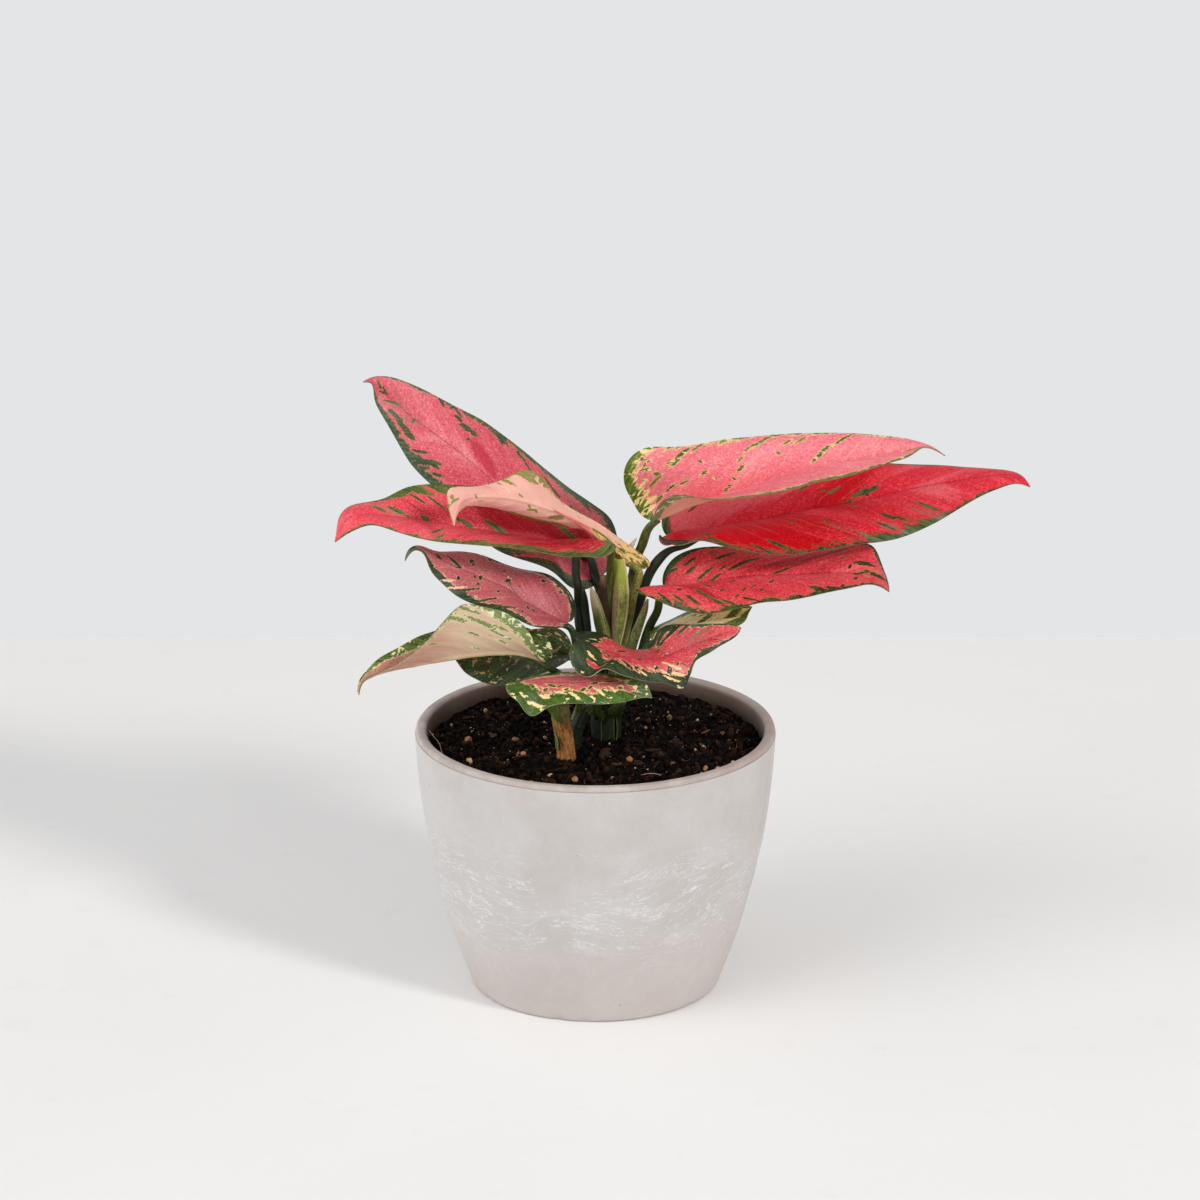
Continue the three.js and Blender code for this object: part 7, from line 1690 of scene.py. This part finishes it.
def lump(rng, size, flat=1.0, stretch=1.0, rough=0.25, level=1):
    """A small irregular grain: a rounded block pushed about by noise; returns points and faces."""
    if level == 1:
        t = (1 + 5**0.5) / 2
        v = np.array([(-1, t, 0), (1, t, 0), (-1, -t, 0), (1, -t, 0), (0, -1, t), (0, 1, t), (0, -1, -t), (0, 1, -t), (t, 0, -1), (t, 0, 1), (-t, 0, -1), (-t, 0, 1)], float)
        f = [(0, 11, 5), (0, 5, 1), (0, 1, 7), (0, 7, 10), (0, 10, 11), (1, 5, 9), (5, 11, 4), (11, 10, 2), (10, 7, 6), (7, 1, 8), (3, 9, 4), (3, 4, 2), (3, 2, 6), (3, 6, 8), (3, 8, 9), (4, 9, 5), (2, 4, 11), (6, 2, 10), (8, 6, 7), (9, 8, 1)]
    else:
        v, f = ICO2
    v = normalise(v)
    v = v * (1 + rough * (rng.rand(len(v), 1) * 2 - 1))
    v = v * np.array([stretch, 1.0, flat])
    q4 = rng.randn(4)
    w, x, y, z = q4 / np.linalg.norm(q4)
    Rm = np.array([[1 - 2 * (y * y + z * z), 2 * (x * y - z * w), 2 * (x * z + y * w)],
                   [2 * (x * y + z * w), 1 - 2 * (x * x + z * z), 2 * (y * z - x * w)],
                   [2 * (x * z - y * w), 2 * (y * z + x * w), 1 - 2 * (x * x + y * y)]])
    # most grains lie fairly flat
    if flat < 0.8:
        yaw = rng.rand() * 2 * math.pi
        tilt = rng.randn() * 0.45
        cz, sz, ct, st = math.cos(yaw), math.sin(yaw), math.cos(tilt), math.sin(tilt)
        Rm = np.array([[cz, -sz, 0], [sz, cz, 0], [0, 0, 1]]) @ np.array([[1, 0, 0], [0, ct, -st], [0, st, ct]])
    return (v @ Rm.T) * size, f


def _ico2():
    t = (1 + 5**0.5) / 2
    v = [(-1, t, 0), (1, t, 0), (-1, -t, 0), (1, -t, 0), (0, -1, t), (0, 1, t), (0, -1, -t), (0, 1, -t), (t, 0, -1), (t, 0, 1), (-t, 0, -1), (-t, 0, 1)]
    f = [(0, 11, 5), (0, 5, 1), (0, 1, 7), (0, 7, 10), (0, 10, 11), (1, 5, 9), (5, 11, 4), (11, 10, 2), (10, 7, 6), (7, 1, 8), (3, 9, 4), (3, 4, 2), (3, 2, 6), (3, 6, 8), (3, 8, 9), (4, 9, 5), (2, 4, 11), (6, 2, 10), (8, 6, 7), (9, 8, 1)]
    v = [np.array(p) / np.linalg.norm(p) for p in v]
    cache, out = {}, []

    def mid(a, b):
        k = (min(a, b), max(a, b))
        if k not in cache:
            m = (v[a] + v[b]) / 2
            v.append(m / np.linalg.norm(m))
            cache[k] = len(v) - 1
        return cache[k]

    for a, b, c in f:
        ab, bc, ca = mid(a, b), mid(b, c), mid(c, a)
        out += [(a, ab, ca), (b, bc, ab), (c, ca, bc), (ab, bc, ca)]
    return np.array(v), out


ICO2 = _ico2()


def scatter(name, count, seed, size, flat, stretch, rough, level, lift, clear, spread=None, rmax=65.6, smooth=False):
    """Grains strewn over the potting mix, joined into one piece."""
    rng = np.random.RandomState(seed)
    V, F, shade = [], [], []
    base = 0
    stems = [(-11.8, -20.6, 4.6), (-9.4, -12.2, 3.4), (4.1, 0.9, 7.2)]
    placed = 0
    while placed < count:
        if spread is None:
            r = rmax * math.sqrt(rng.rand())
            t = rng.rand() * 2 * math.pi
            x, y = r * math.cos(t), r * math.sin(t)
        else:
            cx, cy, cs = spread[rng.randint(len(spread))]
            x, y = cx + rng.randn() * cs, cy + rng.randn() * cs
            if math.hypot(x, y) > rmax:
                continue
        if any(math.hypot(x - sx, y - sy) < sr + clear for sx, sy, sr in stems):
            continue
        s = size[0] + (size[1] - size[0]) * rng.rand() ** 2.2
        st = 1 + (stretch - 1) * rng.rand()
        if math.hypot(x, y) + s * st > 67.3:
            continue
        pts, f = lump(rng, s, flat if flat >= 0.8 else flat * (0.7 + 0.6 * rng.rand()), st, rough, level)
        z = float(soil_surface(np.array([x]), np.array([y]))[0])
        low = -pts[:, 2].min()
        pts = pts + np.array([x, y, z + low * lift])
        V.append(pts)
        F += [(a + base, b + base, c + base) for a, b, c in f]
        base += len(pts)
        shade += [rng.rand()] * len(pts)
        placed += 1
    ob = new_mesh(name, np.vstack(V), F, smooth=smooth)
    add_attribute(ob.data, "shade", "FLOAT", "POINT", shade)
    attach(ob, "root")
    return ob


def grain_material(name, tones, rough, bump=0.5, scale=1.6, spec=0.35):
    q = Nodes(name)
    P = q.object_mm()
    sh = q.attr("shade", "Fac")
    n = q.noise(P, scale, 3.0, 0.65)
    col = q.mix(q.step(sh, 0.15, 0.55), lin(*tones[0]), lin(*tones[1]))
    col = q.mix(q.step(sh, 0.6, 0.97), col, lin(*tones[2]))
    col = q.mix(q.step(n, 0.42, 0.70, 0.0, 0.6), col, lin(*tones[3]))
    q.finish(col, q.m("ADD", rough, q.m("MULTIPLY", n, 0.15)), q.bump(n, bump, 0.0004), spec=spec)
    return q.mat


N = 1.0
crumbs = scatter("soil_crumbs", int(3400 * N), 11, (0.35, 1.5), 1.0, 1.7, 0.36, 1, 0.35, -1.2)
crumbs.data.materials.append(grain_material("peat_crumbs", ((8, 5, 3), (21, 12, 7), (54, 31, 18), (11, 6, 4)), 0.65, spec=0.07))
lumps_ = scatter("soil_lumps", int(220 * N), 12, (1.0, 2.1), 1.0, 1.5, 0.26, 2, 0.10, 0.0)
lumps_.data.materials.append(grain_material("peat_lumps", ((6, 4, 3), (15, 8, 5), (32, 17, 10), (8, 5, 3)), 0.7, 0.9, 1.2, 0.06))
bark = scatter("soil_bark_chips", int(150 * N), 13, (0.6, 1.9), 0.34, 2.3, 0.22, 2, 0.55, 0.5)
bark.data.materials.append(grain_material("bark_chips", ((22, 12, 7), (48, 28, 16), (110, 72, 42), (30, 17, 9)), 0.62, 0.9, 0.9, 0.2))
fibre_pts = []


def make_fibres(count, seed):
    """Short bent peat fibres and rootlets lying on the surface."""
    rng = np.random.RandomState(seed)
    V, F, base = [], [], 0
    for _ in range(count):
        r, t = 64 * math.sqrt(rng.rand()), rng.rand() * 2 * math.pi
        x, y = r * math.cos(t), r * math.sin(t)
        if any(math.hypot(x - sx, y - sy) < sr for sx, sy, sr in ((-11.8, -20.6, 5), (-9.4, -12.2, 4), (4.1, 0.9, 8.5))):
            continue
        L = 2.5 + 6.5 * rng.rand() ** 1.5
        yaw, bend = rng.rand() * 2 * math.pi, rng.randn() * 0.9
        w = 0.09 + 0.10 * rng.rand()
        n = 7
        pts = []
        px, py, h = x, y, yaw
        for i in range(n):
            if math.hypot(px, py) > 66:
                px, py = px * 66 / math.hypot(px, py), py * 66 / math.hypot(px, py)
            z = float(soil_surface(np.array([px]), np.array([py]))[0]) + 0.35 + 0.5 * math.sin(math.pi * i / (n - 1)) * rng.rand()
            pts.append((px, py, z))
            px += math.cos(h) * L / n
            py += math.sin(h) * L / n
            h += bend / n + 0.25 * rng.randn()
        pts = np.array(pts)
        T = normalise(np.gradient(pts, axis=0))
        S = normalise(np.cross(T, np.array([0, 0, 1.0])))
        B = np.cross(S, T)
        for i in range(n):
            ww = w * (1 - 0.5 * i / (n - 1))
            for k in range(4):
                a = k * math.pi / 2
                V.append(pts[i] + S[i] * ww * math.cos(a) + B[i] * ww * math.sin(a))
        for i in range(n - 1):
            for k in range(4):
                m = (k + 1) % 4
                F.append((base + i * 4 + k, base + i * 4 + m, base + (i + 1) * 4 + m, base + (i + 1) * 4 + k))
        F.append((base + 3, base + 2, base + 1, base))
        e = base + (n - 1) * 4
        F.append((e, e + 1, e + 2, e + 3))
        base += n * 4
    ob = new_mesh("soil_fibres", np.array(V), F)
    add_attribute(ob.data, "shade", "FLOAT", "POINT", np.repeat(rng.rand(len(V) // 28 + 1), 28)[: len(V)])
    ob.data.materials.append(grain_material("peat_fibres", ((44, 24, 14), (84, 50, 28), (140, 96, 60), (60, 34, 20)), 0.6))
    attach(ob, "root")


make_fibres(int(260 * N), 21)
grit = scatter("soil_perlite", int(60 * N), 14, (0.35, 1.0), 1.0, 1.3, 0.22, 2, 0.75, 0.6)
grit.data.materials.append(grain_material("perlite_grains", ((150, 120, 86), (196, 168, 134), (226, 214, 196), (120, 88, 58)), 0.7, 0.9, 1.4))
# tiny pale specks: partly pale grains in the mix, partly painted glints standing for its sparkle
specks = scatter("soil_pale_grains_and_glints", int(420 * N), 15, (0.14, 0.40), 1.0, 1.4, 0.2, 1, 0.9, 0.5)
specks.data.materials.append(grain_material("pale_grains_and_glints", ((120, 86, 60), (176, 150, 126), (228, 222, 214), (140, 110, 84)), 0.6, 0.3, 2.0))

# a few bits that stand out in front and beside the stems
def stone(name, where, size, colours, seed, flat=0.9, stretch=1.25):
    rng = np.random.RandomState(seed)
    pts, f = lump(rng, size * 0.84, 1.0, stretch, 0.24, 2)
    pts[:, 2] *= flat
    z = float(soil_surface(np.array([where[0]]), np.array([where[1]]))[0])
    pts = pts + np.array([where[0], where[1], z - pts[:, 2].min() * 0.55])
    ob = new_mesh(name, pts, f)
    sub = ob.modifiers.new("round", "SUBSURF")
    sub.levels = sub.render_levels = 1
    add_attribute(ob.data, "shade", "FLOAT", "POINT", np.full(len(pts), 0.5))
    ob.data.materials.append(grain_material(name, colours, 0.6, 0.8, 0.9))
    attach(ob, "root")


tan = ((140, 92, 50), (176, 128, 76), (200, 158, 104), (84, 50, 26))
olive = ((84, 66, 30), (110, 88, 44), (126, 104, 56), (56, 42, 20))
cream = ((172, 134, 92), (204, 172, 130), (224, 200, 164), (110, 74, 42))
russet = ((120, 62, 30), (150, 84, 44), (170, 104, 60), (84, 44, 22))
# pixel-picked places of the larger grains are given here as points on the mix
stone("soil_stone_1", (13.5, -26.0), 1.9, tan, 31)
stone("soil_stone_2", (31.0, -31.5), 1.75, olive, 32)
stone("soil_stone_3", (43.5, -34.0), 1.35, tan, 33, 0.8, 1.5)
stone("soil_stone_4", (48.5, -34.5), 1.3, cream, 34, 0.8, 1.6)
stone("soil_stone_5", (-51.0, -3.0), 1.9, tan, 35)
stone("soil_stone_6", (-50.0, -22.5), 1.6, cream, 36, 0.8, 1.3)
stone("soil_stone_7", (-28.5, -21.0), 1.45, tan, 37, 1.0, 1.2)
stone("soil_stone_8", (-18.0, -41.0), 1.45, cream, 38, 0.8, 1.5)
stone("soil_stone_9", (-8.0, -47.0), 1.6, tan, 39, 0.9, 1.1)
stone("soil_stone_10", (-25.0, -47.0), 1.3, russet, 40)
stone("soil_stone_11", (25.0, -52.0), 1.35, russet, 41, 0.8, 1.6)
stone("soil_stone_12", (36.0, -44.0), 1.05, cream, 42)
stone("soil_stone_13", (-32.0, -2.0), 1.7, tan, 43, 0.7, 1.6)
stone("soil_stone_14", (30.0, 24.0), 1.6, olive, 44)
stone("soil_stone_15", (-20.0, 34.0), 1.7, tan, 45, 0.8, 1.4)
stone("soil_stone_16", (3.0, 46.0), 1.4, russet, 46, 0.8, 1.4)


# a root hair that hangs over the wall at the left
def hair(name, pts, r, colours):
    pts = np.array(pts, float)
    d = np.concatenate([[0], np.cumsum(np.linalg.norm(np.diff(pts, axis=0), axis=1))])
    P = spline(d, pts, np.linspace(0, d[-1], 40))
    ob = sweep(name, [tuple(p) + (r,) for p in P[::3]], lambda t, a, rr: (rr * np.sin(a), rr * np.cos(a)), (0, 0, 1), 60, 6)
    add_attribute(ob.data, "shade", "FLOAT", "POINT", np.full(len(ob.data.vertices), 0.9))
    ob.data.materials.append(grain_material(name, colours, 0.5, 0.2, 1.0))
    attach(ob, "root")


hair("soil_root_hair", [(-66.6, -1.0, 105.9), (-65.2, -4.5, 105.2), (-62.5, -9.5, 103.6), (-61.5, -14.0, 102.3), (-60.8, -17.5, 101.6)], 0.13, ((150, 124, 100), (176, 150, 124), (190, 168, 144), (140, 112, 88)))
hair("soil_root_hair_2", [(18.0, -42.5, 102.2), (20.5, -44.0, 103.3), (23.0, -43.6, 103.2), (25.8, -42.4, 102.0)], 0.12, ((150, 124, 100), (176, 150, 124), (190, 168, 144), (140, 112, 88)))


# ------------------------------------------------------------------------------------------------
# Floor
# ------------------------------------------------------------------------------------------------
def make_floor():
    nx, ny = 60, 60
    X = np.linspace(-1700, 1700, nx)
    Y = np.concatenate([np.linspace(-2100, 430, ny)])
    verts = [(x, y, -0.05) for y in Y for x in X]
    faces = [(j * nx + i, j * nx + i + 1, (j + 1) * nx + i + 1, (j + 1) * nx + i) for j in range(ny - 1) for i in range(nx - 1)]
    ob = new_mesh("floor", verts, faces, smooth=False)
    q = Nodes("white_table")
    P = q.object_mm()
    n = q.noise(P, 0.004, 3.0, 0.5)
    n2 = q.noise(P, 0.05, 3.0, 0.6)
    col = q.mix(q.step(n, 0.3, 0.7), lin(*FLOOR_A), lin(*FLOOR_B))
    col = q.mix(q.step(n2, 0.62, 0.7, 0.0, 0.10), col, lin(225, 222, 218))
    q.finish(col, 0.55, q.bump(n2, 0.1, 0.0002), spec=0.2)
    ob.data.materials.append(q.mat)


FLOOR_A, FLOOR_B = (241, 240, 238), (244, 243, 241)
make_floor()
